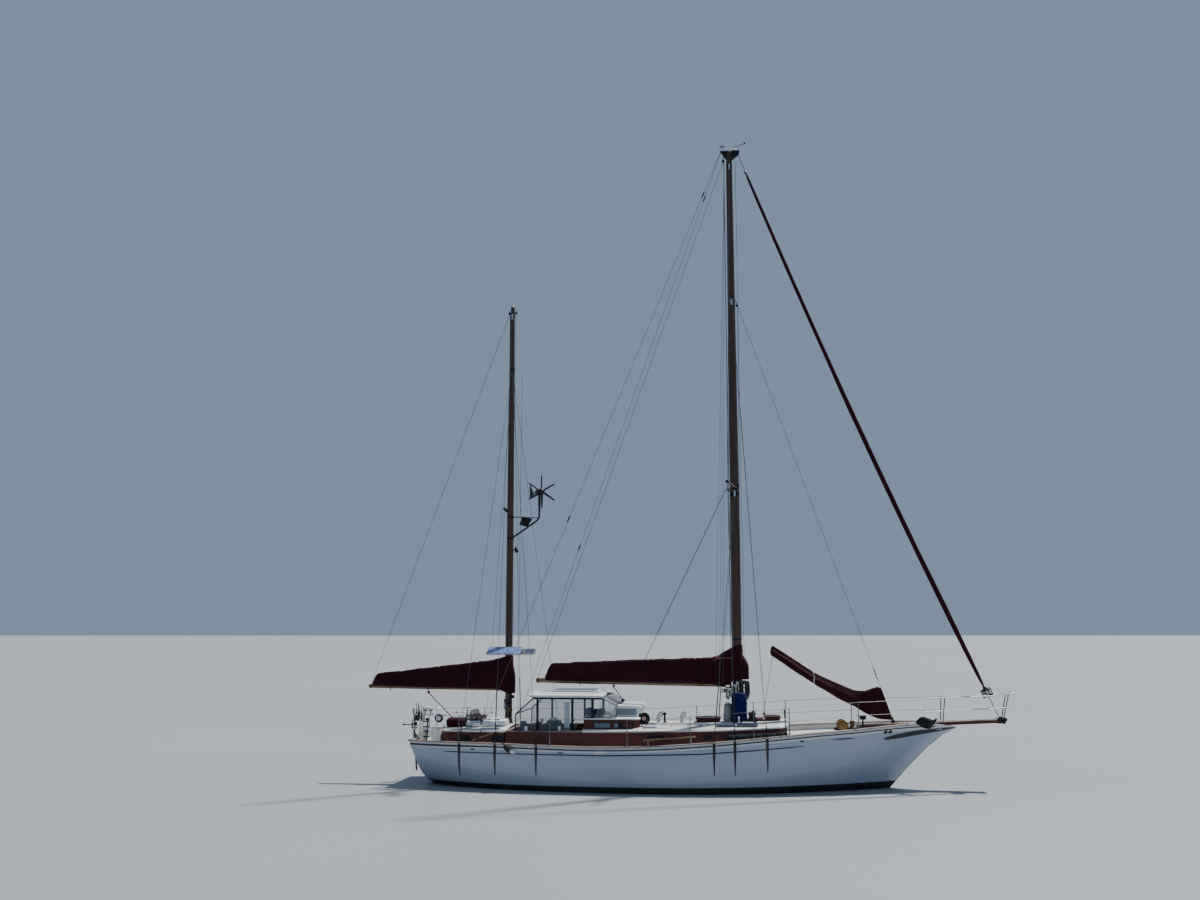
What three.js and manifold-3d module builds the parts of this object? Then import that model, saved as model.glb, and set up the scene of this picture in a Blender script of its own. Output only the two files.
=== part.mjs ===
// A two-masted cruising yacht, a ketch with a clipper bow, long keel and furled sails.
// Millimetres. +X is the bow, +Y is port, +Z is up. The origin is on the centreline, amidships,
// in the plane of the waterline, so everything below z = 0 is under water.
import * as THREE from "three";
import { mergeVertices } from "three/addons/utils/BufferGeometryUtils.js";
import Module from "manifold-3d";

const wasm = await Module();
wasm.setup();

// Driving dimensions
const GAP = 0.3;
const BULWARK_HEIGHT = 130;
const BULWARK_THICKNESS = 50;
const DECK_CAMBER = 60;
const MAIN_MAST_X = 1420;
const MAIN_MAST_HEAD_Z = 16560;
const MIZZEN_MAST_X = -4455;
const MIZZEN_MAST_HEAD_Z = 12460;
const MAIN_GOOSENECK_X = 1235;
const MIZZEN_GOOSENECK_X = -4600;
const WIRE_RADIUS = 5;
const GUARD_HEIGHT = 620;
const SPRIT_END_X = 7880;
const STEM_PIVOT = new THREE.Vector3(5215, 0, 1640);
const PEDESTAL_TOP = 1625;
const FORESTAY_TOP = new THREE.Vector3(1520, 0, 12460);
const HEADSTAY_TOP = new THREE.Vector3(1660, 0, 16480);
const HEADSTAY_FOOT = new THREE.Vector3(7800, 0, 1650);

// Colours, roughness and metalness of the materials seen on the yacht
const FINISH = {
  white: [0xe8e8e4, 0.35, 0.0],
  antifoul: [0x17191d, 0.8, 0.0],
  navy: [0x1b2440, 0.7, 0.0],
  mahogany: [0x4a1f14, 0.4, 0.0],
  teak: [0x8a6f56, 0.8, 0.0],
  spar: [0x7a4c26, 0.35, 0.0],
  steel: [0xc9ccd0, 0.25, 1.0],
  wire: [0x70747a, 0.35, 1.0],
  maroon: [0x3e0d18, 0.9, 0.0],
  canvas: [0x9b907c, 0.95, 0.0],
  blueCanvas: [0x1c2f86, 0.9, 0.0],
  grey: [0x55575c, 0.9, 0.0],
  clear: [0xb9c6d6, 0.1, 0.0],
  bronze: [0x7b6136, 0.4, 0.9],
  dark: [0x22242a, 0.5, 0.2],
};

const yacht = new THREE.Group();
yacht.name = "yacht";

// A named mesh for each piece, from a manifold solid
function addNode(name, finish, solid) {
  const mesh = solid.getMesh();
  const geometry = new THREE.BufferGeometry();
  geometry.setAttribute("position", new THREE.BufferAttribute(new Float32Array(mesh.vertProperties), 3));
  geometry.setIndex(new THREE.BufferAttribute(new Uint32Array(mesh.triVerts), 1));
  geometry.computeVertexNormals();
  const [color, roughness, metalness] = FINISH[finish];
  const material = new THREE.MeshStandardMaterial({ color, roughness, metalness });
  const node = new THREE.Mesh(geometry, material);
  node.name = name;
  yacht.add(node);
  return solid;
}

// Solids from three.js geometry
function toSolid(geometry) {
  const bare = geometry.index ? geometry.toNonIndexed() : geometry.clone();
  for (const key of Object.keys(bare.attributes)) {
    if (key !== "position") bare.deleteAttribute(key);
  }
  const merged = mergeVertices(bare, 1e-3);
  return new wasm.Manifold(new wasm.Mesh({
    numProp: 3,
    vertProperties: new Float32Array(merged.attributes.position.array),
    triVerts: new Uint32Array(merged.index.array),
  }));
}

function union(solids) {
  return solids.reduce((whole, solid) => whole.add(solid));
}

function box(low, high) {
  const size = high.map((value, axis) => value - low[axis]);
  const geometry = new THREE.BoxGeometry(...size);
  geometry.translate(...low.map((value, axis) => value + size[axis] / 2));
  return toSolid(geometry);
}

// A straight round bar between two points, tapering from one radius to the other
function bar(start, end, radius, sides = 8, endRadius = radius) {
  const from = new THREE.Vector3(...start);
  const to = new THREE.Vector3(...end);
  const length = from.distanceTo(to);
  const geometry = new THREE.CylinderGeometry(endRadius, radius, length, sides, 1);
  geometry.translate(0, length / 2, 0);
  const turn = new THREE.Quaternion().setFromUnitVectors(
    new THREE.Vector3(0, 1, 0), to.clone().sub(from).normalize());
  geometry.applyQuaternion(turn);
  geometry.translate(...start);
  return toSolid(geometry);
}

// A round bar bent along a list of points, mitred at each bend
function tube(points, radius, sides = 8) {
  const path = points.map((point) => new THREE.Vector3(...point));
  const steps = path.slice(1).map((point, index) => point.clone().sub(path[index]).normalize());
  const up = Math.abs(steps[0].z) > 0.9 ? new THREE.Vector3(1, 0, 0) : new THREE.Vector3(0, 0, 1);
  let across = new THREE.Vector3().crossVectors(steps[0], up).normalize();
  const rings = path.map((point, index) => {
    const before = steps[Math.max(index - 1, 0)];
    const after = steps[Math.min(index, steps.length - 1)];
    const normal = before.clone().add(after).normalize();
    const upright = new THREE.Vector3().crossVectors(across, before).normalize();
    const ring = Array.from({ length: sides }, (unused, side) => {
      const angle = ((side + 0.5) * 2 * Math.PI) / sides;
      const offset = across.clone().multiplyScalar(radius * Math.cos(angle))
        .addScaledVector(upright, radius * Math.sin(angle));
      const shift = -offset.dot(normal) / before.dot(normal);
      return point.clone().add(offset).addScaledVector(before, shift).toArray();
    });
    across = across.clone().addScaledVector(after, -across.dot(after)).normalize();
    return ring;
  });
  return loft(rings);
}

// A closed outline in the X-Z plane, extruded from one y to another
function profile(outline, lowY, highY) {
  const shape = new THREE.Shape(outline.map(([x, z]) => new THREE.Vector2(x, z)));
  const geometry = new THREE.ExtrudeGeometry(shape, { depth: highY - lowY, bevelEnabled: false });
  geometry.rotateX(Math.PI / 2);
  geometry.translate(0, highY, 0);
  return toSolid(geometry);
}

// A closed outline in the X-Y plane, extruded from one z to another
function slab(outline, lowZ, highZ) {
  const shape = new THREE.Shape(outline.map(([x, y]) => new THREE.Vector2(x, y)));
  const geometry = new THREE.ExtrudeGeometry(shape, { depth: highZ - lowZ, bevelEnabled: false });
  geometry.translate(0, 0, lowZ);
  return toSolid(geometry);
}

// A skin through rings of equal point counts, closed by a flat cap at each end
function loft(rings) {
  const count = rings[0].length;
  const points = rings.flat();
  const triangles = [];
  for (let ring = 0; ring < rings.length - 1; ring += 1) {
    for (let side = 0; side < count; side += 1) {
      const a = ring * count + side;
      const b = ring * count + ((side + 1) % count);
      triangles.push([a, b, b + count], [a, b + count, a + count]);
    }
  }
  const ends = [[0, rings[0]], [points.length - count, rings.at(-1)]];
  ends.forEach(([offset, ring], index) => {
    for (const [a, b, c] of capTriangles(ring)) {
      triangles.push(index === 0 ? [offset + a, offset + c, offset + b] : [offset + a, offset + b, offset + c]);
    }
  });
  const solid = fromTriangles(points, triangles);
  return solid.volume() > 0 ? solid : fromTriangles(points, triangles.map(([a, b, c]) => [a, c, b]));
}

function fromTriangles(points, triangles) {
  const positions = triangles.flatMap((triangle) => triangle.flatMap((index) => points[index]));
  const geometry = new THREE.BufferGeometry();
  geometry.setAttribute("position", new THREE.Float32BufferAttribute(positions, 3));
  return toSolid(geometry);
}

// Triangles over a flat ring, in the ring's own turning direction
function capTriangles(ring) {
  const corners = ring.map((point) => new THREE.Vector3(...point));
  const normal = new THREE.Vector3();
  corners.forEach((corner, index) => {
    normal.add(new THREE.Vector3().crossVectors(corner, corners[(index + 1) % corners.length]));
  });
  normal.normalize();
  const turn = new THREE.Quaternion().setFromUnitVectors(normal, new THREE.Vector3(0, 0, 1));
  const flat = corners.map((corner) => corner.applyQuaternion(turn)).map(({ x, y }) => new THREE.Vector2(x, y));
  return THREE.ShapeUtils.triangulateShape(flat, []);
}

// The solid less its carrier moved by the gap, upwards unless another way is given
function seatOn(solid, carrier, shift = [0, 0, GAP]) {
  return solid.subtract(carrier.translate(shift));
}

// Value of a table's column at a place along its first column: a smooth curve or straight lines
function along(table, column, x, smooth = true) {
  let row = 0;
  while (row < table.length - 2 && x > table[row + 1][0]) row += 1;
  const [x1, x2] = [table[row][0], table[row + 1][0]];
  const [y1, y2] = [table[row][column], table[row + 1][column]];
  const t = (x - x1) / (x2 - x1);
  if (!smooth) return y1 + (y2 - y1) * t;
  const before = table[Math.max(row - 1, 0)];
  const after = table[Math.min(row + 2, table.length - 1)];
  const slope1 = ((y2 - before[column]) / (x2 - before[0])) * (x2 - x1);
  const slope2 = ((after[column] - y1) / (after[0] - x1)) * (x2 - x1);
  const t2 = t * t;
  const t3 = t2 * t;
  return (2 * t3 - 3 * t2 + 1) * y1 + (t3 - 2 * t2 + t) * slope1 + (3 * t2 - 2 * t3) * y2 + (t3 - t2) * slope2;
}

// Hull sections. Each is a curve from the sheer, pulled by the side and the bilge, to the root of
// the keel, and a straight line from there to the keel's bottom.
// Columns: x, sheer y, sheer z, side y, side z, bilge y, bilge z, root y, root z, keel y, keel z
const STATIONS = [
  [-6900, 1090, 1096, 1075, 520, 560, 200, 22, 150, 20, 144],
  [-6360, 1255, 1092, 1270, 350, 680, 30, 26, 0, 24, -6],
  [-5750, 1425, 1090, 1470, 200, 880, -130, 35, -180, 32, -190],
  [-5300, 1510, 1090, 1570, 110, 990, -240, 45, -330, 40, -345],
  [-4600, 1650, 1088, 1730, -20, 1120, -450, 80, -600, 60, -1880],
  [-3500, 1810, 1070, 1920, -140, 1330, -680, 120, -820, 100, -1900],
  [-2000, 1925, 1052, 2080, -240, 1490, -860, 150, -960, 120, -1900],
  [-500, 1960, 1094, 2140, -270, 1560, -930, 160, -1000, 125, -1900],
  [1000, 1865, 1196, 2010, -230, 1390, -890, 150, -980, 115, -1820],
  [2200, 1665, 1298, 1700, -130, 1040, -790, 120, -900, 90, -1560],
  [3300, 1365, 1390, 1260, 60, 660, -640, 80, -760, 70, -1180],
  [4200, 1075, 1450, 830, 310, 350, -410, 50, -560, 45, -700],
  [4800, 855, 1500, 545, 560, 180, -120, 36, -260, 32, -320],
  [5090, 740, 1520, 405, 720, 120, 160, 30, 20, 26, 0],
  [5500, 575, 1545, 280, 900, 85, 560, 26, 475, 24, 455],
  [6000, 370, 1562, 180, 1160, 66, 1015, 24, 985, 22, 965],
  [6420, 215, 1545, 115, 1400, 50, 1335, 22, 1310, 20, 1298],
  [6740, 90, 1480, 66, 1470, 44, 1462, 20, 1455, 18, 1450],
];
const SECTION_STEPS = 9;

function stationAt(x) {
  const row = STATIONS[0].map((unused, column) => along(STATIONS, column, x, column < 9));
  return [x, ...row.slice(1)];
}

const sheerY = (x) => along(STATIONS, 1, x);
const sheerZ = (x) => along(STATIONS, 2, x);
const deckZ = (x) => sheerZ(x) - BULWARK_HEIGHT;

function sectionCurve(station) {
  const [, y0, z0, y1, z1, y2, z2, y3, z3] = station;
  return new THREE.CubicBezierCurve(
    new THREE.Vector2(y0, z0), new THREE.Vector2(y1, z1), new THREE.Vector2(y2, z2), new THREE.Vector2(y3, z3));
}

// Half breadth of the hull's skin at a place along it and a height
function skinY(x, z) {
  const curve = sectionCurve(stationAt(x));
  let [low, high] = [0, 1];
  for (let step = 0; step < 30; step += 1) {
    const middle = (low + high) / 2;
    if (curve.getPoint(middle).y > z) low = middle;
    else high = middle;
  }
  return curve.getPoint(low).x;
}

function hullRing(x) {
  const station = stationAt(x);
  const half = sectionCurve(station).getPoints(SECTION_STEPS).map((point) => [point.x, point.y]);
  half.push([station[9], station[10]]);
  const starboard = half.map(([y, z]) => [x, -y, z]);
  const port = half.map(([y, z]) => [x, y, z]).reverse();
  return [...starboard, ...port];
}

const stationPlaces = STATIONS.flatMap(([x], index) => {
  const next = STATIONS[index + 1];
  return next ? [x, (x + next[0]) / 2] : [x];
});

// The pan that leaves the bulwarks standing round the crowned deck
function deckPanRing(x) {
  const edge = Math.max(sheerY(x) - BULWARK_THICKNESS, 12);
  const camber = DECK_CAMBER * (edge / 1900);
  const z = deckZ(x);
  const top = sheerZ(x) + 200;
  return [
    [x, -edge, top], [x, -edge, z], [x, -edge / 2, z + 0.75 * camber], [x, 0, z + camber],
    [x, edge / 2, z + 0.75 * camber], [x, edge, z], [x, edge, top],
  ];
}

const TRANSOM_TOP = [-6730, 1090];
const TRANSOM_FOOT = [-6360, 0];
const transomSlope = (TRANSOM_TOP[0] - TRANSOM_FOOT[0]) / (TRANSOM_TOP[1] - TRANSOM_FOOT[1]);
const transomX = (z) => TRANSOM_FOOT[0] + transomSlope * (z - TRANSOM_FOOT[1]);
const asternOf = (offset) => profile([
  [transomX(-400) + offset, -400], [transomX(1800) + offset, 1800], [-8500, 1800], [-8500, -400],
], -2500, 2500);

const WELL = { aft: -4200, fore: -2340, halfWidth: 430, sole: 430 };
const BALLAST = { aft: -3200, fore: 1700, top: -1500 };
const STOCK_TOP = [-5430, -60];
const STOCK_HEEL = [-4700, -1830];
const STOCK_RADIUS = 30;
const SHAFT_Z = -950;
const SHAFT_RADIUS = 17;
const APERTURE = { aft: -5400, fore: -4560, low: -1230, high: -670 };

// Bowsprit: a plank platform through the bow, with its heel on deck
const SPRIT = { heelX: 4350, thickness: 85, footZ: 1427, slope: 0.047, play: 2 };
const spritZ = (x) => SPRIT.footZ + (x - 4300) * SPRIT.slope;
const spritTop = (x) => spritZ(x) + SPRIT.thickness;
const spritRing = (play) => ([x, half]) => [
  [x, -half - play, spritZ(x) - GAP], [x, half + play, spritZ(x) - GAP],
  [x, half + play, spritTop(x) + play], [x, -half - play, spritTop(x) + play]];
const SPRIT_PLAN = [[SPRIT.heelX, 190], [6400, 205], [7700, 160], [SPRIT_END_X, 120]];
const spritNotch = loft(SPRIT_PLAN.map(spritRing(SPRIT.play)));
const sprit = loft(SPRIT_PLAN.map(spritRing(0))).translate([0, 0, GAP]);

const hullLoft = loft(stationPlaces.map(hullRing));
const panPlaces = stationPlaces.filter((x) => x < 6400);
const deckPan = loft(panPlaces.map(deckPanRing)).subtract(asternOf(60));
const well = box([WELL.aft, -WELL.halfWidth, WELL.sole], [WELL.fore, WELL.halfWidth, 2000]);
const ballastBlock = box([BALLAST.aft, -400, -2200], [BALLAST.fore, 400, BALLAST.top]);
const ballastCut = box([BALLAST.aft - GAP, -400, -2200], [BALLAST.fore + GAP, 400, BALLAST.top + GAP]);
const aperture = box([APERTURE.aft, -300, APERTURE.low], [APERTURE.fore, 300, APERTURE.high]);
const stockDirection = new THREE.Vector2(STOCK_TOP[0] - STOCK_HEEL[0], STOCK_TOP[1] - STOCK_HEEL[1]).normalize();
const onStock = (distance) => [
  STOCK_HEEL[0] + stockDirection.x * distance, 0, STOCK_HEEL[1] + stockDirection.y * distance];
const stockLength = Math.hypot(STOCK_TOP[0] - STOCK_HEEL[0], STOCK_TOP[1] - STOCK_HEEL[1]);
const stockBore = bar(onStock(-60), onStock(stockLength + 120), STOCK_RADIUS + 0.7, 24);
const swingRoom = bar(onStock(20), onStock(stockLength - 170), STOCK_RADIUS + 22, 12);
const shaftBore = bar([-4700, 0, SHAFT_Z], [-4300, 0, SHAFT_Z], SHAFT_RADIUS + 1.2, 12);
const heelShoe = box([-4760, -45, -1930], [-4500, 45, -1850]);
const hullBlank = hullLoft.subtract(asternOf(0));
const hull = addNode("hull", "white", hullBlank
  .add(heelShoe).subtract(deckPan).subtract(well).subtract(spritNotch)
  .subtract(ballastCut).subtract(aperture).subtract(swingRoom).subtract(stockBore).subtract(shaftBore));
addNode("ballast_keel", "antifoul", hullLoft.intersect(ballastBlock));

// Rudder: a tapered foil on a raked stock
const RUDDER = { top: -470, foot: -1780, chordTop: 620, chordFoot: 760, thickness: 70, nose: 24 };
// Half width of the foil as a part of its thickness, at parts of its chord
const FOIL = [[0, 0.42], [0.12, 0.5], [0.35, 0.46], [0.7, 0.26], [1, 0.06]];
function rudderRing(z, chord) {
  const lead = STOCK_HEEL[0] + (stockDirection.x / stockDirection.y) * (z - STOCK_HEEL[1]) + RUDDER.nose;
  const port = FOIL.map(([part, half]) => [lead - part * chord, half * RUDDER.thickness, z]);
  const starboard = FOIL.map(([part, half]) => [lead - part * chord, -half * RUDDER.thickness, z]).reverse();
  return [...port, ...starboard];
}
const rudderStock = bar(onStock(-40), onStock(stockLength + 60), STOCK_RADIUS, 24);
addNode("rudder", "antifoul", loft([
  rudderRing(RUDDER.foot, RUDDER.chordFoot), rudderRing(RUDDER.top, RUDDER.chordTop),
]).add(rudderStock));

// Twisted blades, for the propeller and the wind generator
function blade({ turn, root, tip, chord, thickness, pitch }) {
  const shape = new THREE.BoxGeometry(chord, thickness, tip - root, 1, 1, 2);
  shape.translate(0, 0, (tip + root) / 2);
  const place = shape.attributes.position;
  for (let index = 0; index < place.count; index += 1) {
    const reach = place.getZ(index) / tip;
    const angle = pitch * (1.25 - 0.5 * reach);
    const width = place.getX(index) * (1 - 0.35 * reach * reach);
    place.setX(index, width * Math.cos(angle) - place.getY(index) * Math.sin(angle));
    place.setY(index, width * Math.sin(angle) + place.getY(index) * Math.cos(angle));
  }
  shape.rotateX(turn);
  return toSolid(shape);
}
function bladesAround(count, form) {
  return Array.from({ length: count }, (unused, index) => blade({ ...form, turn: (index * 2 * Math.PI) / count }));
}

// Propeller: hub, shaft and three blades
const PROPELLER = { x: -4800, count: 3, root: 20, tip: 235, chord: 110, thickness: 12, pitch: 0.9 };
addNode("propeller", "bronze", union([
  bar([PROPELLER.x - 75, 0, SHAFT_Z], [PROPELLER.x + 65, 0, SHAFT_Z], 30, 10, 44),
  bar([PROPELLER.x, 0, SHAFT_Z], [-4350, 0, SHAFT_Z], SHAFT_RADIUS, 10),
  ...bladesAround(PROPELLER.count, PROPELLER).map((form) => form.translate([PROPELLER.x, 0, SHAFT_Z])),
]));

// Cap rail, following the sheer and the transom
const CAP = { width: 110, height: 32 };
const capPlaces = stationPlaces.filter((x) => x < 6300);
function capRing(side) {
  return capPlaces.map((x) => {
    const middle = Math.max(sheerY(x) - BULWARK_THICKNESS / 2, 40) * side;
    const z = sheerZ(x) + GAP;
    const half = CAP.width / 2;
    return [
      [x, middle - half, z], [x, middle + half, z], [x, middle + half, z + CAP.height],
      [x, middle - half, z + CAP.height]];
  });
}
const taffrail = seatOn(box([-6790, -1180, 1080], [-6640, 1180, 1092 + GAP + CAP.height]), hullBlank, [-GAP, 0, GAP]);
const capRail = union([...[1, -1].map((side) => loft(capRing(side))), taffrail]).subtract(asternOf(-30));
addNode("cap_rail", "teak", capRail);
const capTopAt = (x) => sheerZ(x) + CAP.height + 2 * GAP;
// Height just clear of the cap rail under a post of a given radius
function railTop(x, radius) {
  const top = capPlaces.map((place) => [place, sheerZ(place) + GAP + CAP.height]);
  return Math.max(along(top, 1, x - radius, false), along(top, 1, x + radius, false)) + GAP;
}

// Dark strake under the bulwark, with the chainplate straps hanging from it on both sides
const STRAKE = { drop: 48, height: 34, proud: 14 };
const strakePlaces = stationPlaces.filter((x) => x < 6200);
function strakeRing(side) {
  return strakePlaces.map((x) => {
    const top = sheerZ(x) - STRAKE.drop;
    const foot = top - STRAKE.height;
    const [topY, footY] = [skinY(x, top) * side, skinY(x, foot) * side];
    const inner = 25 * side;
    const outer = STRAKE.proud * side;
    return [
      [x, topY - inner, top], [x, footY - inner, foot], [x, footY + outer, foot], [x, topY + outer, top]];
  });
}
// Chainplates. Columns: x, height of the strap's foot
const CHAINPLATES = [[-5380, 300], [-4450, 360], [-3410, 390], [860, 440], [1350, 450], [2110, 520]];
const STRAP = { width: 62, thickness: 10, steps: 4 };
function strap(x, foot, side) {
  const half = STRAP.width / 2;
  const top = sheerZ(x) - 6;
  return loft(Array.from({ length: STRAP.steps + 1 }, (unused, step) => {
    const z = foot + ((top - foot) * step) / STRAP.steps;
    const inner = (skinY(x, z) - 20) * side;
    const outer = (skinY(x, z) + STRAP.thickness) * side;
    return [[x - half, inner, z], [x + half, inner, z], [x + half, outer, z], [x - half, outer, z]];
  }));
}
const strakeSides = [1, -1].map((side) => union([
  loft(strakeRing(side)), ...CHAINPLATES.map(([x, foot]) => strap(x, foot, side)),
]).subtract(asternOf(-STRAKE.proud)).subtract(hullBlank.translate([-GAP * 1.5, GAP * 1.5 * side, 0])));
const strakeAstern = box([-7000, -1190, 1012], [-6500, 1190, 1046])
  .subtract(asternOf(-STRAKE.proud)).subtract(hullBlank.translate([-GAP * 1.5, 0, 0]));
addNode("strake_and_chainplates", "navy", union([...strakeSides, strakeAstern]));

// Cabin houses: a brown body, and a white crowned top with a small overhang
const TOP_THICKNESS = 40;
const TOP_OVERHANG = 26;
// Columns of the three tables: x, half width, height of the side's top edge
const TRUNK = [
  [-2340, 1270, 1362], [-1000, 1290, 1382], [500, 1260, 1405], [1500, 1150, 1432], [2300, 985, 1470],
  [2500, 900, 1482], [2600, 760, 1490]];
const AFT_CABIN = [[-5920, 900, 1325], [-5800, 1000, 1326], [-5000, 1110, 1330], [-4320, 1185, 1335]];
const DOGHOUSE = [[-2340, 1130, 1660], [-1180, 1120, 1660], [-1040, 1060, 1655], [-990, 960, 1650]];
const crownPoints = (half, crown) => [[-half / 2, 0.75 * crown], [0, crown], [half / 2, 0.75 * crown]];

// The body, the top and a blank of both that other pieces are seated on
function house(table, { foot, crown, thickness, overhang }) {
  const grow = (index) => (index === 0 ? -overhang : index === table.length - 1 ? overhang : 0);
  const body = loft(table.map(([x, half, edge]) => [
    [x, -half - 12, foot], [x, -half, edge],
    ...crownPoints(half, crown).map(([y, rise]) => [x, y, edge + rise]),
    [x, half, edge], [x, half + 12, foot]]));
  const upper = ([x, half, edge], index) => [
    [x + grow(index), -half - overhang, edge - 6 + thickness],
    ...crownPoints(half, crown).map(([y, rise]) => [x + grow(index), y, edge + rise + thickness]),
    [x + grow(index), half + overhang, edge - 6 + thickness]];
  const top = loft(table.map((row, index) => [
    ...upper(row, index),
    ...upper(row, index).reverse().map(([x, y, z]) => [x, y, z - thickness])]));
  const blank = loft(table.map((row, index) => [
    ...upper(row, index),
    [row[0] + grow(index), row[1] + overhang, foot], [row[0] + grow(index), -row[1] - overhang, foot]]));
  return { body, top, blank };
}

const trunkHouse = house(TRUNK, { foot: 850, crown: 110, thickness: TOP_THICKNESS, overhang: TOP_OVERHANG });
const trunk = addNode("trunk_cabin", "mahogany", seatOn(trunkHouse.body, hull));

// Hatch lids on coamings that are part of the trunk cabin's top.
// Columns: name, aft end, fore end, half width, height of the lid's foot
const HATCHES = [["mid_hatch", 360, 990, 330, 1622], ["fore_hatch", 2060, 2480, 300, 1668]];
const hatchCoamings = HATCHES.map(([, aft, fore, halfWidth, lid]) =>
  box([aft + 25, -halfWidth + 25, lid - 90], [fore - 25, halfWidth - 25, lid]));
// Cowl vents on the same top. Columns: x, y, foot of the post
const COWLS = [[-560, -420, 1500], [20, -470, 1500]];
function cowl([x, y, foot]) {
  const height = 240;
  return union([
    bar([x, y, foot], [x, y, foot + height], 42, 8),
    bar([x - 50, y, foot + height - 10], [x + 95, y, foot + height + 10], 50, 8, 76)]);
}
const trunkTop = addNode("trunk_top", "white", seatOn(union([
  trunkHouse.top.subtract(box([-2380, -590, 1300], [-2335, 590, 1900])),
  ...hatchCoamings, ...COWLS.map(cowl)]), trunk));

const doghouseHouse = house(DOGHOUSE, { foot: 1300, crown: 70, thickness: 32, overhang: 24 });
const doghouse = addNode("doghouse", "mahogany", seatOn(doghouseHouse.body, trunkHouse.blank));
addNode("doghouse_top", "white", seatOn(doghouseHouse.top, doghouse));
const aftHouse = house(AFT_CABIN, { foot: 850, crown: 90, thickness: TOP_THICKNESS, overhang: TOP_OVERHANG });
const aftCabin = addNode("aft_cabin", "mahogany", seatOn(aftHouse.body, hull));
addNode("aft_cabin_top", "white", seatOn(aftHouse.top, aftCabin));

// White box with the forward windows, on the doghouse
const SCREEN_BOX = [[-1820, 1640], [-1080, 1640], [-950, 1968], [-1560, 1990]];
const screenBox = addNode("screen_box", "white",
  seatOn(profile(SCREEN_BOX, -860, 860), doghouseHouse.blank));

// Cockpit coaming: brown walls down both sides of the cockpit and across its aft end
const COAMING = { aft: -4290, fore: -2340.3, inner: 1100, aftHalf: 1190, foreHalf: 1268, foot: 850, aftWall: 45 };
const coamingTop = (x) => 1345 + (x - COAMING.aft) * 0.012;
const coamingOuter = loft([[COAMING.aft, COAMING.aftHalf], [COAMING.fore, COAMING.foreHalf]].map(([x, half]) => [
  [x, -half - 10, COAMING.foot], [x, -half, coamingTop(x)], [x, half, coamingTop(x)], [x, half + 10, COAMING.foot]]));
const coamingInner = box([COAMING.aft + COAMING.aftWall, -COAMING.inner, 700], [-2200, COAMING.inner, 1600]);
const coaming = addNode("cockpit_coaming", "mahogany",
  seatOn(seatOn(coamingOuter.subtract(coamingInner), hull), trunkTop, [-GAP, 0, -GAP]));

// Shelter over the cockpit: dark posts and rails, a white roof and clear curtains
const SHELTER = { aft: -3650, fore: -1890, halfWidth: 1165, eave: 2180, post: 1132, barHalf: 16 };
const KNUCKLE = [-4050, 1770];
// Posts. Columns: x, foot height
const POSTS = [[-3500, 1340], [-2630, 1340], [-2130, 1640]];
const shelterRailZ = SHELTER.eave - 22;
const shelterSides = [1, -1].flatMap((side) => {
  const y = side * SHELTER.post;
  const half = SHELTER.barHalf;
  return [
    ...POSTS.map(([x, foot]) => box([x - 30, y - half, foot], [x + 30, y + half, SHELTER.eave - 30])),
    box([SHELTER.aft + 20, y - half, SHELTER.eave - 44], [SHELTER.fore - 10, y + half, SHELTER.eave - GAP]),
    tube([[SHELTER.aft + 40, y, shelterRailZ], [KNUCKLE[0], y, KNUCKLE[1]], [KNUCKLE[0], y, 1300]], half, 6)];
});
const crossPlaces = [
  [SHELTER.aft + 40, shelterRailZ], [SHELTER.fore - 40, shelterRailZ], [KNUCKLE[0], KNUCKLE[1]]];
const crossBars = crossPlaces.map(([x, z]) => bar([x, -SHELTER.post, z], [x, SHELTER.post, z], SHELTER.barHalf, 6));
const shelterFrame = addNode("shelter_frame", "navy",
  seatOn(seatOn(union([...shelterSides, ...crossBars]), coaming), doghouseHouse.blank));

const ROOF = { crown: 62, thickness: 58 };
function roofRing(x, half) {
  const shape = [[-half, 0], [-half * 0.6, ROOF.crown * 0.6], [0, ROOF.crown], [half * 0.6, ROOF.crown * 0.6], [half, 0]];
  const lower = shape.map(([y, rise]) => [x, y, SHELTER.eave + GAP + rise]);
  const upper = shape.map(([y, rise]) => [x, y * 0.99, SHELTER.eave + GAP + rise + ROOF.thickness]).reverse();
  return [...lower, ...upper];
}
const roofPanel = box([-3250, -520, 2285], [-2120, 520, 2352]);
const shelterRoof = addNode("shelter_roof", "white", union([
  loft([[-3720, 1100], [SHELTER.aft, SHELTER.halfWidth], [-1950, SHELTER.halfWidth], [-1870, 1110]]
    .map(([x, half]) => roofRing(x, half))), roofPanel]));

const PANE = { half: 4, y: SHELTER.post - SHELTER.barHalf - GAP - 4, top: 2178 };
const paneOutline = [
  [-4030, 1330], [-4030, 1762], [-3640, PANE.top], [-1900, PANE.top], [-1541, 1998], [-1541, 1640], [-2330, 1640],
  [-2330, 1330]];
const panes = [1, -1].map((side) => profile(paneOutline, side * PANE.y - PANE.half, side * PANE.y + PANE.half));
const windscreen = profile([
  [-1908, PANE.top - 4], [-1900, PANE.top], [-1541, 1998], [-1541, 1640], [-1549, 1640], [-1549, 1992]],
-PANE.y - PANE.half, PANE.y + PANE.half);
const screenRoom = box([-1860, -860 - 2 * GAP, 1500], [-900, 860 + 2 * GAP, 1990 + 2 * GAP]);
const cabinEdge = box([-2367, -1200, 1300], [-2300, 1200, 1690]);
const curtains = seatOn(seatOn(union([...panes, windscreen]).subtract(screenRoom), coaming), doghouseHouse.blank);
addNode("shelter_curtains", "clear", crossPlaces.reduce((solid, [x, z]) =>
  solid.subtract(bar([x, -1300, z], [x, 1300, z], SHELTER.barHalf + 3, 6)),
curtains.subtract(cabinEdge)));

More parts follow.
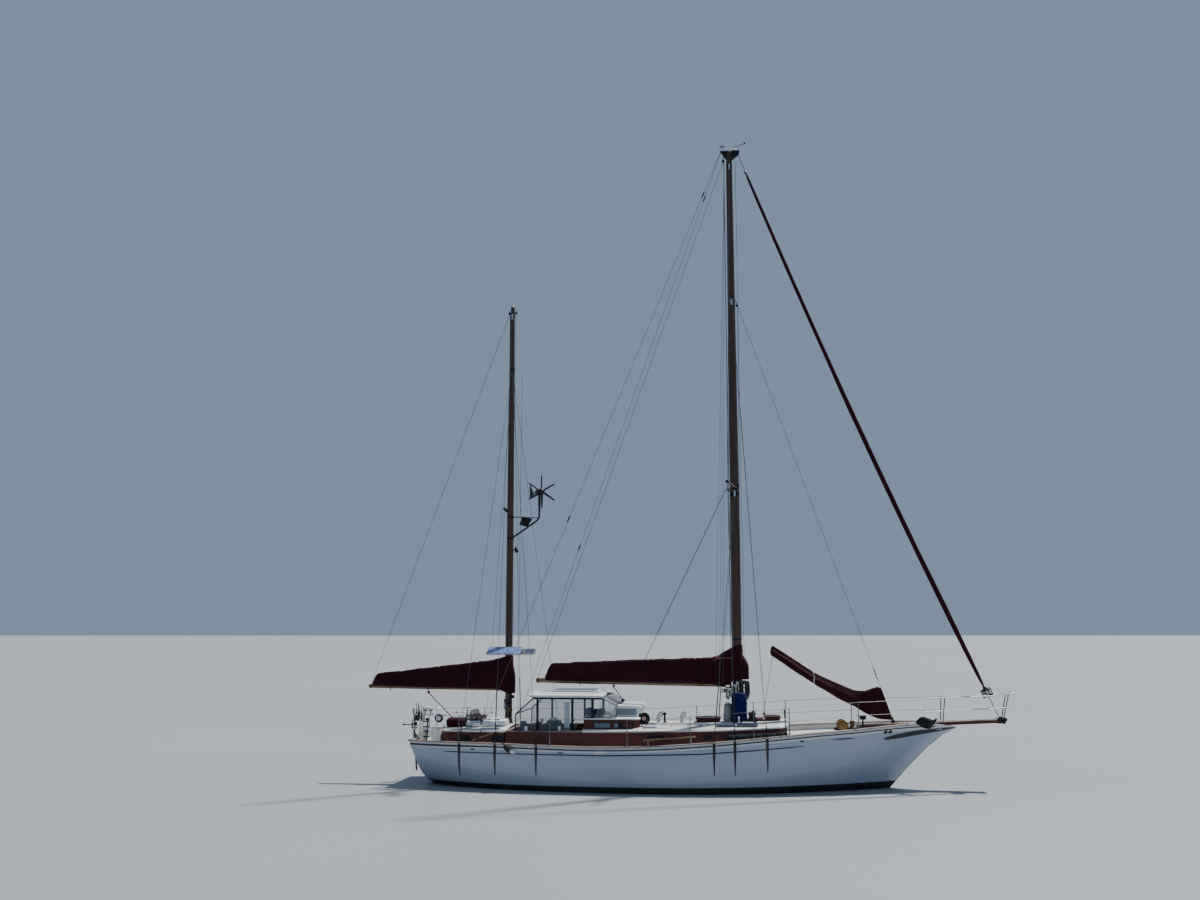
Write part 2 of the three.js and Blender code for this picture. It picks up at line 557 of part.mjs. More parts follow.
// Steering wheel on the bulkhead: rim, spokes and axle
const WHEEL = { x: -2480, y: 600, z: 1400, radius: 300, rim: 15, spokes: 6 };
const rimGeometry = new THREE.TorusGeometry(WHEEL.radius, WHEEL.rim, 6, 24);
rimGeometry.rotateY(Math.PI / 2);
rimGeometry.translate(WHEEL.x, WHEEL.y, WHEEL.z);
const wheelSpokes = Array.from({ length: WHEEL.spokes }, (unused, index) => {
  const angle = (index * 2 * Math.PI) / WHEEL.spokes;
  return bar([WHEEL.x, WHEEL.y, WHEEL.z],
    [WHEEL.x, WHEEL.y + WHEEL.radius * Math.sin(angle), WHEEL.z + WHEEL.radius * Math.cos(angle)], 10, 6);
});
addNode("steering_wheel", "steel", union([
  toSolid(rimGeometry), ...wheelSpokes,
  bar([WHEEL.x - 30, WHEEL.y, WHEEL.z], [-2340 - GAP, WHEEL.y, WHEEL.z], 34, 10)]));

// Door in the cabin's aft bulkhead, hinged on its starboard edge
const DOOR = { hingeX: -2351.35, hingeY: -360, width: 520, low: 480, high: 1600, face: -2346, thickness: 26 };
addNode("companionway_door", "mahogany", union([
  box([DOOR.face - DOOR.thickness, DOOR.hingeY, DOOR.low], [DOOR.face, DOOR.hingeY + DOOR.width, DOOR.high]),
  ...[650, 1400].map((z) => bar([DOOR.hingeX, DOOR.hingeY, z - 40], [DOOR.hingeX, DOOR.hingeY, z + 40], 11, 12)),
]));

// Hatch lids, hinged along their forward edges
const HATCH_THICKNESS = 42;
for (const [name, aft, fore, halfWidth, lid] of HATCHES) {
  const low = lid + GAP;
  const barrel = bar([fore - 14, -halfWidth * 0.6, low + 11], [fore - 14, halfWidth * 0.6, low + 11], 11, 10);
  addNode(name, "mahogany", box([aft, -halfWidth, low], [fore - 14, halfWidth, low + HATCH_THICKNESS]).add(barrel));
}

// The inner forestay's line, which the staysail boom turns about
const onForestay = (z) => FORESTAY_TOP.clone()
  .lerp(STEM_PIVOT, (FORESTAY_TOP.z - z) / (FORESTAY_TOP.z - STEM_PIVOT.z)).toArray();

const bowsprit = addNode("bowsprit", "spar", seatOn(union([
  sprit, box([SPRIT.heelX, -150, 1280], [4750, 150, 1450]), bar(onForestay(1530), onForestay(PEDESTAL_TOP), 42, 12),
]), hull));

// Pulpit: a top rail, a middle rail and two pairs of legs round the bowsprit
const PULPIT = { rail: 14, middle: 11 };
const pulpitTop = [[5960, 330, 2170], [6450, 300, 2195], [7500, 215, 2235], [7990, 175, 2290], [8130, 110, 2325]];
const pulpitMiddle = [[5960, 330, 1850], [6430, 290, 1880], [7500, 190, 1925], [7950, 110, 1960]];
const acrossBow = (points) => [...points, ...points.map(([x, y, z]) => [x, -y, z]).reverse()];
const pulpitLegs = [1, -1].flatMap((side) => [
  bar([6450, side * 300, 2195], [6400, side * 205, spritTop(6400) - 8], PULPIT.rail, 6),
  bar([7990, side * 175, 2290], [7850, side * 104, spritTop(7850) - 8], PULPIT.rail, 6),
  bar([5960, side * 330, 2170], [5960, side * 330, 1850], PULPIT.middle, 6)]);
addNode("pulpit", "steel", seatOn(union([
  tube(acrossBow(pulpitTop), PULPIT.rail, 6), tube(acrossBow(pulpitMiddle), PULPIT.middle, 6), ...pulpitLegs]),
bowsprit));

// Guard rails: stanchions standing on the rail, joined by two wires a side. A side is in two lengths,
// and the fore one starts at the aft one's last stanchion.
const STANCHION_PLACES = [-5400, -3080, -1200, 300, 1800, 2640, 4300];
const FIRST_FORE_STANCHION = 4;
const STANCHION_RADIUS = 13;
const GUARD_WIRE_RADIUS = 6;
const railPoint = (x, rise, side) => [x, side * (sheerY(x) - BULWARK_THICKNESS / 2), capTopAt(x) + rise];
const stanchion = (x, side, grow) => bar(
  [x, side * (sheerY(x) - BULWARK_THICKNESS / 2), railTop(x, STANCHION_RADIUS)],
  railPoint(x, GUARD_HEIGHT + 12, side), STANCHION_RADIUS + grow, 8);
const wireBetween = (points) => points.slice(1).map((point, index) => bar(points[index], point, GUARD_WIRE_RADIUS, 6));
function guardRail(side) {
  const rows = [[GUARD_HEIGHT, 2160], [GUARD_HEIGHT / 2, 1852]].map(([rise, endZ]) => [
    railPoint(-5980, rise, side), ...STANCHION_PLACES.map((x) => railPoint(x, rise, side)),
    [5930, side * 338, endZ]]);
  const length = (first, last, places) => union([
    ...rows.flatMap((row) => wireBetween(row.slice(first, last))), ...places.map((x) => stanchion(x, side, 0))]);
  const split = FIRST_FORE_STANCHION;
  const aft = length(0, split + 1, STANCHION_PLACES.slice(0, split));
  const fore = length(split, rows[0].length, STANCHION_PLACES.slice(split));
  return { aft, fore: fore.subtract(stanchion(STANCHION_PLACES[split - 1], side, GAP)) };
}
for (const [word, side] of [["port", 1], ["starboard", -1]]) {
  for (const [end, solid] of Object.entries(guardRail(side))) {
    addNode(`guard_rail_${word}_${end}`, "steel", solid);
  }
}

// Pushpit: rails round the stern on six legs
function pushpitRail(rise) {
  const port = [railPoint(-6000, rise, 1), railPoint(-6640, rise, 1)];
  const starboard = port.map(([x, y, z]) => [x, -y, z]).reverse();
  return [...port, ...starboard];
}
const pushpitLegs = [[-6000, sheerY(-6000) - 25], [-6640, sheerY(-6640) - 25], [-6690, 420]].flatMap(([x, y]) =>
  [1, -1].map((side) => bar([x, side * y, capTopAt(x) - 8], [Math.max(x, -6640), side * y, capTopAt(x) + GUARD_HEIGHT],
    STANCHION_RADIUS, 6)));
addNode("pushpit", "steel", seatOn(union([
  tube(pushpitRail(GUARD_HEIGHT), 14, 6), tube(pushpitRail(GUARD_HEIGHT / 2), 11, 6), ...pushpitLegs]), capRail));

// Windlass and anchor on the foredeck
addNode("windlass", "bronze", seatOn(union([
  box([3780, -150, 1290], [4330, 150, 1430]), box([3850, -130, 1400], [4110, 130, 1580]),
  bar([3980, -330, 1495], [3980, 330, 1495], 95, 10),
  bar([3980, -330, 1495], [3980, -250, 1495], 130, 10), bar([3980, 250, 1495], [3980, 330, 1495], 130, 10),
  bar([4230, 0, 1400], [4230, 0, 1600], 75, 10),
]), hull));
const ANCHOR = { x: 5910, shankHalf: 50, shankThickness: 55, shankInner: -250, near: -575, far: -685 };
const anchorZ = railTop(ANCHOR.x, ANCHOR.shankHalf);
addNode("anchor", "dark", union([
  box([ANCHOR.x - ANCHOR.shankHalf, ANCHOR.far, anchorZ],
    [ANCHOR.x + ANCHOR.shankHalf, ANCHOR.shankInner, anchorZ + ANCHOR.shankThickness]),
  profile([[5650, 1610], [5790, 1700], [5960, 1750], [6150, 1690], [6210, 1580], [6120, 1460], [5960, 1420], [5830, 1480]],
    ANCHOR.far, ANCHOR.near),
]));

// Masts: round, tapered, each a turned profile of radius and height
function mast(x, foot, head, places) {
  const points = [new THREE.Vector2(0, foot), ...places.map(([radius, z]) => new THREE.Vector2(radius, z)),
    new THREE.Vector2(0, head)];
  const geometry = new THREE.LatheGeometry(points, 14);
  geometry.rotateX(Math.PI / 2);
  geometry.translate(x, 0, 0);
  return toSolid(geometry);
}
const MAIN_PROFILE = [[122, 1400], [122, 6000], [106, 9800], [74, MAIN_MAST_HEAD_Z]];
const MIZZEN_PROFILE = [[92, 1250], [92, 4000], [74, 9000], [54, MIZZEN_MAST_HEAD_Z]];
const mastRadius = (table, z) => along(table.map(([radius, height]) => [height, radius]), 1, z, false);
const CRANE = [[1160, 16590], [1700, 16590], [1690, 16500], [1500, 16330], [1350, 16330], [1230, 16520]];
const SPREADER = { z: 7460, tipZ: 7520, tipX: 1250, reach: 960, root: 40, tip: 22 };
// A gooseneck is two plates on the mast, one above and one below the boom's pin
function gooseneck(x, mastX, lowZ, highZ) {
  const plate = 20;
  return [[lowZ - plate - GAP, lowZ - GAP], [highZ + GAP, highZ + plate + GAP]].map(([low, high]) =>
    box([Math.min(x - 25, mastX), -25, low], [Math.max(x + 25, mastX), 25, high]));
}
const MAIN_PIN = [2410, 2545];
const MIZZEN_PIN = [2285, 2385];
const mastHeadGear = [
  bar([1600, 0, 16560], [1600, 0, 16700], 16, 6), bar([1560, 0, 16690], [1860, 0, 16790], 9, 6),
  bar([1270, 0, 16580], [1240, 0, 16725], 9, 6), bar([1170, 0, 16690], [1330, 0, 16740], 10, 6)];
const mainMast = addNode("main_mast", "spar", seatOn(union([
  mast(MAIN_MAST_X, 1400, MAIN_MAST_HEAD_Z, MAIN_PROFILE), profile(CRANE, -45, 45), ...mastHeadGear,
  ...[1, -1].map((side) => bar([MAIN_MAST_X, side * 60, SPREADER.z],
    [SPREADER.tipX, side * SPREADER.reach, SPREADER.tipZ], SPREADER.root, 8, SPREADER.tip)),
  ...gooseneck(MAIN_GOOSENECK_X, MAIN_MAST_X, ...MAIN_PIN),
]), trunkHouse.blank));
const mizzenMast = addNode("mizzen_mast", "spar", seatOn(union([
  mast(MIZZEN_MAST_X, 1250, MIZZEN_MAST_HEAD_Z, MIZZEN_PROFILE),
  ...gooseneck(MIZZEN_GOOSENECK_X, MIZZEN_MAST_X, ...MIZZEN_PIN),
]), aftHouse.blank));

// Standing rigging. Each wire starts on its mast and ends on the rail over its chainplate.
const wireSurface = (x, table, z, side) => [x, side * (mastRadius(table, z) + WIRE_RADIUS + GAP), z];
// How far outside the sheer each wire lands on the rail. Columns: x, distance
const WIRE_FEET = [[-5380, -12], [-4450, 10], [-3410, 20], [860, 0], [1350, 17], [2110, 0]];
const railEnd = (x, side) => {
  const [, out] = WIRE_FEET.find(([place]) => place === x);
  return [x, side * (sheerY(x) + out), capTopAt(x) - 6];
};
const spreaderTip = (side) => [SPREADER.tipX, side * (SPREADER.reach + 10), SPREADER.tipZ];
for (const [word, side] of [["port", 1], ["starboard", -1]]) {
  const mainTop = wireSurface(MAIN_MAST_X, MAIN_PROFILE, 16150, side);
  const mainLower = wireSurface(MAIN_MAST_X, MAIN_PROFILE, 7330, side);
  const mizzenTop = wireSurface(MIZZEN_MAST_X, MIZZEN_PROFILE, 12200, side);
  const mizzenLower = wireSurface(MIZZEN_MAST_X, MIZZEN_PROFILE, 10720, side);
  const wire = (top, x) => bar(top, railEnd(x, side), WIRE_RADIUS, 6);
  const wires = [
    [`main_cap_shroud_${word}`, tube([mainTop, spreaderTip(side), railEnd(1350, side)], WIRE_RADIUS, 6)],
    [`main_lower_shroud_${word}`, wire(mainLower, 860)],
    [`mizzen_cap_shroud_${word}`, wire(mizzenTop, -4450)],
    [`mizzen_lower_shrouds_${word}`, union([wire(mizzenLower, -5380), wire(mizzenLower, -3410)])]];
  wires.forEach(([name, solid]) => addNode(name, "wire", seatOn(solid, capRail)));
}
// Backstays from the masthead to the quarters. Columns: name, foot x, side
for (const [name, x, side] of [["backstay_port", -4680, 1], ["backstay_starboard", -5020, -1]]) {
  const wire = bar([1190, side * 30, 16545], [x, side * (sheerY(x) - 75), deckZ(x) - 10], WIRE_RADIUS, 6);
  addNode(name, "wire", seatOn(seatOn(wire, hull), mainMast, [0, 0, -GAP]));
}
// The inner forestay and the two fore shrouds hang from one band round the main mast
const BAND = { low: 12370, high: 12490, radius: 104 };
const bandInside = [BAND.low - 300, BAND.high + 300].map((z) => [mastRadius(MAIN_PROFILE, z) + GAP, z]);
const mastBand = mast(MAIN_MAST_X, BAND.low, BAND.high, [[BAND.radius, BAND.low], [BAND.radius, BAND.high]])
  .subtract(mast(MAIN_MAST_X, bandInside[0][1], bandInside[1][1], bandInside));
addNode("inner_forestay", "wire", seatOn(union([mastBand,
  bar(FORESTAY_TOP.toArray(), onForestay(PEDESTAL_TOP + 2 * GAP), WIRE_RADIUS, 6),
  ...[1, -1].map((side) => bar(wireSurface(MAIN_MAST_X, MAIN_PROFILE, 12400, side), railEnd(2110, side), WIRE_RADIUS, 6)),
]), capRail));

// Furled headsail round its stay, with the swivel above and the drum below
const HEADSTAY_SAG = 145;
const onHeadstay = (z) => {
  const share = (HEADSTAY_TOP.z - z) / (HEADSTAY_TOP.z - HEADSTAY_FOOT.z);
  const [x, y, height] = HEADSTAY_TOP.clone().lerp(HEADSTAY_FOOT, share).toArray();
  return [x - 4 * HEADSTAY_SAG * share * (1 - share), y, height];
};
// Heights down the stay, and the roll's radius at each
const ROLL = [[15600, 40], [12500, 50], [9000, 62], [6000, 68], [4000, 66], [2600, 46]];
addNode("furled_headsail", "maroon", seatOn(seatOn(union([
  tube([16500, 14500, 12500, 9000, 6000, 4000, 2600, 1640].map(onHeadstay), 11, 6),
  bar(onHeadstay(16020), onHeadstay(15930), 42, 8),
  ...ROLL.slice(1).map(([z, radius], k) => bar(onHeadstay(ROLL[k][0] + 20), onHeadstay(z), ROLL[k][1], 8, radius)),
  bar(onHeadstay(2430), onHeadstay(2225), 135, 12),
]), mainMast, [0, 0, -GAP]), bowsprit));

// Booms, and sail covers that are rows of teardrop sections along them
const flatBoom = ({ startX, startZ, endX, endZ, radius, half }) =>
  bar([startX, 0, startZ], [endX, 0, endZ], radius, 10).intersect(box([-9000, -half, 0], [9000, half, 4000]));
const MAIN_BOOM = { startX: 1120, startZ: 2475, endX: -3740, endZ: 2548, radius: 70, half: 60 };
const MIZZEN_BOOM = { startX: -4700, startZ: 2335, endX: -8180, endZ: 2375, radius: 56, half: 48 };
const mainBoomSolid = flatBoom(MAIN_BOOM);
const mizzenBoomSolid = flatBoom(MIZZEN_BOOM);
addNode("main_boom", "spar", union([mainBoomSolid,
  bar([MAIN_GOOSENECK_X, 0, MAIN_BOOM.startZ], [1080, 0, MAIN_BOOM.startZ], 24, 8),
  bar([MAIN_GOOSENECK_X, 0, MAIN_PIN[0]], [MAIN_GOOSENECK_X, 0, MAIN_PIN[1]], 20, 10)]));
addNode("mizzen_boom", "spar", union([mizzenBoomSolid,
  bar([MIZZEN_GOOSENECK_X, 0, MIZZEN_BOOM.startZ], [-4760, 0, MIZZEN_BOOM.startZ], 20, 8),
  bar([MIZZEN_GOOSENECK_X, 0, MIZZEN_PIN[0]], [MIZZEN_GOOSENECK_X, 0, MIZZEN_PIN[1]], 17, 10)]));

function cover(table) {
  return loft(table.map(([x, foot, ridge, half]) => {
    const side = [[half * 0.8, foot], [half, foot + 90], [half * 0.75, foot + (ridge - foot) * 0.55], [half * 0.28, ridge - 25]];
    return [...side.map(([y, z]) => [x, y, z]), [x, 0, ridge], ...side.reverse().map(([y, z]) => [x, -y, z])];
  }));
}
// Columns of the three tables: x, height of the cover's foot, height of its ridge, half width at the boom
const MAIN_COVER = [
  [-3480, 2560, 2690, 60], [-3330, 2555, 2985, 95], [-1500, 2530, 3065, 125], [300, 2505, 3130, 135],
  [860, 2500, 3150, 130], [1090, 2500, 3290, 95]];
const MIZZEN_COVER = [
  [-8060, 2400, 2520, 50], [-7950, 2395, 2700, 75], [-6700, 2370, 2850, 100], [-5490, 2350, 2985, 115],
  [-4900, 2345, 3060, 105], [-4740, 2345, 3105, 80]];
const STAYSAIL_COVER = [
  [2300, 3212, 3445, 72], [2800, 2872, 3124, 98], [3395, 2478, 2739, 112], [3960, 2152, 2481, 122],
  [4300, 1978, 2351, 125], [4568, 1822, 2328, 122], [4868, 1690, 2428, 98]];
addNode("main_sail_cover", "maroon", seatOn(cover(MAIN_COVER), mainBoomSolid));
addNode("mizzen_sail_cover", "maroon", seatOn(cover(MIZZEN_COVER), mizzenBoomSolid));

// The staysail boom turns about the inner forestay, so its collar and the sail round the stay are bored
const STAYSAIL = { heelX: 5175, heelZ: 1652, tipX: 2250, tipZ: 3300, radius: 45, bore: 12, collarTop: 1705 };
const stayBore = bar(onForestay(2600), onForestay(1540), STAYSAIL.bore, 10);
const staysailBoom = (grow) => union([
  bar([STAYSAIL.heelX + grow, 0, STAYSAIL.heelZ - grow * 0.56], [STAYSAIL.tipX, 0, STAYSAIL.tipZ],
    STAYSAIL.radius + grow, 10),
  bar(onForestay(PEDESTAL_TOP + 1.5 * GAP - grow), onForestay(STAYSAIL.collarTop + grow), 34 + grow, 10)]);
addNode("staysail_boom", "spar", staysailBoom(0).subtract(stayBore));
const staysailLuff = profile([[4860, 1700], [4860, 2420], [4936, 2412], [4972, 2396], [5228, 1672], [5090, 1664]], -72, 72);
addNode("staysail_cover", "maroon",
  cover(STAYSAIL_COVER).add(staysailLuff).subtract(staysailBoom(1.2 * GAP)).subtract(stayBore));

// Wind generator on its arm ahead of the mizzen mast
addNode("generator_arm", "steel", seatOn(union([
  tube([[-4420, 0, 6210], [-3715, 0, 6690], [-3690, 0, 7000], [-3690, 0, 7230]], 26, 8),
  bar([-4420, 0, 6770], [-3715, 0, 6740], 12, 6), box([-4090, -14, 6430], [-3890, 14, 6755]),
]), mizzenMast, [GAP, 0, 0]));
const HEAD_TURN = (35 * Math.PI) / 180;
const HUB = new THREE.Vector3(-3690, 0, 7420);
const nose = new THREE.Vector3(Math.sin(HEAD_TURN), -Math.cos(HEAD_TURN), 0);
const fromHub = (distance) => HUB.clone().addScaledVector(nose, distance).toArray();
const noseTurn = (Math.atan2(nose.y, nose.x) * 180) / Math.PI;
const tailFin = profile([[-600, 190], [-620, -60], [-520, -100], [-500, 30]], -4, 4)
  .rotate([0, 0, noseTurn]).translate(HUB.toArray());
addNode("generator_head", "dark", union([
  bar(fromHub(90), fromHub(-200), 85, 10, 55), bar(fromHub(-180), fromHub(-590), 14, 6), tailFin,
  bar([HUB.x, 0, 7230 + GAP], [HUB.x, 0, 7400], 34, 10)]));
const ROTOR = { offset: 135, count: 6, root: 30, tip: 440, chord: 62, thickness: 9, pitch: 1.45 };
addNode("generator_rotor", "dark", union([
  ...bladesAround(ROTOR.count, ROTOR), bar([-38, 0, 0], [70, 0, 0], 72, 10, 30),
  bar([GAP + 90 - ROTOR.offset, 0, 0], [0, 0, 0], 20, 8),
]).rotate([0, 0, noseTurn]).translate(fromHub(ROTOR.offset)));

// Two small solar panels on a crossbar at the mizzen mast
const panelAt = (size, tilt, place) =>
  toSolid(new THREE.BoxGeometry(...size)).rotate([tilt, 0, 0]).translate(place);
const PANEL_BAR_Z = 3250;
const mizzenCollar = mast(MIZZEN_MAST_X, PANEL_BAR_Z - 60, PANEL_BAR_Z + 60, [
  [118, PANEL_BAR_Z - 60], [118, PANEL_BAR_Z + 60]])
  .subtract(mast(MIZZEN_MAST_X, 3000, 3600, [[92 + GAP, 3000], [92 + GAP, 3600]]));
addNode("mizzen_panels", "navy", union([
  mizzenCollar,
  bar([MIZZEN_MAST_X, 110, PANEL_BAR_Z], [MIZZEN_MAST_X, 560, PANEL_BAR_Z], 14, 6),
  bar([MIZZEN_MAST_X, -110, PANEL_BAR_Z], [MIZZEN_MAST_X, -500, PANEL_BAR_Z], 14, 6),
  bar([MIZZEN_MAST_X - 30, -330, PANEL_BAR_Z], [-3700, -330, PANEL_BAR_Z], 12, 6),
  panelAt([900, 420, 26], 24, [-4500, -330, 3302]), panelAt([470, 360, 24], 20, [-3960, -250, 3280])]));

// Soft and loose gear kept on deck
const bagRing = (z, scale) => Array.from({ length: 16 }, (_, k) => {
  const turn = (k * Math.PI) / 8;
  return [1455 + 225 * scale * Math.cos(turn), -290 + 148 * scale * Math.sin(turn), z];
});
const blueBag = loft([[1500, 1], [2050, 1.02], [2290, 0.86]].map(([z, scale]) => bagRing(z, scale)));
addNode("halyard_bag_blue", "blueCanvas", seatOn(blueBag, trunkHouse.blank));
addNode("halyard_bag_canvas", "canvas",
  seatOn(bar([1160, 0, 1450], [1165, 0, 2060], 118, 10, 98), trunkHouse.blank));
const rollZ = (x) => 1175 + (x - 1150) * 0.055;
addNode("side_deck_roll", "grey", seatOn(seatOn(loft([[1150, -1440], [1900, -1345], [2620, -1250]].map(([x, y]) => [
  [x, y - 105, rollZ(x) - 110], [x, y - 105, rollZ(x) + 90], [x, y - 60, rollZ(x) + 125],
  [x, y + 60, rollZ(x) + 125], [x, y + 105, rollZ(x) + 90], [x, y + 105, rollZ(x) - 110]])), hull),
trunkHouse.blank, [0, -GAP, 0]));
addNode("aft_deck_bag", "maroon", seatOn(loft([-5900, -5670, -5440].map((x) => [
  [x, -760, 1300], [x, -790, 1560], [x, -700, 1640], [x, -420, 1640], [x, -360, 1560], [x, -380, 1300]])),
aftHouse.blank));
addNode("deck_cushions", "white", seatOn(box([-5400, -700, 1300], [-4620, 560, 1560]), aftHouse.blank));

// Wind vane steering gear on the transom
addNode("vane_gear", "dark", seatOn(seatOn(union([
  ...[1, -1].map((side) => tube([[-6600, side * 170, 840], [-6935, side * 40, 1180], [-6935, 0, 1330]], 16, 6)),
  box([-7010, -70, 1290], [-6860, 70, 1480]), bar([-6935, 0, 1460], [-6935, 0, 1620], 22, 8),
  profile([[-6990, 1600], [-6860, 1600], [-6900, 1800], [-6960, 1800]], -9, 9),
  bar([-7000, 0, 1400], [-7250, 0, 1400], 14, 6), bar([-6940, 0, 1300], [-6850, 0, 250], 22, 6),
]), hull, [-GAP, 0, 0]), box([-6728, -200, 1011], [-6600, 200, 1047]), [0, 0, 0]));

export default yacht;
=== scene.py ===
from math import atan2, copysign, cos, exp, pi, radians, sin

import bmesh
import bpy
import numpy as np
from mathutils import Matrix, Vector, noise


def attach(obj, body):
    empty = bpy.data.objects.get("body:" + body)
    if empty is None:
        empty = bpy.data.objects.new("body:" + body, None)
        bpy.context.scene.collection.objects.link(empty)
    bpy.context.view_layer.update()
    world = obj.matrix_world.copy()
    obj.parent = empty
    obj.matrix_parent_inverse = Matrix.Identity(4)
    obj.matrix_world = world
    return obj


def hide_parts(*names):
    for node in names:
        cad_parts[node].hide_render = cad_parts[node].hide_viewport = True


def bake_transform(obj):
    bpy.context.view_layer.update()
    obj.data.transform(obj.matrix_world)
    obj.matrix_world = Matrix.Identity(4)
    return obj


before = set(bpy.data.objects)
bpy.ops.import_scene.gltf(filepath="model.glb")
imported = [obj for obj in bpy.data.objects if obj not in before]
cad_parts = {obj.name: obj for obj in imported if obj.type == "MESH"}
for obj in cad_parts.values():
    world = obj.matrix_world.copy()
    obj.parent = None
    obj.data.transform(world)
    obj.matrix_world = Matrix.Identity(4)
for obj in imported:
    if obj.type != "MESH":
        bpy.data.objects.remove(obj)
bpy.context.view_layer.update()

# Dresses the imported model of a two-masted cruising yacht. Metres, +X to the bow, +Y to port,
# +Z up, z = 0 at the waterline.
SHARP_ANGLE = radians(32)
BEVEL_ANGLE = radians(30)
UP = Vector((0, 0, 1))


# Meshes

def around(count, first=0.0):
    """Angles of count places round a circle."""
    return [2 * pi * (k + first) / count for k in range(count)]


def smooth(mesh):
    mesh.shade_smooth()
    mesh.set_sharp_from_angle(angle=SHARP_ANGLE)


def evaluated_mesh(obj):
    depsgraph = bpy.context.evaluated_depsgraph_get()
    return bpy.data.meshes.new_from_object(obj.evaluated_get(depsgraph))


def new_object(name, data):
    obj = bpy.data.objects.new(name, data)
    bpy.context.scene.collection.objects.link(obj)
    return obj


def finish_mesh(name, mesh, looks, body="hull", replaced=()):
    """Puts a mesh in the scene, with its looks as its materials."""
    obj = new_object(name, mesh)
    for look in looks:
        mesh.materials.append(MAT[look])
    smooth(mesh)
    if body:
        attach(obj, body)
    if replaced:
        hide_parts(*replaced)
    return obj


class Shape:
    """Collects vertices and faces of one piece."""

    def __init__(self):
        self.verts = []
        self.faces = []

    def add(self, verts, faces):
        base = len(self.verts)
        self.verts.extend(tuple(v) for v in verts)
        self.faces.extend(tuple(base + i for i in face) for face in faces)
        return self

    def rings(self, rings, closed=True, caps=True):
        count = len(rings[0])
        faces = []
        for r in range(len(rings) - 1):
            for s in range(count if closed else count - 1):
                a = r * count + s
                b = r * count + (s + 1) % count
                faces.append((a, b, b + count, a + count))
        if caps and closed:
            faces.append(tuple(reversed(range(count))))
            last = (len(rings) - 1) * count
            faces.append(tuple(range(last, last + count)))
        return self.add([p for ring in rings for p in ring], faces)

    def tube(self, points, radius, sides, ends=True):
        radii = radius if hasattr(radius, "__len__") else [radius] * len(points)
        return self.rings(tube_rings(points, radii, sides), caps=ends)

    def loop(self, ring, radius):
        """A thin round line along a closed ring of points."""
        return self.tube(list(ring) + [ring[0]], radius, 6, ends=False)

    def lathe(self, base, axis, profile, sides):
        """A turned form: profile rows are (distance along the axis, radius)."""
        axis = Vector(axis).normalized()
        side = axis.orthogonal().normalized()
        other = axis.cross(side)
        rings = []
        for along, radius in profile:
            centre = Vector(base) + axis * along
            rings.append([centre + (side * cos(a) + other * sin(a)) * max(radius, 1e-5)
                          for a in around(sides)])
        return self.rings(rings)

    def box(self, one, other, turn=None, about=None):
        """A box between two opposite corners, turned about a point where that is given."""
        spans = [sorted(pair) for pair in zip(one, other)]
        corners = [Vector((x, y, z)) for x in spans[0] for y in spans[1] for z in spans[2]]
        if turn is not None:
            centre = Vector(about) if about is not None else (Vector(one) + Vector(other)) / 2
            corners = [centre + turn @ (c - centre) for c in corners]
        return self.add(corners, [(0, 1, 3, 2), (4, 6, 7, 5), (0, 4, 5, 1), (2, 3, 7, 6), (0, 2, 6, 4),
                                  (1, 5, 7, 3)])

    def prism(self, outline, low, high, upright=False):
        """An outline of (x, z) carried along y, or of (x, y) carried upright."""
        count = len(outline)
        verts = [(a, b, level) if upright else (a, level, b) for level in (low, high) for a, b in outline]
        faces = [tuple(range(count)), tuple(reversed(range(count, 2 * count)))]
        faces += [(i, i + count, (i + 1) % count + count, (i + 1) % count) for i in range(count)]
        return self.add(verts, faces)

    def plate(self, outline, half):
        """A flat plate: an outline of points and half its thickness as a vector."""
        return self.rings([[p - half for p in outline], [p + half for p in outline]])

    def mesh(self, name, bevel=0.0, segments=2):
        mesh = bpy.data.meshes.new(name)
        mesh.from_pydata(self.verts, [], self.faces)
        work = bmesh.new()
        work.from_mesh(mesh)
        bmesh.ops.recalc_face_normals(work, faces=work.faces)
        if bevel:
            sharp = [e for e in work.edges if len(e.link_faces) == 2 and e.calc_face_angle(0) > BEVEL_ANGLE]
            bmesh.ops.bevel(work, geom=sharp, offset=bevel, segments=segments, profile=0.6, affect="EDGES",
                            clamp_overlap=True)
        work.to_mesh(mesh)
        work.free()
        return mesh

    def piece(self, name, look, body="hull", replaced=(), slot=None, bevel=0.0, segments=2):
        return finish_mesh(name, self.mesh(name, bevel, segments), [look], body, replaced)


def tube_rings(points, radii, sides):
    """Rings of a round bar along points, turned as little as possible from one to the next."""
    path = [Vector(p) for p in points]
    rings = []
    side = None
    for i, point in enumerate(path):
        before = (path[i] - path[i - 1]).normalized() if i else (path[1] - path[0]).normalized()
        after = (path[i + 1] - path[i]).normalized() if i < len(path) - 1 else before
        tangent = (before + after).normalized()
        if side is None:
            side = tangent.orthogonal().normalized()
        side = (side - tangent * side.dot(tangent)).normalized()
        other = tangent.cross(side)
        stretch = 1 / max(0.5, tangent.dot(before))
        bend = (after - before)
        bend = bend.normalized() if bend.length > 1e-6 else None
        ring = []
        for a in around(sides, 0.5):
            offset = (side * cos(a) + other * sin(a)) * radii[i]
            if bend is not None:
                offset += bend * offset.dot(bend) * (stretch - 1)
            ring.append(point + offset)
        rings.append(ring)
    return rings


def smooth_path(points, steps):
    """Catmull-Rom curve through points."""
    path = [Vector(p) for p in points]
    ends = [path[0] * 2 - path[1], *path, path[-1] * 2 - path[-2]]
    out = []
    for i in range(1, len(ends) - 2):
        for s in range(steps):
            t = s / steps
            a, b, c, d = ends[i - 1:i + 3]
            out.append(0.5 * ((2 * b) + (c - a) * t + (2 * a - 5 * b + 4 * c - d) * t * t
                              + (3 * b - a - 3 * c + d) * t * t * t))
    out.append(path[-1])
    return out


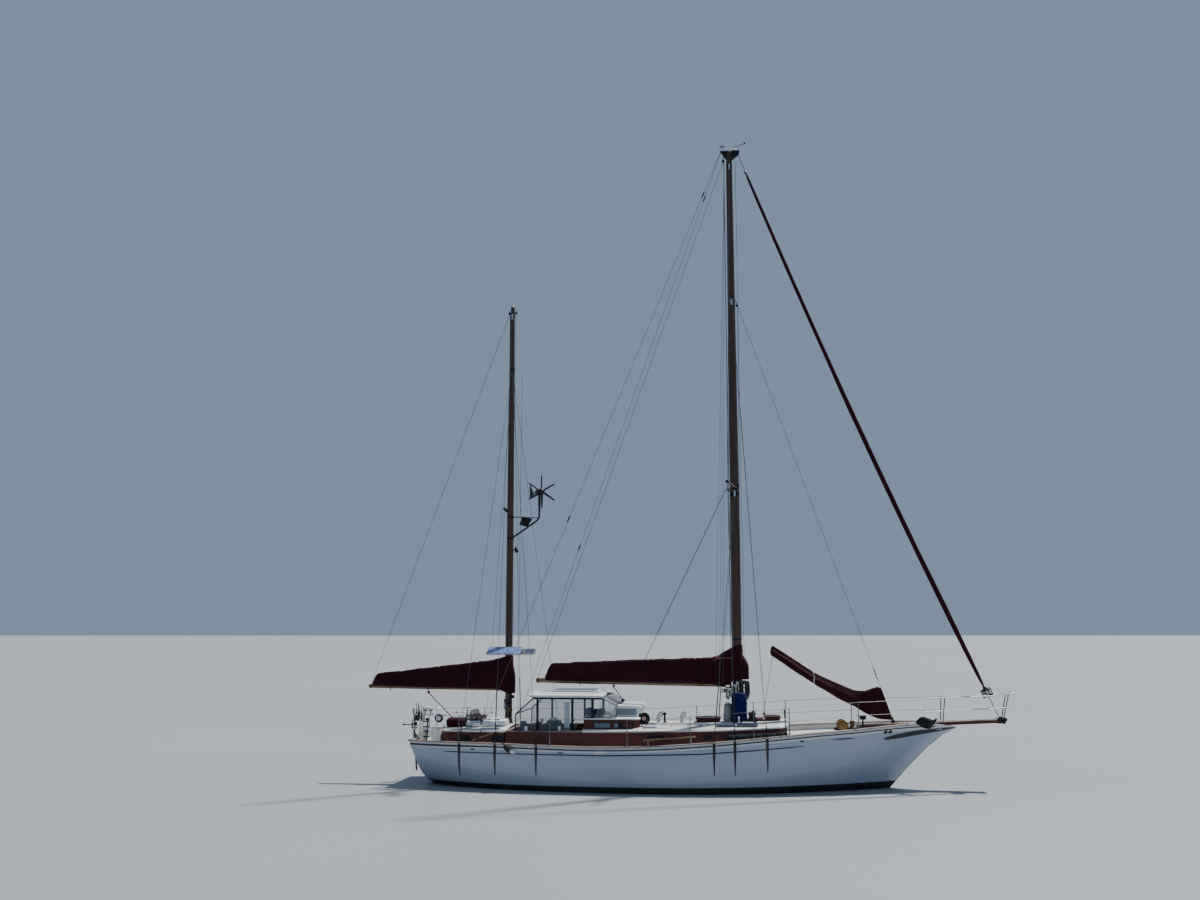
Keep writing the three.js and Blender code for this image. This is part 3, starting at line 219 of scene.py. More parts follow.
def sagging(start, end, sag, steps):
    """A slack line between two points."""
    a, b = Vector(start), Vector(end)
    return [a.lerp(b, t) - Vector((0, 0, 4 * sag * t * (1 - t)))
            for t in (k / steps for k in range(steps + 1))]


def spaced(start, end, step):
    """Evenly spaced places from start to end, about a step apart."""
    count = max(2, int(round((end - start) / step)) + 1)
    return [start + (end - start) * k / (count - 1) for k in range(count)]


def line_at(rows, x):
    """The other columns of a table at a place in its first column."""
    places = [row[0] for row in rows]
    return [float(np.interp(x, places, [row[c] for row in rows])) for c in range(1, len(rows[0]))]


# Materials

class Surface:
    """A node-built material with object coordinates ready for textures."""

    def __init__(self, name, roughness, **values):
        self.material = bpy.data.materials.new(name)
        self.material.use_nodes = True
        self.tree = self.material.node_tree
        self.shader = self.tree.nodes["Principled BSDF"]
        self.fill(self.shader, Roughness=roughness, Coat_Roughness=0.12, Sheen_Roughness=0.5, **values)
        self.coords = self.node("ShaderNodeTexCoord").outputs["Object"]

    def fill(self, node, **values):
        """Sets a node's own settings and sockets by name."""
        for key, value in values.items():
            if hasattr(node, key):
                setattr(node, key, value)
            else:
                node.inputs[key.replace("_", " ")].default_value = value

    def node(self, kind, **values):
        node = self.tree.nodes.new(kind)
        self.fill(node, **values)
        return node

    def link(self, output, target):
        self.tree.links.new(output, target)

    def stretched(self, scale):
        node = self.node("ShaderNodeMapping", Scale=scale)
        self.link(self.coords, node.inputs["Vector"])
        return node.outputs["Vector"]

    def noise(self, scale, detail=4.0, roughness=0.55, vector=None, distortion=0.0):
        node = self.node("ShaderNodeTexNoise", Scale=scale, Detail=detail, Roughness=roughness,
                         Distortion=distortion)
        self.link(vector or self.coords, node.inputs["Vector"])
        return node.outputs["Fac"]

    def wave(self, scale, direction, distortion=0.0):
        node = self.node("ShaderNodeTexWave", bands_direction=direction, Scale=scale, Distortion=distortion)
        self.link(self.coords, node.inputs["Vector"])
        return node.outputs["Fac"]

    def ramp(self, value, stops):
        node = self.node("ShaderNodeValToRGB")
        elements = node.color_ramp.elements
        while len(elements) < len(stops):
            elements.new(0.5)
        for element, (place, color) in zip(elements, stops):
            element.position = place
            element.color = (*color, 1.0)
        self.link(value, node.inputs["Fac"])
        return node.outputs["Color"]

    def span(self, value, low, high, start=0.0, end=1.0):
        node = self.node("ShaderNodeMapRange", From_Min=start, From_Max=end, To_Min=low, To_Max=high)
        self.link(value, node.inputs["Value"])
        return node.outputs["Result"]

    def feed(self, sockets, values):
        for socket, value in zip(sockets, values):
            if isinstance(value, (float, int)):
                socket.default_value = value
            elif isinstance(value, tuple):
                socket.default_value = (*value, 1.0)
            else:
                self.link(value, socket)

    def mix(self, factor, first, second):
        node = self.node("ShaderNodeMix", data_type="RGBA")
        self.feed([node.inputs[k] for k in (0, 6, 7)], (factor, first, second))
        return node.outputs[2]

    def math(self, operation, first, second):
        node = self.node("ShaderNodeMath", operation=operation)
        self.feed(node.inputs, (first, second))
        return node.outputs[0]

    def color(self, output):
        self.link(output, self.shader.inputs["Base Color"])

    def rough(self, output):
        self.link(output, self.shader.inputs["Roughness"])

    def bump(self, height, distance):
        node = self.node("ShaderNodeBump", Distance=distance, Strength=1.0)
        self.link(height, node.inputs["Height"])
        self.link(node.outputs["Normal"], self.shader.inputs["Normal"])


def shade(color, factor):
    return tuple(min(1.0, c * factor) for c in color)


def paint(name, color, roughness, coat, wear, grime=None, dimple=0.0004):
    s = Surface(name, roughness, Coat_Weight=coat)
    base = s.ramp(s.noise(1.3, 5.0), [(0.3, shade(color, 1 - wear)), (0.7, shade(color, 1 + wear * 0.3))])
    if grime:
        streaks = s.noise(2.2, 6.0, vector=s.stretched((3.0, 3.0, 0.35)))
        base = s.mix(s.span(streaks, 0.0, 0.35, 0.52, 0.78), base, grime)
    s.color(base)
    s.rough(s.span(s.noise(9.0), roughness * 0.8, roughness * 1.25))
    s.bump(s.noise(28.0, 3.0), dimple)
    return s.material


def wood(name, dark, light, along, roughness, coat, grain=1.0):
    s = Surface(name, roughness, Coat_Weight=coat)
    stretch = {"X": (0.9, 14.0, 14.0), "Z": (14.0, 14.0, 0.9)}[along]
    vector = s.stretched(tuple(v * grain for v in stretch))
    fibres = s.noise(3.0, 8.0, 0.6, vector, 0.6)
    figure = s.noise(0.9, 3.0, 0.5, vector)
    base = s.ramp(fibres, [(0.25, dark), (0.75, light)])
    base = s.mix(s.span(figure, 0.0, 0.6, 0.35, 0.75), base, shade(dark, 0.75))
    base = s.mix(s.span(s.noise(1.1, 3.0), 0.0, 0.4, 0.4, 0.8), base, shade(light, 1.15))
    s.color(base)
    s.rough(s.span(s.noise(6.0), roughness * 0.75, roughness * 1.35))
    s.bump(fibres, 0.0006)
    return s.material


# Width of a thread of canvas, pitch of a rope's strands, and the scale at which half a wave is a metre
WEAVE = 0.004
ROPE_PITCH = 0.03
HALF_WAVE_SCALE = 0.16


def canvas(name, color, fade=1.35):
    s = Surface(name, 0.9, Sheen_Weight=0.02, Specular_IOR_Level=0.2)
    base = s.ramp(s.noise(1.6, 6.0), [(0.25, shade(color, 0.72)), (0.55, color), (0.85, shade(color, fade))])
    s.color(s.mix(s.span(s.noise(7.0, 5.0), 0.0, 0.14, 0.55, 0.85), base, shade(color, 1.8)))
    warp, weft = (s.wave(HALF_WAVE_SCALE / WEAVE, direction) for direction in "XZ")
    creases = s.noise(5.0, 5.0, 0.6, s.stretched((1.0, 1.0, 2.2)))
    s.bump(s.math("ADD", s.math("MULTIPLY", s.math("MULTIPLY", warp, weft), 0.12), creases), 0.004)
    return s.material


def steel(name, color, roughness):
    s = Surface(name, roughness, Metallic=1.0)
    s.color(s.ramp(s.noise(12.0, 4.0), [(0.3, shade(color, 0.85)), (0.7, color)]))
    s.rough(s.span(s.noise(40.0, 3.0, vector=s.stretched((1.0, 1.0, 6.0))), roughness * 0.7, roughness * 1.6))
    s.bump(s.noise(90.0, 2.0), 0.0001)
    return s.material


def dark_metal(name, color, roughness=0.5, metallic=0.4):
    s = Surface(name, roughness, Metallic=metallic)
    s.color(s.ramp(s.noise(8.0, 5.0), [(0.3, shade(color, 0.8)), (0.62, color), (0.9, shade(color, 1.9))]))
    s.rough(s.span(s.noise(22.0), roughness * 0.8, min(1.0, roughness * 1.3)))
    s.bump(s.noise(60.0, 4.0), 0.0004)
    return s.material


def rope(name, color):
    s = Surface(name, 0.85)
    twist = s.wave(HALF_WAVE_SCALE / ROPE_PITCH, "DIAGONAL", 1.5)
    # The grooves between the strands are drawn darker, following the bump's wave: painted shade.
    s.color(s.ramp(twist, [(0.1, shade(color, 0.55)), (0.7, color)]))
    s.bump(twist, 0.0015)
    return s.material


def solar(name, first, second):
    s = Surface(name, 0.12, Coat_Weight=0.6)
    cells = s.node("ShaderNodeTexBrick", offset=0.0, Scale=1.0, Color1=(*first, 1), Color2=(*second, 1),
                   Mortar=(0.25, 0.27, 0.3, 1), Mortar_Size=0.004, Brick_Width=0.125, Row_Height=0.125)
    s.link(s.coords, cells.inputs["Vector"])
    s.color(cells.outputs["Color"])
    s.bump(s.noise(30.0, 2.0), 0.0002)
    return s.material


def clear_sheet(name, color, alpha):
    s = Surface(name, 0.12, Coat_Weight=0.3, Alpha=alpha)
    s.color(s.ramp(s.noise(2.0, 4.0), [(0.3, shade(color, 0.85)), (0.8, color)]))
    s.bump(s.noise(3.0, 3.0, vector=s.stretched((1.0, 1.0, 0.5))), 0.006)
    s.material.surface_render_method = "BLENDED"
    return s.material


def dark_glass(name, color):
    s = Surface(name, 0.25, Specular_IOR_Level=0.2)
    s.color(s.ramp(s.noise(1.5, 2.0), [(0.3, color), (0.8, shade(color, 1.7))]))
    s.bump(s.noise(4.0, 2.0), 0.0006)
    return s.material


def nonslip(name, color):
    s = Surface(name, 0.85)
    base = s.ramp(s.noise(1.4, 5.0), [(0.3, shade(color, 0.82)), (0.75, shade(color, 1.05))])
    grit = s.noise(300.0, 2.0, 0.7)
    s.color(s.mix(s.span(grit, 0.0, 0.25, 0.5, 0.8), base, shade(color, 0.6)))
    s.bump(grit, 0.0012)
    return s.material


MAT = {
    # The topsides are white paint, drawn darker and bluer for the shade on the hull's side: painted shade.
    # The bulwark band and white mouldings keep the unshaded white.
    "topsides": paint("shade_darkened_topsides_paint", (0.37, 0.445, 0.545), 0.22, 0.5, 0.035, (0.31, 0.355, 0.39)),
    "bulwark": paint("bulwark_paint", (0.7, 0.72, 0.74), 0.3, 0.4, 0.06, (0.5, 0.5, 0.47)),
    "bottom": paint("bottom_paint", (0.016, 0.018, 0.022), 0.75, 0.0, 0.3, (0.05, 0.06, 0.045), 0.0015),
    "bottom_lead": paint("ballast_paint", (0.02, 0.02, 0.024), 0.8, 0.0, 0.35, (0.055, 0.06, 0.05),
                         0.003),
    "stripe": paint("stripe_paint", (0.006, 0.01, 0.032), 0.4, 0.1, 0.15),
    "white": paint("white_moulding", (0.8, 0.8, 0.78), 0.35, 0.3, 0.06, (0.56, 0.54, 0.48)),
    "nonslip": nonslip("nonslip_deck", (0.58, 0.585, 0.57)),
    "pale_grey": paint("pale_grey_moulding", (0.42, 0.47, 0.54), 0.4, 0.2, 0.08, (0.33, 0.35, 0.36)),
    "cream": paint("cream_paint", (0.66, 0.62, 0.5), 0.45, 0.2, 0.1),
    "mahogany": wood("mahogany", (0.03, 0.0025, 0.0015), (0.135, 0.013, 0.005), "X", 0.5, 0.05),
    "mahogany_upright": wood("mahogany_upright", (0.03, 0.0025, 0.0015), (0.135, 0.013, 0.005), "Z",
                             0.5, 0.05),
    "teak": wood("teak_rail", (0.15, 0.105, 0.085), (0.36, 0.28, 0.235), "X", 0.5, 0.2),
    "sprit": wood("sprit_wood", (0.06, 0.016, 0.009), (0.15, 0.05, 0.028), "X", 0.4, 0.25),
    "spar": wood("varnished_spruce", (0.024, 0.009, 0.004), (0.075, 0.032, 0.014), "Z", 0.35, 0.2, 0.5),
    "boom": wood("varnished_boom", (0.085, 0.042, 0.02), (0.24, 0.14, 0.065), "X", 0.28, 0.5, 0.5),
    # Stainless steel in two copies: pale on rails and fittings for their sunlit highlights (painted
    # highlight), and dark on posts and legs for their shade (painted shade).
    "steel": steel("stainless_tube", (0.76, 0.77, 0.8), 0.34),
    "shaded_post_steel": steel("shaded_stanchion_steel", (0.17, 0.175, 0.19), 0.35),
    "wire": steel("rigging_wire", (0.16, 0.165, 0.18), 0.4),
    "bronze": steel("bronze_fittings", (0.17, 0.11, 0.055), 0.45),
    "dark": dark_metal("dark_fittings", (0.009, 0.009, 0.012)),
    "strap": paint("strap_paint", (0.006, 0.008, 0.014), 0.45, 0.1, 0.2, (0.03, 0.02, 0.018)),
    "worn_bronze": steel("worn_bronze", (0.3, 0.17, 0.075), 0.35),
    "grey_metal": dark_metal("grey_fittings", (0.22, 0.23, 0.25), 0.45, 0.7),
    "maroon": canvas("maroon_canvas", (0.034, 0.003, 0.009)),
    "navy": canvas("navy_canvas", (0.012, 0.018, 0.05)),
    "blue": canvas("blue_canvas", (0.004, 0.009, 0.085)),
    "tan": canvas("tan_canvas", (0.46, 0.455, 0.44)),
    "grey_canvas": canvas("grey_canvas", (0.008, 0.011, 0.021), 1.2),
    "cushion": canvas("cushion_cloth", (0.74, 0.79, 0.86), 1.05),
    "cream_cloth": canvas("cream_cloth", (0.84, 0.78, 0.7), 1.05),
    "pink_webbing": canvas("webbing", (0.33, 0.095, 0.125)),
    "rope_light": rope("light_rope", (0.74, 0.73, 0.69)),
    "rope_grey": rope("grey_rope", (0.22, 0.22, 0.235)),
    "rope_dark": rope("dark_rope", (0.035, 0.035, 0.045)),
    "rope_blue": rope("blue_rope", (0.014, 0.022, 0.09)),
    "solar": solar("solar_cells", (0.012, 0.018, 0.05), (0.016, 0.024, 0.07)),
    # Pale blue cells: a painted reflection of the sky on the large panel's glass.
    "sky_reflection_solar": solar("painted_sky_reflection_cells", (0.1, 0.17, 0.42), (0.16, 0.26, 0.52)),
    "vinyl": clear_sheet("clear_vinyl", (0.28, 0.38, 0.47), 0.15),
    "screen": clear_sheet("hazy_screen", (0.62, 0.68, 0.74), 0.5),
    "glass": dark_glass("window_glass", (0.008, 0.011, 0.016)),
    "pale_glass": dark_glass("hazy_window", (0.14, 0.175, 0.22)),
    "rubber": dark_metal("black_rubber", (0.02, 0.02, 0.022), 0.85, 0.0),
    "buff_cloth": canvas("buff_cloth", (0.4, 0.26, 0.21), 1.1),
    "slate": paint("slate_moulding", (0.065, 0.08, 0.15), 0.4, 0.2, 0.1),
}


# Hull form. Columns: x, sheer y, z, side y, z, bilge y, z, keel root y, z, keel bottom y, z
STATIONS = np.array([
    [-6900, 1090, 1096, 1075, 520, 560, 200, 22, 150, 20, 144],
    [-6360, 1255, 1092, 1270, 350, 680, 30, 26, 0, 24, -6],
    [-5750, 1425, 1090, 1470, 200, 880, -130, 35, -180, 32, -190],
    [-5300, 1510, 1090, 1570, 110, 990, -240, 45, -330, 40, -345],
    [-4600, 1650, 1088, 1730, -20, 1120, -450, 80, -600, 60, -1880],
    [-3500, 1810, 1070, 1920, -140, 1330, -680, 120, -820, 100, -1900],
    [-2000, 1925, 1052, 2080, -240, 1490, -860, 150, -960, 120, -1900],
    [-500, 1960, 1094, 2140, -270, 1560, -930, 160, -1000, 125, -1900],
    [1000, 1865, 1196, 2010, -230, 1390, -890, 150, -980, 115, -1820],
    [2200, 1665, 1298, 1700, -130, 1040, -790, 120, -900, 90, -1560],
    [3300, 1365, 1390, 1260, 60, 660, -640, 80, -760, 70, -1180],
    [4200, 1075, 1450, 830, 310, 350, -410, 50, -560, 45, -700],
    [4800, 855, 1500, 545, 560, 180, -120, 36, -260, 32, -320],
    [5090, 740, 1520, 405, 720, 120, 160, 30, 20, 26, 0],
    [5500, 575, 1545, 280, 900, 85, 560, 26, 475, 24, 455],
    [6000, 370, 1562, 180, 1160, 66, 1015, 24, 985, 22, 965],
    [6420, 215, 1545, 115, 1400, 50, 1335, 22, 1310, 20, 1298],
    [6740, 90, 1480, 66, 1470, 44, 1462, 20, 1455, 18, 1450],
]) / 1000
BULWARK_HEIGHT = 0.13
BULWARK_THICKNESS = 0.05
BULWARK_BAND = 0.118
DECK_CAMBER = 0.06
HALF_BEAM = 1.9
LEAST_HALF_DECK = 0.012
HULL_STEPS = 22


def along(table, column, x, curved=True):
    """A column of a table at a place between its rows."""
    row = int(np.clip(np.searchsorted(table[:, 0], x, side="right") - 1, 0, len(table) - 2))
    x1, x2 = table[row, 0], table[row + 1, 0]
    y1, y2 = table[row, column], table[row + 1, column]
    t = (x - x1) / (x2 - x1)
    if not curved:
        return y1 + (y2 - y1) * t
    before, after = table[max(row - 1, 0)], table[min(row + 2, len(table) - 1)]
    m1 = (y2 - before[column]) / (x2 - before[0]) * (x2 - x1)
    m2 = (after[column] - y1) / (after[0] - x1) * (x2 - x1)
    t2, t3 = t * t, t * t * t
    return (2 * t3 - 3 * t2 + 1) * y1 + (t3 - 2 * t2 + t) * m1 + (3 * t2 - 2 * t3) * y2 + (t3 - t2) * m2


def sheer_y(x):
    return along(STATIONS, 1, x)


def sheer_z(x):
    return along(STATIONS, 2, x)


def deck_edge(x):
    return max(sheer_y(x) - BULWARK_THICKNESS, LEAST_HALF_DECK)


def deck_z(x, y=0.0):
    edge = deck_edge(x)
    camber = DECK_CAMBER * edge / HALF_BEAM
    return sheer_z(x) - BULWARK_HEIGHT + camber * (1 - (min(abs(y), edge) / edge) ** 2)


def section(x, t):
    """Point of the skin at a share t of the way from the sheer to the keel's root."""
    p = [along(STATIONS, c, x) for c in range(1, 9)]
    u = 1 - t
    weights = (u * u * u, 3 * u * u * t, 3 * u * t * t, t * t * t)
    return tuple(sum(w * p[2 * k + axis] for k, w in enumerate(weights)) for axis in (0, 1))


def share_at(x, z):
    low, high = 0.0, 1.0
    for _ in range(28):
        middle = (low + high) / 2
        if section(x, middle)[1] > z:
            low = middle
        else:
            high = middle
    return low


def skin_y(x, z):
    return section(x, share_at(x, z))[0]


TRANSOM_FOOT = Vector((-6.36, 0, 0))
TRANSOM_SLOPE = (-6.73 + 6.36) / 1.09


def transom_x(z):
    return TRANSOM_FOOT.x + TRANSOM_SLOPE * z


def cut_at_transom(mesh, proud=0.0):
    work = bmesh.new()
    work.from_mesh(mesh)
    normal = Vector((-1, 0, TRANSOM_SLOPE)).normalized()
    cut = bmesh.ops.bisect_plane(work, geom=work.verts[:] + work.edges[:] + work.faces[:], dist=1e-6,
            plane_co=TRANSOM_FOOT - Vector((proud, 0, 0)), plane_no=normal, clear_outer=True)
    edges = [e for e in cut["geom_cut"] if isinstance(e, bmesh.types.BMEdge)]
    bmesh.ops.contextual_create(work, geom=edges)
    bmesh.ops.recalc_face_normals(work, faces=work.faces)
    work.to_mesh(mesh)
    work.free()


# Forward of this the band of the bulwark closes up, and forward of the next the bow is solid to its top
BAND_END = 6.3
SOLID_BOW = 6.37


def hull_ring(x):
    band = share_at(x, sheer_z(x) - BULWARK_BAND) if x < BAND_END else 0.25
    shares = [0.0, band * 0.5, band] + [band + (1 - band) * k / HULL_STEPS for k in range(1, HULL_STEPS + 1)]
    half = [section(x, t) for t in shares]
    root = half[-1]
    keel = (along(STATIONS, 9, x, False), along(STATIONS, 10, x, False))
    for k in range(1, 5):
        half.append((root[0] + (keel[0] - root[0]) * k / 4, root[1] + (keel[1] - root[1]) * k / 4))
    edge = deck_edge(x)
    top = sheer_z(x)
    solid = x > SOLID_BOW
    inner = [(edge, top)]
    for share in (1.0, 0.8, 0.55, 0.28):
        inner.append((edge * share, top if solid else deck_z(x, edge * share)))
    ring = [(x, -y, z) for y, z in half]
    ring += [(x, y, z) for y, z in [*reversed(half), *inner]]
    ring.append((x, 0.0, top if solid else deck_z(x)))
    ring += [(x, -y, z) for y, z in reversed(inner)]
    return ring


def subtract(obj, shapes):
    """Cuts named shapes out of an object, one after another."""
    for name, shape in shapes.items():
        tool = new_object(name, shape.mesh(name))
        modifier = obj.modifiers.new("cut", "BOOLEAN")
        modifier.operation = "DIFFERENCE"
        modifier.solver = "EXACT"
        modifier.object = tool
        cut = evaluated_mesh(obj)
        obj.modifiers.remove(modifier)
        obj.data = cut
        bpy.data.objects.remove(tool)


WELL = {"aft": -4.2, "fore": -2.34, "half": 0.43, "sole": 0.43}
STOCK_HEEL = Vector((-4.7, 0, -1.83))
STOCK_TOP = Vector((-5.43, 0, -0.06))
# Corners of the propeller's aperture, with the angle at which each corner's curve starts
APERTURE = [(-5.3, -0.77, 90), (-5.3, -1.13, 180), (-4.66, -1.13, 270), (-4.66, -0.77, 0)]
APERTURE_CORNER = 0.1
PAINT_LINE = Vector((0, 0, 0.155))
PAINT_LINE_TILT = Vector((-0.0045, 0, 1)).normalized()
HULL_LOOKS = ["topsides", "bulwark", "bottom", "nonslip", "white"]


def hull_look(centre, normal):
    """Which paint a face of the hull has."""
    x, y, z = centre
    near = min(x, 6.7)
    top = sheer_z(near)
    if WELL["aft"] - 0.01 < x < WELL["fore"] + 0.01 and abs(y) < WELL["half"] + 0.01 and z > 0.4:
        return "white"
    if (centre - PAINT_LINE).dot(PAINT_LINE_TILT) < 0:
        return "bottom"
    if normal.z > 0.8 and 0.8 < z < top - 0.05:
        return "nonslip"
    if z > top - BULWARK_BAND + 0.003:
        return "bulwark" if abs(y) > sheer_y(near) - 0.03 else "white"
    return "topsides"


def build_hull():
    places = spaced(-6.9, 6.36, 0.11) + [SOLID_BOW, SOLID_BOW + 0.001, 6.42, 6.5, 6.58, 6.66, 6.74]
    shell = Shape().rings([hull_ring(x) for x in places]).mesh("hull_shell")
    cut_at_transom(shell)
    obj = new_object("hull_shell", shell)
    well = Shape().box((WELL["aft"], -WELL["half"], WELL["sole"]), (WELL["fore"], WELL["half"], 2.0))
    rounded = [(cx + APERTURE_CORNER * cos(a), cz + APERTURE_CORNER * sin(a)) for cx, cz, start in APERTURE
               for a in (radians(start + 22.5 * k) for k in range(5))]
    stock = Shape().tube([STOCK_HEEL.lerp(STOCK_TOP, t) for t in (-0.03, 1.05)], 0.052, 24)
    subtract(obj, {"well_cut": well, "aperture_cut": Shape().prism(rounded, -0.3, 0.3), "stock_cut": stock})
    mesh = obj.data
    work = bmesh.new()
    work.from_mesh(mesh)
    bmesh.ops.bisect_plane(work, geom=work.verts[:] + work.edges[:] + work.faces[:], dist=1e-6,
                           plane_co=PAINT_LINE, plane_no=PAINT_LINE_TILT)
    for face in work.faces:
        face.material_index = HULL_LOOKS.index(hull_look(face.calc_center_median(), face.normal))
    work.to_mesh(mesh)
    work.free()
    for look in HULL_LOOKS:
        mesh.materials.append(MAT[look])
    smooth(mesh)
    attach(obj, "hull")
    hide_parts("hull")
    near, far = transom_x(1.08) + 0.002, transom_x(1.08) + 0.06
    Shape().prism([(near, 0.93), (far, 0.93), (far, 1.088), (near, 1.088)], -1.12, 1.12).piece(
        "transom_bulwark", "white", slot="topsides")


build_hull()


def dress(look, *names):
    for name in names:
        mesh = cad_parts[name].data
        mesh.materials.clear()
        mesh.materials.append(MAT[look])


def thicken(obj, thickness):
    modifier = obj.modifiers.new("thickness", "SOLIDIFY")
    modifier.thickness = thickness
    modifier.offset = 0.0
    mesh = evaluated_mesh(obj)
    obj.modifiers.remove(modifier)
    obj.data = mesh
    smooth(mesh)


def cloth(name, shape, look, body="hull", replaced=(), thickness=0.003):
    """A sheet of cloth: an open surface given a thickness."""
    obj = shape.piece(name, look, body, replaced)
    thicken(obj, thickness)


# Trim along the hull

STRIP_DEPTH = 0.015


def skin_strip(shape, rows, step=0.1, proud=0.003):
    """A strip on both sides of the hull. Columns of the rows: x, height, half width."""
    for side in (1, -1):
        rings = []
        for x in spaced(rows[0][0], rows[-1][0], step):
            z, half = line_at(rows, x)
            upper, lower = skin_y(x, z + half), skin_y(x, z - half)
            rings.append([(x, side * (upper + proud), z + half), (x, side * (lower + proud), z - half),
                          (x, side * (lower - STRIP_DEPTH), z - half),
                          (x, side * (upper - STRIP_DEPTH), z + half)])
        shape.rings(rings)
    return shape


# The rubbing strake is a real moulding under the cap rail. Its dark paint, wider aft, also stands for the
# shadow under the rail: painted shadow.
STRAKE = {"drop": 0.048, "aft_half": 0.022, "fore_half": 0.011, "proud": 0.014}
COVE = [(-5.78, 0.885, 0.008), (-5.4, 0.876, 0.013), (-1.84, 0.876, 0.014), (0.53, 0.936, 0.014),
        (1.6, 1.005, 0.014), (2.75, 1.09, 0.012), (2.98, 1.108, 0.005)]
BOW_DASH = [(3.66, 1.245, 0.004), (3.8, 1.252, 0.013), (4.05, 1.262, 0.015), (4.2, 1.268, 0.004)]
TRAILBOARD = [(4.93, 1.222, 0.012), (5.0, 1.236, 0.032), (5.2, 1.272, 0.046), (5.5, 1.318, 0.052),
              (5.8, 1.362, 0.05), (6.28, 1.418, 0.042), (6.55, 1.444, 0.024), (6.7, 1.46, 0.012)]
CHAINPLATES = [(-5.38, 0.3), (-4.45, 0.36), (-3.41, 0.39), (0.86, 0.44), (1.35, 0.45), (2.11, 0.52)]


def build_hull_trim():
    rows = []
    for x in spaced(-6.9, 6.2, 0.15):
        half = float(np.interp(x, [-6.9, -5.6, -4.5, 6.2], [STRAKE["aft_half"], STRAKE["aft_half"], 0.015,
                STRAKE["fore_half"]]))
        rows.append((x, sheer_z(x) - STRAKE["drop"] - half, half))
    shape = skin_strip(Shape(), rows, 0.1, STRAKE["proud"])
    mesh = shape.mesh("strake_with_painted_shadow", 0.003, 1)
    cut_at_transom(mesh, STRAKE["proud"])
    finish_mesh("strake_with_painted_shadow", mesh, ["stripe"], replaced=("strake_and_chainplates",))
    # The strake carried across the transom, dark for the same painted shadow.
    low, high = 1.096 - STRAKE["drop"] - 2 * STRAKE["aft_half"], 1.096 - STRAKE["drop"]
    Shape().prism([(transom_x(low) - 0.014, low), (transom_x(high) - 0.014, high),
                   (transom_x(high) + 0.03, high), (transom_x(low) + 0.03, low)], -1.15,
                  1.15).piece("transom_strake_with_painted_shadow", "stripe", bevel=0.003)
    skin_strip(Shape(), COVE).piece("cove_stripe", "stripe")
    skin_strip(Shape(), BOW_DASH).piece("bow_dash", "stripe")
    skin_strip(Shape(), TRAILBOARD, 0.06, 0.022).piece("trailboards", "stripe", bevel=0.004)

    straps = Shape()
    for x, foot in CHAINPLATES:
        top = sheer_z(x) - 0.006
        heights = spaced(foot, top, 0.06)
        for side in (1, -1):
            rings = []
            for z in heights:
                y = skin_y(x, z)
                wide = 0.3 + 0.7 * min(1.0, (z - foot) / (0.8 * (top - foot)))
                rings.append([(x + a * wide, side * (y + b), z)
                              for a, b in ((-0.033, -0.02), (0.033, -0.02), (0.033, 0.007), (0.026, 0.012),
                        (-0.026, 0.012), (-0.033, 0.007))])
            straps.rings(rings)
            for z in np.arange(foot + 0.06, top - 0.2, 0.14):
                y = skin_y(x, z)
                straps.lathe((x, side * (y + 0.009), z), (0, side, 0.12),
                             [(0, 0.014), (0.005, 0.013), (0.008, 0.007)], 10)
    straps.piece("chainplate_straps", "strap")

    fairleads = Shape()
    rims = Shape()
    for x, z in ((4.948, 1.403), (5.066, 1.406)):
        for side in (1, -1):
            y = skin_y(x, z)
            rims.lathe((x, side * (y - 0.004), z), (0, side, 0.35),
                       [(0, 0.052), (0.014, 0.052), (0.02, 0.045), (0.02, 0.03)], 18)
            # Dark discs inside the rims stand for the holes through the bulwark: painted shade.
            fairleads.lathe((x, side * (y + 0.014), z), (0, side, 0.35), [(0, 0.036), (0.004, 0.034)], 18)
    rims.piece("fairlead_rims", "bronze")
    fairleads.piece("fairlead_hole_shade", "rubber")

    # Dark slots at the foot of the bulwark stand for the scupper openings: painted shade.
    scupper_shade_slots = Shape()
    for x in (-5.0, -2.8, 2.9):
        z = sheer_z(x) - 0.135
        for side in (1, -1):
            y = skin_y(x, z)
            scupper_shade_slots.box((x - 0.07, side * y - 0.006, z - 0.014), (x + 0.07, side * y + 0.006, z + 0.014))
    scupper_shade_slots.piece("scupper_shade_slots", "rubber")
    vent = Shape()
    for x in (-1.93, -1.86, -1.79):
        z = 0.947
        y = skin_y(x, z)
        vent.lathe((x, -(y - 0.01), z), (0, -1, 0), [(0, 0.042), (0.02, 0.042), (0.032, 0.03),
                (0.034, 0.012)], 16)
    vent.piece("topside_vents", "white")


def build_cap_rail():
    places = spaced(-6.85, 6.22, 0.12)
    profile = [(-0.055, 0.0), (0.055, 0.0), (0.055, 0.022), (0.043, 0.032), (-0.043, 0.032), (-0.055, 0.022)]
    shape = Shape()
    for side in (1, -1):
        rings = []
        for x in places:
            middle = max(sheer_y(x) - 0.025, 0.04) * side
            rings.append([(x, middle + a, sheer_z(x) + b) for a, b in profile])
        shape.rings(rings)
    mesh = shape.mesh("cap_rail_bent")
    cut_at_transom(mesh, 0.03)
    finish_mesh("cap_rail_bent", mesh, ["teak"], replaced=("cap_rail",))
    top = 1.092 + 0.033
    Shape().prism([(transom_x(1.09) - 0.036, 1.092), (transom_x(top) - 0.036, top), (-6.64, top),
                   (-6.64, 1.092)], -1.19, 1.19).piece("taffrail", "teak", bevel=0.008)


build_hull_trim()
build_cap_rail()


# Cabin houses. Columns: x, half width, height of the side's top edge

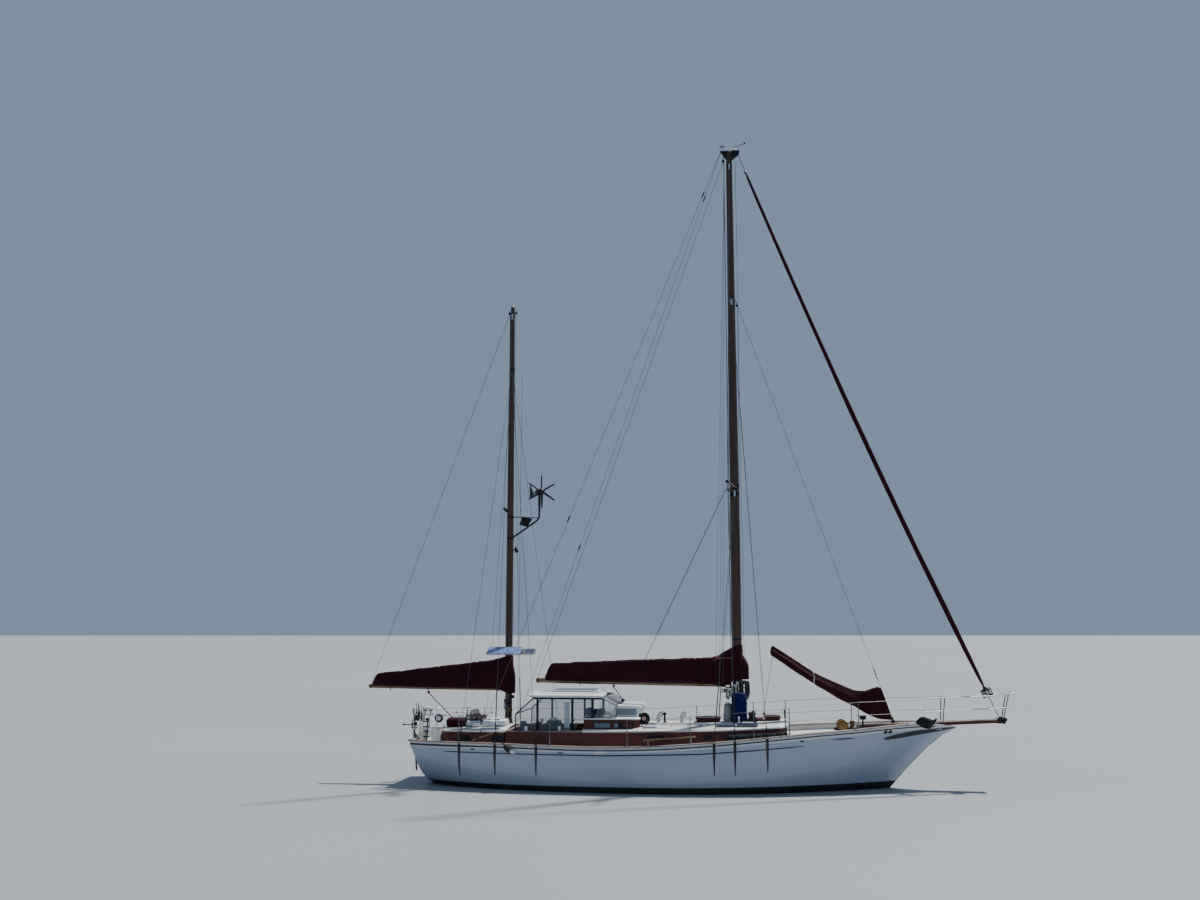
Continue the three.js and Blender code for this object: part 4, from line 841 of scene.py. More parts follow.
TRUNK = np.array([[-2.34, 1.27, 1.362], [-1.0, 1.29, 1.382], [0.5, 1.26, 1.405], [1.5, 1.15, 1.432],
                  [2.3, 0.985, 1.47], [2.5, 0.9, 1.482], [2.6, 0.76, 1.49]])
AFT_CABIN = np.array([[-5.92, 0.9, 1.325], [-5.8, 1.0, 1.326], [-5.0, 1.11, 1.33], [-4.32, 1.185, 1.335]])
DOGHOUSE = np.array([[-2.34, 1.13, 1.66], [-1.18, 1.12, 1.66], [-1.04, 1.06, 1.655], [-0.99, 0.96, 1.65]])
TOP_THICKNESS = 0.04
OVERHANG = 0.026
TRUNK_CROWN = 0.11
AFT_CROWN = 0.09
DOGHOUSE_CROWN = 0.07


def crowned(table, crown, x, y, rise):
    """Height of a house's top at a place."""
    half = along(table, 1, x)
    return along(table, 2, x) + crown * (1 - (y / half) ** 2) + rise


def house(name, table, foot, crown, thickness, overhang, places, replaced):
    shares = [k / 9 for k in range(-9, 10)]
    walls = []
    for x in places:
        half, edge = along(table, 1, x), along(table, 2, x)
        walls.append([(x, -half - 0.012, foot)] + [(x, s * half, edge + crown * (1 - s * s)) for s in shares]
                     + [(x, half + 0.012, foot)])
    Shape().rings(walls).piece(name + "_walls", "mahogany", replaced=(replaced[0],), bevel=0.01)
    tops = []
    for index, x in enumerate(places):
        half, edge = along(table, 1, x), along(table, 2, x)
        shift = -overhang if index == 0 else overhang if index == len(places) - 1 else 0
        upper = [(x + shift, s * (half + overhang), edge - 0.006 + crown * (1 - s * s) + thickness)
                 for s in shares]
        lower = [(px, py, pz - thickness) for px, py, pz in reversed(upper)]
        tops.append(upper + lower)
    shape = Shape().rings(tops)
    mesh = shape.mesh(name + "_roof", 0.011, 3)
    for polygon in mesh.polygons:
        c, n = polygon.center, polygon.normal
        x = min(max(c.x, table[0, 0]), table[-1, 0])
        border = along(table, 1, x) - 0.13
        inner = table[0, 0] + 0.12 < c.x < table[-1, 0] - 0.2
        polygon.material_index = 1 if n.z > 0.6 and abs(c.y) < border and inner else 0
    finish_mesh(name + "_roof", mesh, ["white", "nonslip"], replaced=(replaced[1],))


WINDOW_PROUD = 0.006


def window(shape, glass, x0, x1, z0, z1, y_at, side, rim=0.022, corner=0.03):
    """A rounded window let into a side wall: its rim goes to one shape and its pane to another."""
    def outline(grow):
        r = max(corner + grow, 0.004)
        points = []
        for cx, cz, start in ((x1 + grow - r, z1 + grow - r, 0), (x0 - grow + r, z1 + grow - r, 90),
                              (x0 - grow + r, z0 - grow + r, 180), (x1 + grow - r, z0 - grow + r, 270)):
            points += [(cx + r * cos(radians(start + 22.5 * k)), cz + r * sin(radians(start + 22.5 * k)))
                       for k in range(5)]
        return points
    outer, inner = outline(rim), outline(0)
    rings = []
    for line, out in ((outer, -0.01), (outer, WINDOW_PROUD), (inner, WINDOW_PROUD), (inner, -0.004)):
        rings.append([(x, side * (y_at(x, z) + out), z) for x, z in line])
    shape.rings(rings, caps=False)
    pane = [(x, side * (y_at(x, z) + 0.0015), z) for x, z in inner]
    back = [(x, side * (y_at(x, z) - 0.012), z) for x, z in inner]
    glass.rings([pane, back])


def wall_y(table, foot):
    def at(x, z):
        half, edge = along(table, 1, x), along(table, 2, x)
        return half + 0.012 * (edge - z) / (edge - foot)
    return at


def build_houses():
    front = [2.3, 2.36, 2.42, 2.46, 2.5, 2.54, 2.57, 2.585, 2.6]
    house("trunk", TRUNK, 0.85, TRUNK_CROWN, TOP_THICKNESS, OVERHANG, spaced(-2.34, 2.2, 0.2) + front,
          ("trunk_cabin", "trunk_top"))
    house("after_house", AFT_CABIN, 0.85, AFT_CROWN, TOP_THICKNESS, OVERHANG,
          [-5.92, -5.9, -5.87, -5.84, -5.8] + spaced(-5.7, -4.32, 0.2),
          ("aft_cabin", "aft_cabin_top"))
    house("deckhouse", DOGHOUSE, 1.36, DOGHOUSE_CROWN, 0.032, 0.024,
          spaced(-2.34, -1.2, 0.2) + [-1.16, -1.12, -1.08, -1.05, -1.02, -1.0, -0.99],
          ("doghouse", "doghouse_top"))

    rims, panes, hazy = Shape(), Shape(), Shape()
    trunk_wall, house_wall = wall_y(TRUNK, 0.85), wall_y(DOGHOUSE, 1.36)
    for side in (1, -1):
        for x0, x1, z0, z1 in ((-2.08, -1.69, 1.462, 1.572), (-1.59, -1.5, 1.462, 1.572)):
            window(rims, hazy, x0, x1, z0, z1, house_wall, side, corner=0.02)
        window(rims, panes, -1.45, -1.14, 1.462, 1.572, house_wall, side, corner=0.02)
        window(rims, panes, -0.75, -0.38, 1.205, 1.29, trunk_wall, side)
        window(rims, panes, 0.615, 0.785, 1.228, 1.316, trunk_wall, side, corner=0.04)
        window(rims, panes, 1.75, 1.92, 1.268, 1.352, trunk_wall, side, corner=0.04)
    rims.piece("window_rims", "dark")
    panes.piece("window_panes", "glass")
    hazy.piece("hazy_window_panes", "pale_glass")

    trim = Shape()
    for side in (1, -1):
        for table, start, end, foot in ((TRUNK, -2.33, 2.5, 0.85), (AFT_CABIN, -5.8, -4.33, 0.85)):
            rings = []
            at = wall_y(table, foot)
            for x in spaced(start, end, 0.15):
                z = deck_z(x, along(table, 1, x)) + 0.006
                y = at(x, z)
                rings.append([(x, side * (y - 0.01), z), (x, side * (y + 0.026), z),
                              (x, side * (y + 0.022), z + 0.026), (x, side * (y - 0.01), z + 0.03)])
            trim.rings(rings)
    trim.piece("house_base_mouldings", "teak")


build_houses()


def build_grab_rails():
    rails, feet = Shape(), Shape()
    for side in (1, -1):
        points = [(x, side * 0.86, crowned(TRUNK, TRUNK_CROWN, x, 0.86, 0.105))
                  for x in spaced(-0.6, 1.0, 0.2)]
        rails.tube(points, 0.017, 10)
        for x, y, z in points[::2]:
            feet.tube([(x, y, z), (x, y, z - 0.09)], [0.013, 0.024], 10)
        points = [(x, side * 0.8, crowned(AFT_CABIN, AFT_CROWN, x, 0.8, 0.085))
                  for x in spaced(-5.2, -4.6, 0.2)]
        rails.tube(points, 0.015, 10)
        for x, y, z in points[::3] + points[-1:]:
            feet.tube([(x, y, z), (x, y, z - 0.07)], [0.012, 0.022], 10)
    rails.piece("grab_rails", "white")
    feet.piece("grab_rail_feet", "white")


build_grab_rails()


# Hatches. Columns: body, aft end, fore end, half width, height of the lid's foot
HATCHES = [("mid_hatch", 0.36, 0.99, 0.33, 1.6223), ("fore_hatch", 2.06, 2.48, 0.3, 1.6683)]


def build_hatches():
    coamings = Shape()
    for body, aft, fore, half, low in HATCHES:
        coamings.box((aft + 0.025, -half + 0.025, low - 0.09), (fore - 0.025, half - 0.025, low - 0.0003))
        end = fore - 0.014
        high = low + 0.042
        lid = Shape()
        rim = 0.07
        for x in (aft, end - rim):
            lid.box((x, -half, low), (x + rim, half, high))
        for y in (-half, half - rim):
            lid.box((aft + rim, y, low), (end - rim, y + rim, high))
        lid.piece(body + "_frame", "mahogany", body, (body,), bevel=0.006)
        pane = Shape().box((aft + rim, -half + rim, low + 0.012), (end - rim, half - rim, high - 0.008))
        pane.piece(body + "_pane", "glass", body, bevel=0.003)
        hinge = Shape()
        for y in (-half * 0.6, half * 0.6):
            hinge.tube([(end, y - 0.05, low + 0.011), (end, y + 0.05, low + 0.011)], 0.011, 12)
            hinge.box((end - 0.09, y - 0.03, high - 0.001), (end - 0.002, y + 0.03, high + 0.004))
        hinge.piece(body + "_hinges", "bronze", body)
        catch = Shape().box((aft - 0.012, -0.03, low + 0.005), (aft + 0.03, 0.03, high + 0.003))
        catch.piece(body + "_catch", "bronze", body, bevel=0.003)
    low = crowned(TRUNK, TRUNK_CROWN, 1.93, 0.29, TOP_THICKNESS - 0.008)
    coamings.box((1.815, -0.29, low), (2.045, 0.29, 1.655))
    coamings.piece("hatch_coamings", "mahogany", bevel=0.008)


def cowl_vent(shape, mouth, x, y):
    foot = crowned(TRUNK, TRUNK_CROWN, x, y, TOP_THICKNESS - 0.006)
    shape.lathe((x, y, foot), UP, [(0, 0.075), (0.012, 0.075), (0.02, 0.05), (0.05, 0.042)], 20)
    path, radii = [], []
    for k in range(9):
        a = radians(90 * k / 8)
        path.append((x + 0.075 * (1 - cos(a)), y, foot + 0.05 + 0.1 + 0.075 * sin(a)))
        radii.append(0.042 + 0.034 * (k / 8) ** 1.5)
    path.insert(0, (x, y, foot + 0.04))
    radii.insert(0, 0.042)
    end = path[-1]
    path.append((end[0] + 0.03, y, end[2]))
    radii.append(0.084)
    shape.tube(path, radii, 20)
    # A thin dark disc closes the mouth: painted shade inside the cowl.
    mouth.lathe((end[0] + 0.0295, y, end[2]), (1, 0, 0), [(0, 0.074), (0.0025, 0.074)], 20)


def build_vents():
    cowls, mouths = Shape(), Shape()
    cowl_vent(cowls, mouths, -0.56, -0.42)
    cowl_vent(cowls, mouths, 0.02, -0.47)
    cowls.piece("cowl_vents", "white")
    mouths.piece("cowl_mouth_shade", "rubber")
    foot = crowned(TRUNK, TRUNK_CROWN, -0.41, -0.3, TOP_THICKNESS - 0.006)
    Shape().lathe((-0.41, -0.3, foot), UP, [(0, 0.06), (0.02, 0.06), (0.03, 0.028), (0.19, 0.022),
            (0.2, 0.05), (0.23, 0.05), (0.26, 0.02)], 20).piece("stove_flue", "dark")


build_hatches()
build_vents()


# Screen box on the deckhouse
SCREEN_HALF = 0.86


def build_screen():
    outline = [(-1.82, 1.66), (-1.075, 1.66), (-0.95, 1.968), (-1.56, 1.99)]
    Shape().prism(outline, -SCREEN_HALF, SCREEN_HALF).piece("screen_box_moulding", "white",
            replaced=("screen_box",), bevel=0.02, segments=3)
    rims, panes = Shape(), Shape()
    for side in (1, -1):
        window(rims, panes, -1.56, -1.06, 1.755, 1.912, lambda *place: SCREEN_HALF, side)
    up = Vector((0.125, 0, 0.308)).normalized()
    out = Vector((0.308, 0, -0.125)).normalized()
    centre = Vector((-1.0125, 0, 1.814))
    for y in (-0.55, 0.0, 0.55):
        corners, wide = ([centre + Vector((0, y, 0)) + Vector((0, a * half, 0)) + up * (b * tall)
                          for a, b in ((-1, -1), (1, -1), (1, 1), (-1, 1))]
                         for half, tall in ((0.23, 0.1), (0.25, 0.12)))
        panes.rings([[c + out * 0.004 for c in corners], [c - out * 0.01 for c in corners]])
        rims.rings([[c - out * 0.01 for c in wide], [c + out * 0.009 for c in wide],
                    [c + out * 0.009 for c in corners], [c - out * 0.004 for c in corners]], caps=False)
    rims.piece("screen_window_rims", "white")
    panes.piece("screen_window_panes", "pale_glass")
    vents = Shape()
    for x in (-1.7, -1.61):
        vents.lathe((x, -0.855, 1.714), (0, -1, 0), [(0, 0.026), (0.008, 0.024), (0.01, 0.01)], 16)
    vents.piece("screen_box_vents", "rubber")


build_screen()


# Cockpit

def build_cockpit():
    dress("mahogany", "cockpit_coaming")
    caps = Shape()
    for side in (1, -1):
        rings = []
        for x in spaced(-4.29, -2.37, 0.2):
            outer = 1.19 + (x + 4.29) * (1.268 - 1.19) / 1.95
            z = 1.345 + (x + 4.29) * 0.012
            rings.append([(x, side * 1.085, z), (x, side * (outer + 0.02), z),
                          (x, side * (outer + 0.02), z + 0.024), (x, side * 1.085, z + 0.024)])
        caps.rings(rings)
    caps.box((-4.31, -1.19, 1.345), (-4.235, 1.19, 1.369))
    caps.piece("coaming_caps", "teak", bevel=0.007)

    seats, grating = Shape(), Shape()
    for side in (1, -1):
        for k in range(8):
            y = 0.455 + 0.08 * k
            seats.box((-4.18, side * y, 0.985), (-2.37, side * (y + 0.068), 1.012))
        for x in (-4.1, -3.27, -2.45):
            seats.box((x - 0.03, side * 0.45, 0.94), (x + 0.03, side * 1.09, 0.985))
    seats.piece("cockpit_seats", "teak", bevel=0.004)
    for k in range(10):
        y = -0.39 + 0.0867 * k
        grating.box((-4.17, y - 0.014, 0.432), (-2.38, y + 0.014, 0.462))
    for k in range(20):
        x = -4.15 + 0.0926 * k
        grating.box((x - 0.014, -0.41, 0.434), (x + 0.014, 0.41, 0.458))
    grating.piece("sole_grating", "teak")

    drums, tops = Shape(), Shape()
    for x in (-3.78, -2.95):
        for side in (1, -1):
            z = 1.369 + (x + 4.29) * 0.012 - 0.004
            y = side * 1.145
            drums.lathe((x, y, z), UP, [(0, 0.062), (0.014, 0.062), (0.02, 0.05), (0.05, 0.04), (0.09, 0.048),
                                               (0.1, 0.058), (0.112, 0.058)], 24)
            tops.lathe((x, y, z + 0.112), UP, [(0, 0.05), (0.008, 0.048), (0.012, 0.02)], 24)
    drums.piece("winch_drums", "steel")
    tops.piece("winch_tops", "bronze")

    door = Shape()
    x0, x1 = -2.372, -2.3465
    y0, y1, z0, z1 = -0.36, 0.16, 0.48, 1.6
    frame_width = 0.075
    door.box((x0, y0, z0), (x1, y0 + frame_width, z1))
    door.box((x0, y1 - frame_width, z0), (x1, y1, z1))
    for low, high in ((z0, z0 + 0.12), (0.99, 1.07), (z1 - 0.09, z1)):
        door.box((x0, y0 + frame_width, low), (x1, y1 - frame_width, high))
    for low, high in ((z0 + 0.12, 0.99), (1.07, z1 - 0.09)):
        count = int((high - low) / 0.045)
        for k in range(count):
            z = low + (high - low) * (k + 0.5) / count
            door.box((x0 + 0.004, y0 + frame_width - 0.002, z - 0.02),
                     (x1 - 0.004, y1 - frame_width + 0.002, z + 0.012),
                     Matrix.Rotation(radians(18), 3, "Y"))
    door.piece("louvred_door", "mahogany_upright", "companionway_door", ("companionway_door",), bevel=0.003,
               segments=1)
    knob = Shape().lathe((x0, y1 - 0.04, 1.03), (-1, 0, 0), [(0, 0.022), (0.01, 0.018), (0.02, 0.01),
            (0.03, 0.02), (0.045, 0.018)], 16)
    knob.piece("door_knob", "bronze", "companionway_door")
    hinges = Shape()
    for z in (0.65, 1.4):
        hinges.tube([(-2.35135, y0, z - 0.04), (-2.35135, y0, z + 0.04)], 0.011, 12)
    hinges.piece("door_hinges", "bronze", "companionway_door")


def build_wheel():
    centre = Vector((-2.48, 0.6, 1.4))
    rim, spokes, hub = Shape(), Shape(), Shape()
    rings = []
    for a in around(48) + [2 * pi]:
        out = Vector((0, sin(a), cos(a)))
        rings.append([centre + out * (0.3 + 0.015 * cos(b)) + Vector((0.015 * sin(b), 0, 0))
                      for b in around(10)])
    rim.rings(rings, caps=False)
    for a in around(6):
        out = Vector((0, sin(a), cos(a)))
        places = [(0.03, 0.011), (0.1, 0.009), (0.15, 0.014), (0.2, 0.009), (0.29, 0.01)]
        spokes.tube([centre + out * d for d, r in places], [r for d, r in places], 12)
    hub.lathe(centre + Vector((-0.032, 0, 0)), (1, 0, 0), [(0, 0.012), (0.004, 0.03), (0.016, 0.042),
            (0.05, 0.042), (0.06, 0.034), (0.171, 0.034)], 24)
    rim.piece("wheel_rim", "sprit", "steering_wheel", ("steering_wheel",))
    spokes.piece("wheel_spokes", "sprit", "steering_wheel")
    hub.piece("wheel_hub", "bronze", "steering_wheel")


build_cockpit()
build_wheel()


# Cockpit shelter
SHELTER = {"half": 1.165, "eave": 2.18, "post": 1.132, "bar": 0.016, "aft": -3.65, "fore": -1.89}
KNUCKLE = (-4.05, 1.77)


def build_shelter():
    frame_shape = Shape()
    rail_z = SHELTER["eave"] - 0.022
    bar = SHELTER["bar"]
    for side in (1, -1):
        y = side * SHELTER["post"]
        for x, foot in ((-3.5, 1.376), (-2.63, 1.386), (-2.13, 1.66)):
            frame_shape.box((x - 0.03, y - bar, foot - 0.02), (x + 0.03, y + bar, SHELTER["eave"] - 0.03))
        frame_shape.box((SHELTER["aft"] + 0.02, y - bar, SHELTER["eave"] - 0.044),
                        (SHELTER["fore"] - 0.01, y + bar, SHELTER["eave"]))
    frame_shape.piece("shelter_posts", "navy", replaced=("shelter_frame",), slot="shelter_metal", bevel=0.006)
    bows = Shape()
    for side in (1, -1):
        y = side * SHELTER["post"]
        bows.tube([(SHELTER["aft"] + 0.04, y, rail_z), (KNUCKLE[0], y, KNUCKLE[1]), (KNUCKLE[0], y, 1.355)],
                  bar, 12)
    for x, z in ((SHELTER["aft"] + 0.04, rail_z), (SHELTER["fore"] - 0.04, rail_z), KNUCKLE):
        bows.tube([(x, -SHELTER["post"], z), (x, SHELTER["post"], z)], bar, 12)
    bows.piece("shelter_bows", "navy", slot="shelter_metal")

    rings = []
    shares = [k / 8 for k in range(-8, 9)]
    for x, half in ((-3.72, 1.1), (-3.7, 1.13), (-3.65, 1.165), (-3.2, 1.165), (-2.8, 1.165), (-2.4, 1.165),
                    (-1.95, 1.165), (-1.9, 1.14), (-1.87, 1.11)):
        lower = [(x, s * half, SHELTER["eave"] + 0.0003 + 0.062 * (1 - s * s)) for s in shares]
        upper = [(px, py * 0.99, pz + 0.058) for px, py, pz in reversed(lower)]
        rings.append(lower + upper)
    Shape().rings(rings).piece("shelter_roof_moulding", "white", replaced=("shelter_roof",), bevel=0.016,
            segments=3)
    panel = Shape().box((-3.25, -0.52, 2.303), (-2.12, 0.52, 2.326))
    panel.piece("roof_panel_frame", "white", slot="solar_glass", bevel=0.004)
    Shape().box((-3.23, -0.5, 2.325), (-2.14, 0.5, 2.3275)).piece("roof_panel_cells", "solar")
    brackets = Shape()
    for x in (-3.2, -2.17):
        for y in (-0.48, 0.48):
            brackets.box((x - 0.02, y - 0.02, 2.27), (x + 0.02, y + 0.02, 2.304))
    brackets.piece("roof_panel_brackets", "steel")
    mushroom = Shape().lathe((-2.06, -0.6, 2.262), UP, [(0, 0.05), (0.03, 0.05), (0.035, 0.07),
            (0.06, 0.06), (0.075, 0.02)], 20)
    mushroom.piece("roof_vent", "white")
    edge = Shape()
    for side in (1, -1):
        y = side * 0.86
        edge.tube([(-3.45, y, 2.262), (-3.42, y, 2.3), (-2.05, y, 2.3), (-2.02, y, 2.262)], 0.012, 10)
    edge.piece("roof_grab_rails", "steel")


def grid_faces(rows, columns):
    wide = columns + 1
    return [(r * wide + q, r * wide + q + 1, (r + 1) * wide + q + 1, (r + 1) * wide + q)
            for r in range(rows) for q in range(columns)]


def pane_surface(corners, rows, columns, buckle, seed):
    """A slack clear panel between four corners, with soft buckles."""
    a, b, c, d = (Vector(p) for p in corners)
    normal = (b - a).cross(d - a).normalized()
    points = []
    for r in range(rows + 1):
        for q in range(columns + 1):
            u, v = q / columns, r / rows
            p = a.lerp(b, u).lerp(d.lerp(c, u), v)
            edge = min(1.0, 6 * min(u, 1 - u, v, 1 - v))
            wave = noise.noise(Vector((p.x * 3.1 + seed, p.y * 3.1, p.z * 2.0)))
            points.append(p + normal * buckle * wave * edge)
    return points, grid_faces(rows, columns)


def build_curtains():
    y = 1.1117
    # Corners, rows, columns, buckle, seed
    bays = [([(-4.02, 1.385), (-3.545, 1.385), (-3.545, 2.16), (-3.66, 2.15)], 10, 6, 0.006, 0),
            ([(-3.455, 1.39), (-2.675, 1.39), (-2.675, 2.165), (-3.455, 2.165)], 10, 12, 0.006, 3),
            ([(-2.585, 1.4), (-2.372, 1.7), (-2.175, 2.165), (-2.585, 2.165)], 10, 8, 0.006, 6),
            ([(-2.372, 1.7), (-2.085, 1.7), (-2.085, 2.165), (-2.175, 2.165)], 10, 4, 0.004, 11),
            ([(-2.085, 1.7), (-1.56, 1.7), (-1.56, 1.995), (-1.9, 2.165)], 10, 8, 0.006, 14),
            ([(-4.02, 1.385), (-3.66, 2.15), (-3.66, 2.15), (-4.02, 1.775)], 8, 6, 0.002, 17)]
    for word, side in (("port", 1), ("starboard", -1)):
        shape = Shape()
        for corners, rows, columns, buckle, seed in bays:
            points = [(px, side * y, pz) for px, pz in corners]
            shape.add(*pane_surface(points, rows, columns, buckle, seed + side))
        replaced = ("shelter_curtains",) if side == 1 else ()
        cloth("clear_curtain_" + word, shape, "vinyl",
              replaced=replaced, thickness=0.0015)
        hems = Shape()
        for hem in ([(-4.03, 1.372), (-2.372, 1.385)], [(-2.36, 1.7), (-1.545, 1.7), (-1.545, 1.998),
                (-1.9, 2.172)]):
            hems.tube([(px, side * y, pz) for px, pz in hem], 0.009, 6)
        hems.piece("curtain_hem_" + word, "navy", slot="shelter_metal")
    screen = Shape()
    screen.add(*pane_surface([(-1.549, -1.1, 1.995), (-1.549, 1.1, 1.995), (-1.9, 1.1, 2.174),
                              (-1.9, -1.1, 2.174)], 6, 18, 0.006, 23))
    cloth("clear_windscreen", screen, "screen", thickness=0.0015)
    bars = Shape()
    for yb in (-1.105, -0.74, -0.37, 0.0, 0.37, 0.74, 1.105):
        bars.tube([(-1.547, yb, 1.998), (-1.9, yb, 2.177)], 0.011, 8)
    bars.tube([(-1.549, -1.11, 1.998), (-1.549, 1.11, 1.998)], 0.013, 8)
    bars.piece("windscreen_bars", "dark")


build_shelter()
build_curtains()


# Spars. A mast's profile has columns: height, radius
MAIN_MAST = {"x": 1.42, "foot": 1.4, "head": 16.56, "profile": [(1.4, 0.122), (6.0, 0.122), (9.8, 0.106),
        (16.56, 0.074)]}
MIZZEN_MAST = {"x": -4.455, "foot": 1.25, "head": 12.46,
               "profile": [(1.25, 0.092), (4.0, 0.092), (9.0, 0.074), (12.46, 0.054)]}


def mast_radius(mast, z):
    return line_at(mast["profile"], z)[0]


def build_mast(word, mast, band_heights, replaced, boot_z, track_foot):
    foot, head, x = mast["foot"], mast["head"], mast["x"]
    rows = [(z - foot, mast_radius(mast, z)) for z in spaced(foot, head - 0.03, 0.22)]
    tip = rows[-1][1]
    rows += [(head - foot - 0.012, tip * 0.92), (head - foot, tip * 0.75)]
    Shape().lathe((x, 0, foot), UP, rows, 36).piece(word + "_mast_pole", "spar", replaced=(replaced,))
    bands = Shape()
    for z, height in band_heights:
        radius = mast_radius(mast, z)
        bands.lathe((x, 0, z - height / 2), UP, [(0, radius + 0.0005), (0.002, radius + 0.005),
                (height - 0.002, radius + 0.005), (height, radius + 0.0005)], 36)
    bands.piece(word + "_mast_bands", "dark")
    boot = Shape().lathe((x, 0, boot_z - 0.02), UP, [(d, mast_radius(mast, boot_z) + proud) for d, proud in
                         ((0, 0.055), (0.03, 0.05), (0.07, 0.018), (0.16, 0.008), (0.17, 0.002))], 36)
    boot.piece(word + "_mast_boot", "rubber")
    track = Shape()
    heights = spaced(track_foot, head - 0.25, 0.5)
    rings = []
    for z in heights:
        aft = x - mast_radius(mast, z)
        rings.append([(aft + 0.006, -0.016, z), (aft - 0.008, -0.016, z), (aft - 0.008, 0.016, z),
                      (aft + 0.006, 0.016, z)])
    track.rings(rings)
    track.piece(word + "_mast_track", "bronze")


CLEAT_LENGTH = 0.16


def cleat(shape, place, out, along_axis):
    """A two-horned cleat standing on a surface."""
    base = Vector(place)
    out = Vector(out).normalized()
    run = Vector(along_axis).normalized()
    for offset in (-0.22, 0.22):
        foot = base + run * CLEAT_LENGTH * offset
        shape.tube([foot - out * 0.006, foot + out * 0.028], [0.014, 0.009], 8)
    points = [base + run * CLEAT_LENGTH * t + out * (0.034 + 0.01 * abs(t) * 2)
              for t in (-0.5, -0.3, 0, 0.3, 0.5)]
    shape.tube(points, [0.004, 0.009, 0.011, 0.009, 0.004], 8)


ROPE_TURNS = 5
TURNS_HALF_LENGTH = 0.12 * 0.62


def rope_turns(shape, place, out, run):
    """Rope made fast in figure-of-eight turns round a cleat."""
    base = Vector(place) + Vector(out).normalized() * 0.034
    out = Vector(out).normalized()
    run = Vector(run).normalized()
    across = out.cross(run).normalized()
    points = []
    steps = ROPE_TURNS * 24
    for k in range(steps + 1):
        a = 2 * pi * ROPE_TURNS * k / steps
        lift = 0.012 * k / steps
        points.append(base + run * (TURNS_HALF_LENGTH * sin(a)) + across * (0.032 * sin(2 * a))
                      + out * (lift + 0.006 * cos(a)))
    shape.tube(points, 0.006, 6)


def gooseneck_plates(shape, x, mast_x, low, high):
    plate = 0.02
    for z0, z1 in ((low - plate, low), (high, high + plate)):
        outline = [(mast_x - 0.02, -0.05), (x, -0.028), (x - 0.018, -0.022), (x - 0.026, 0.0),
                   (x - 0.018, 0.022), (x, 0.028), (mast_x - 0.02, 0.05)]
        shape.prism(outline, z0, z1, upright=True)


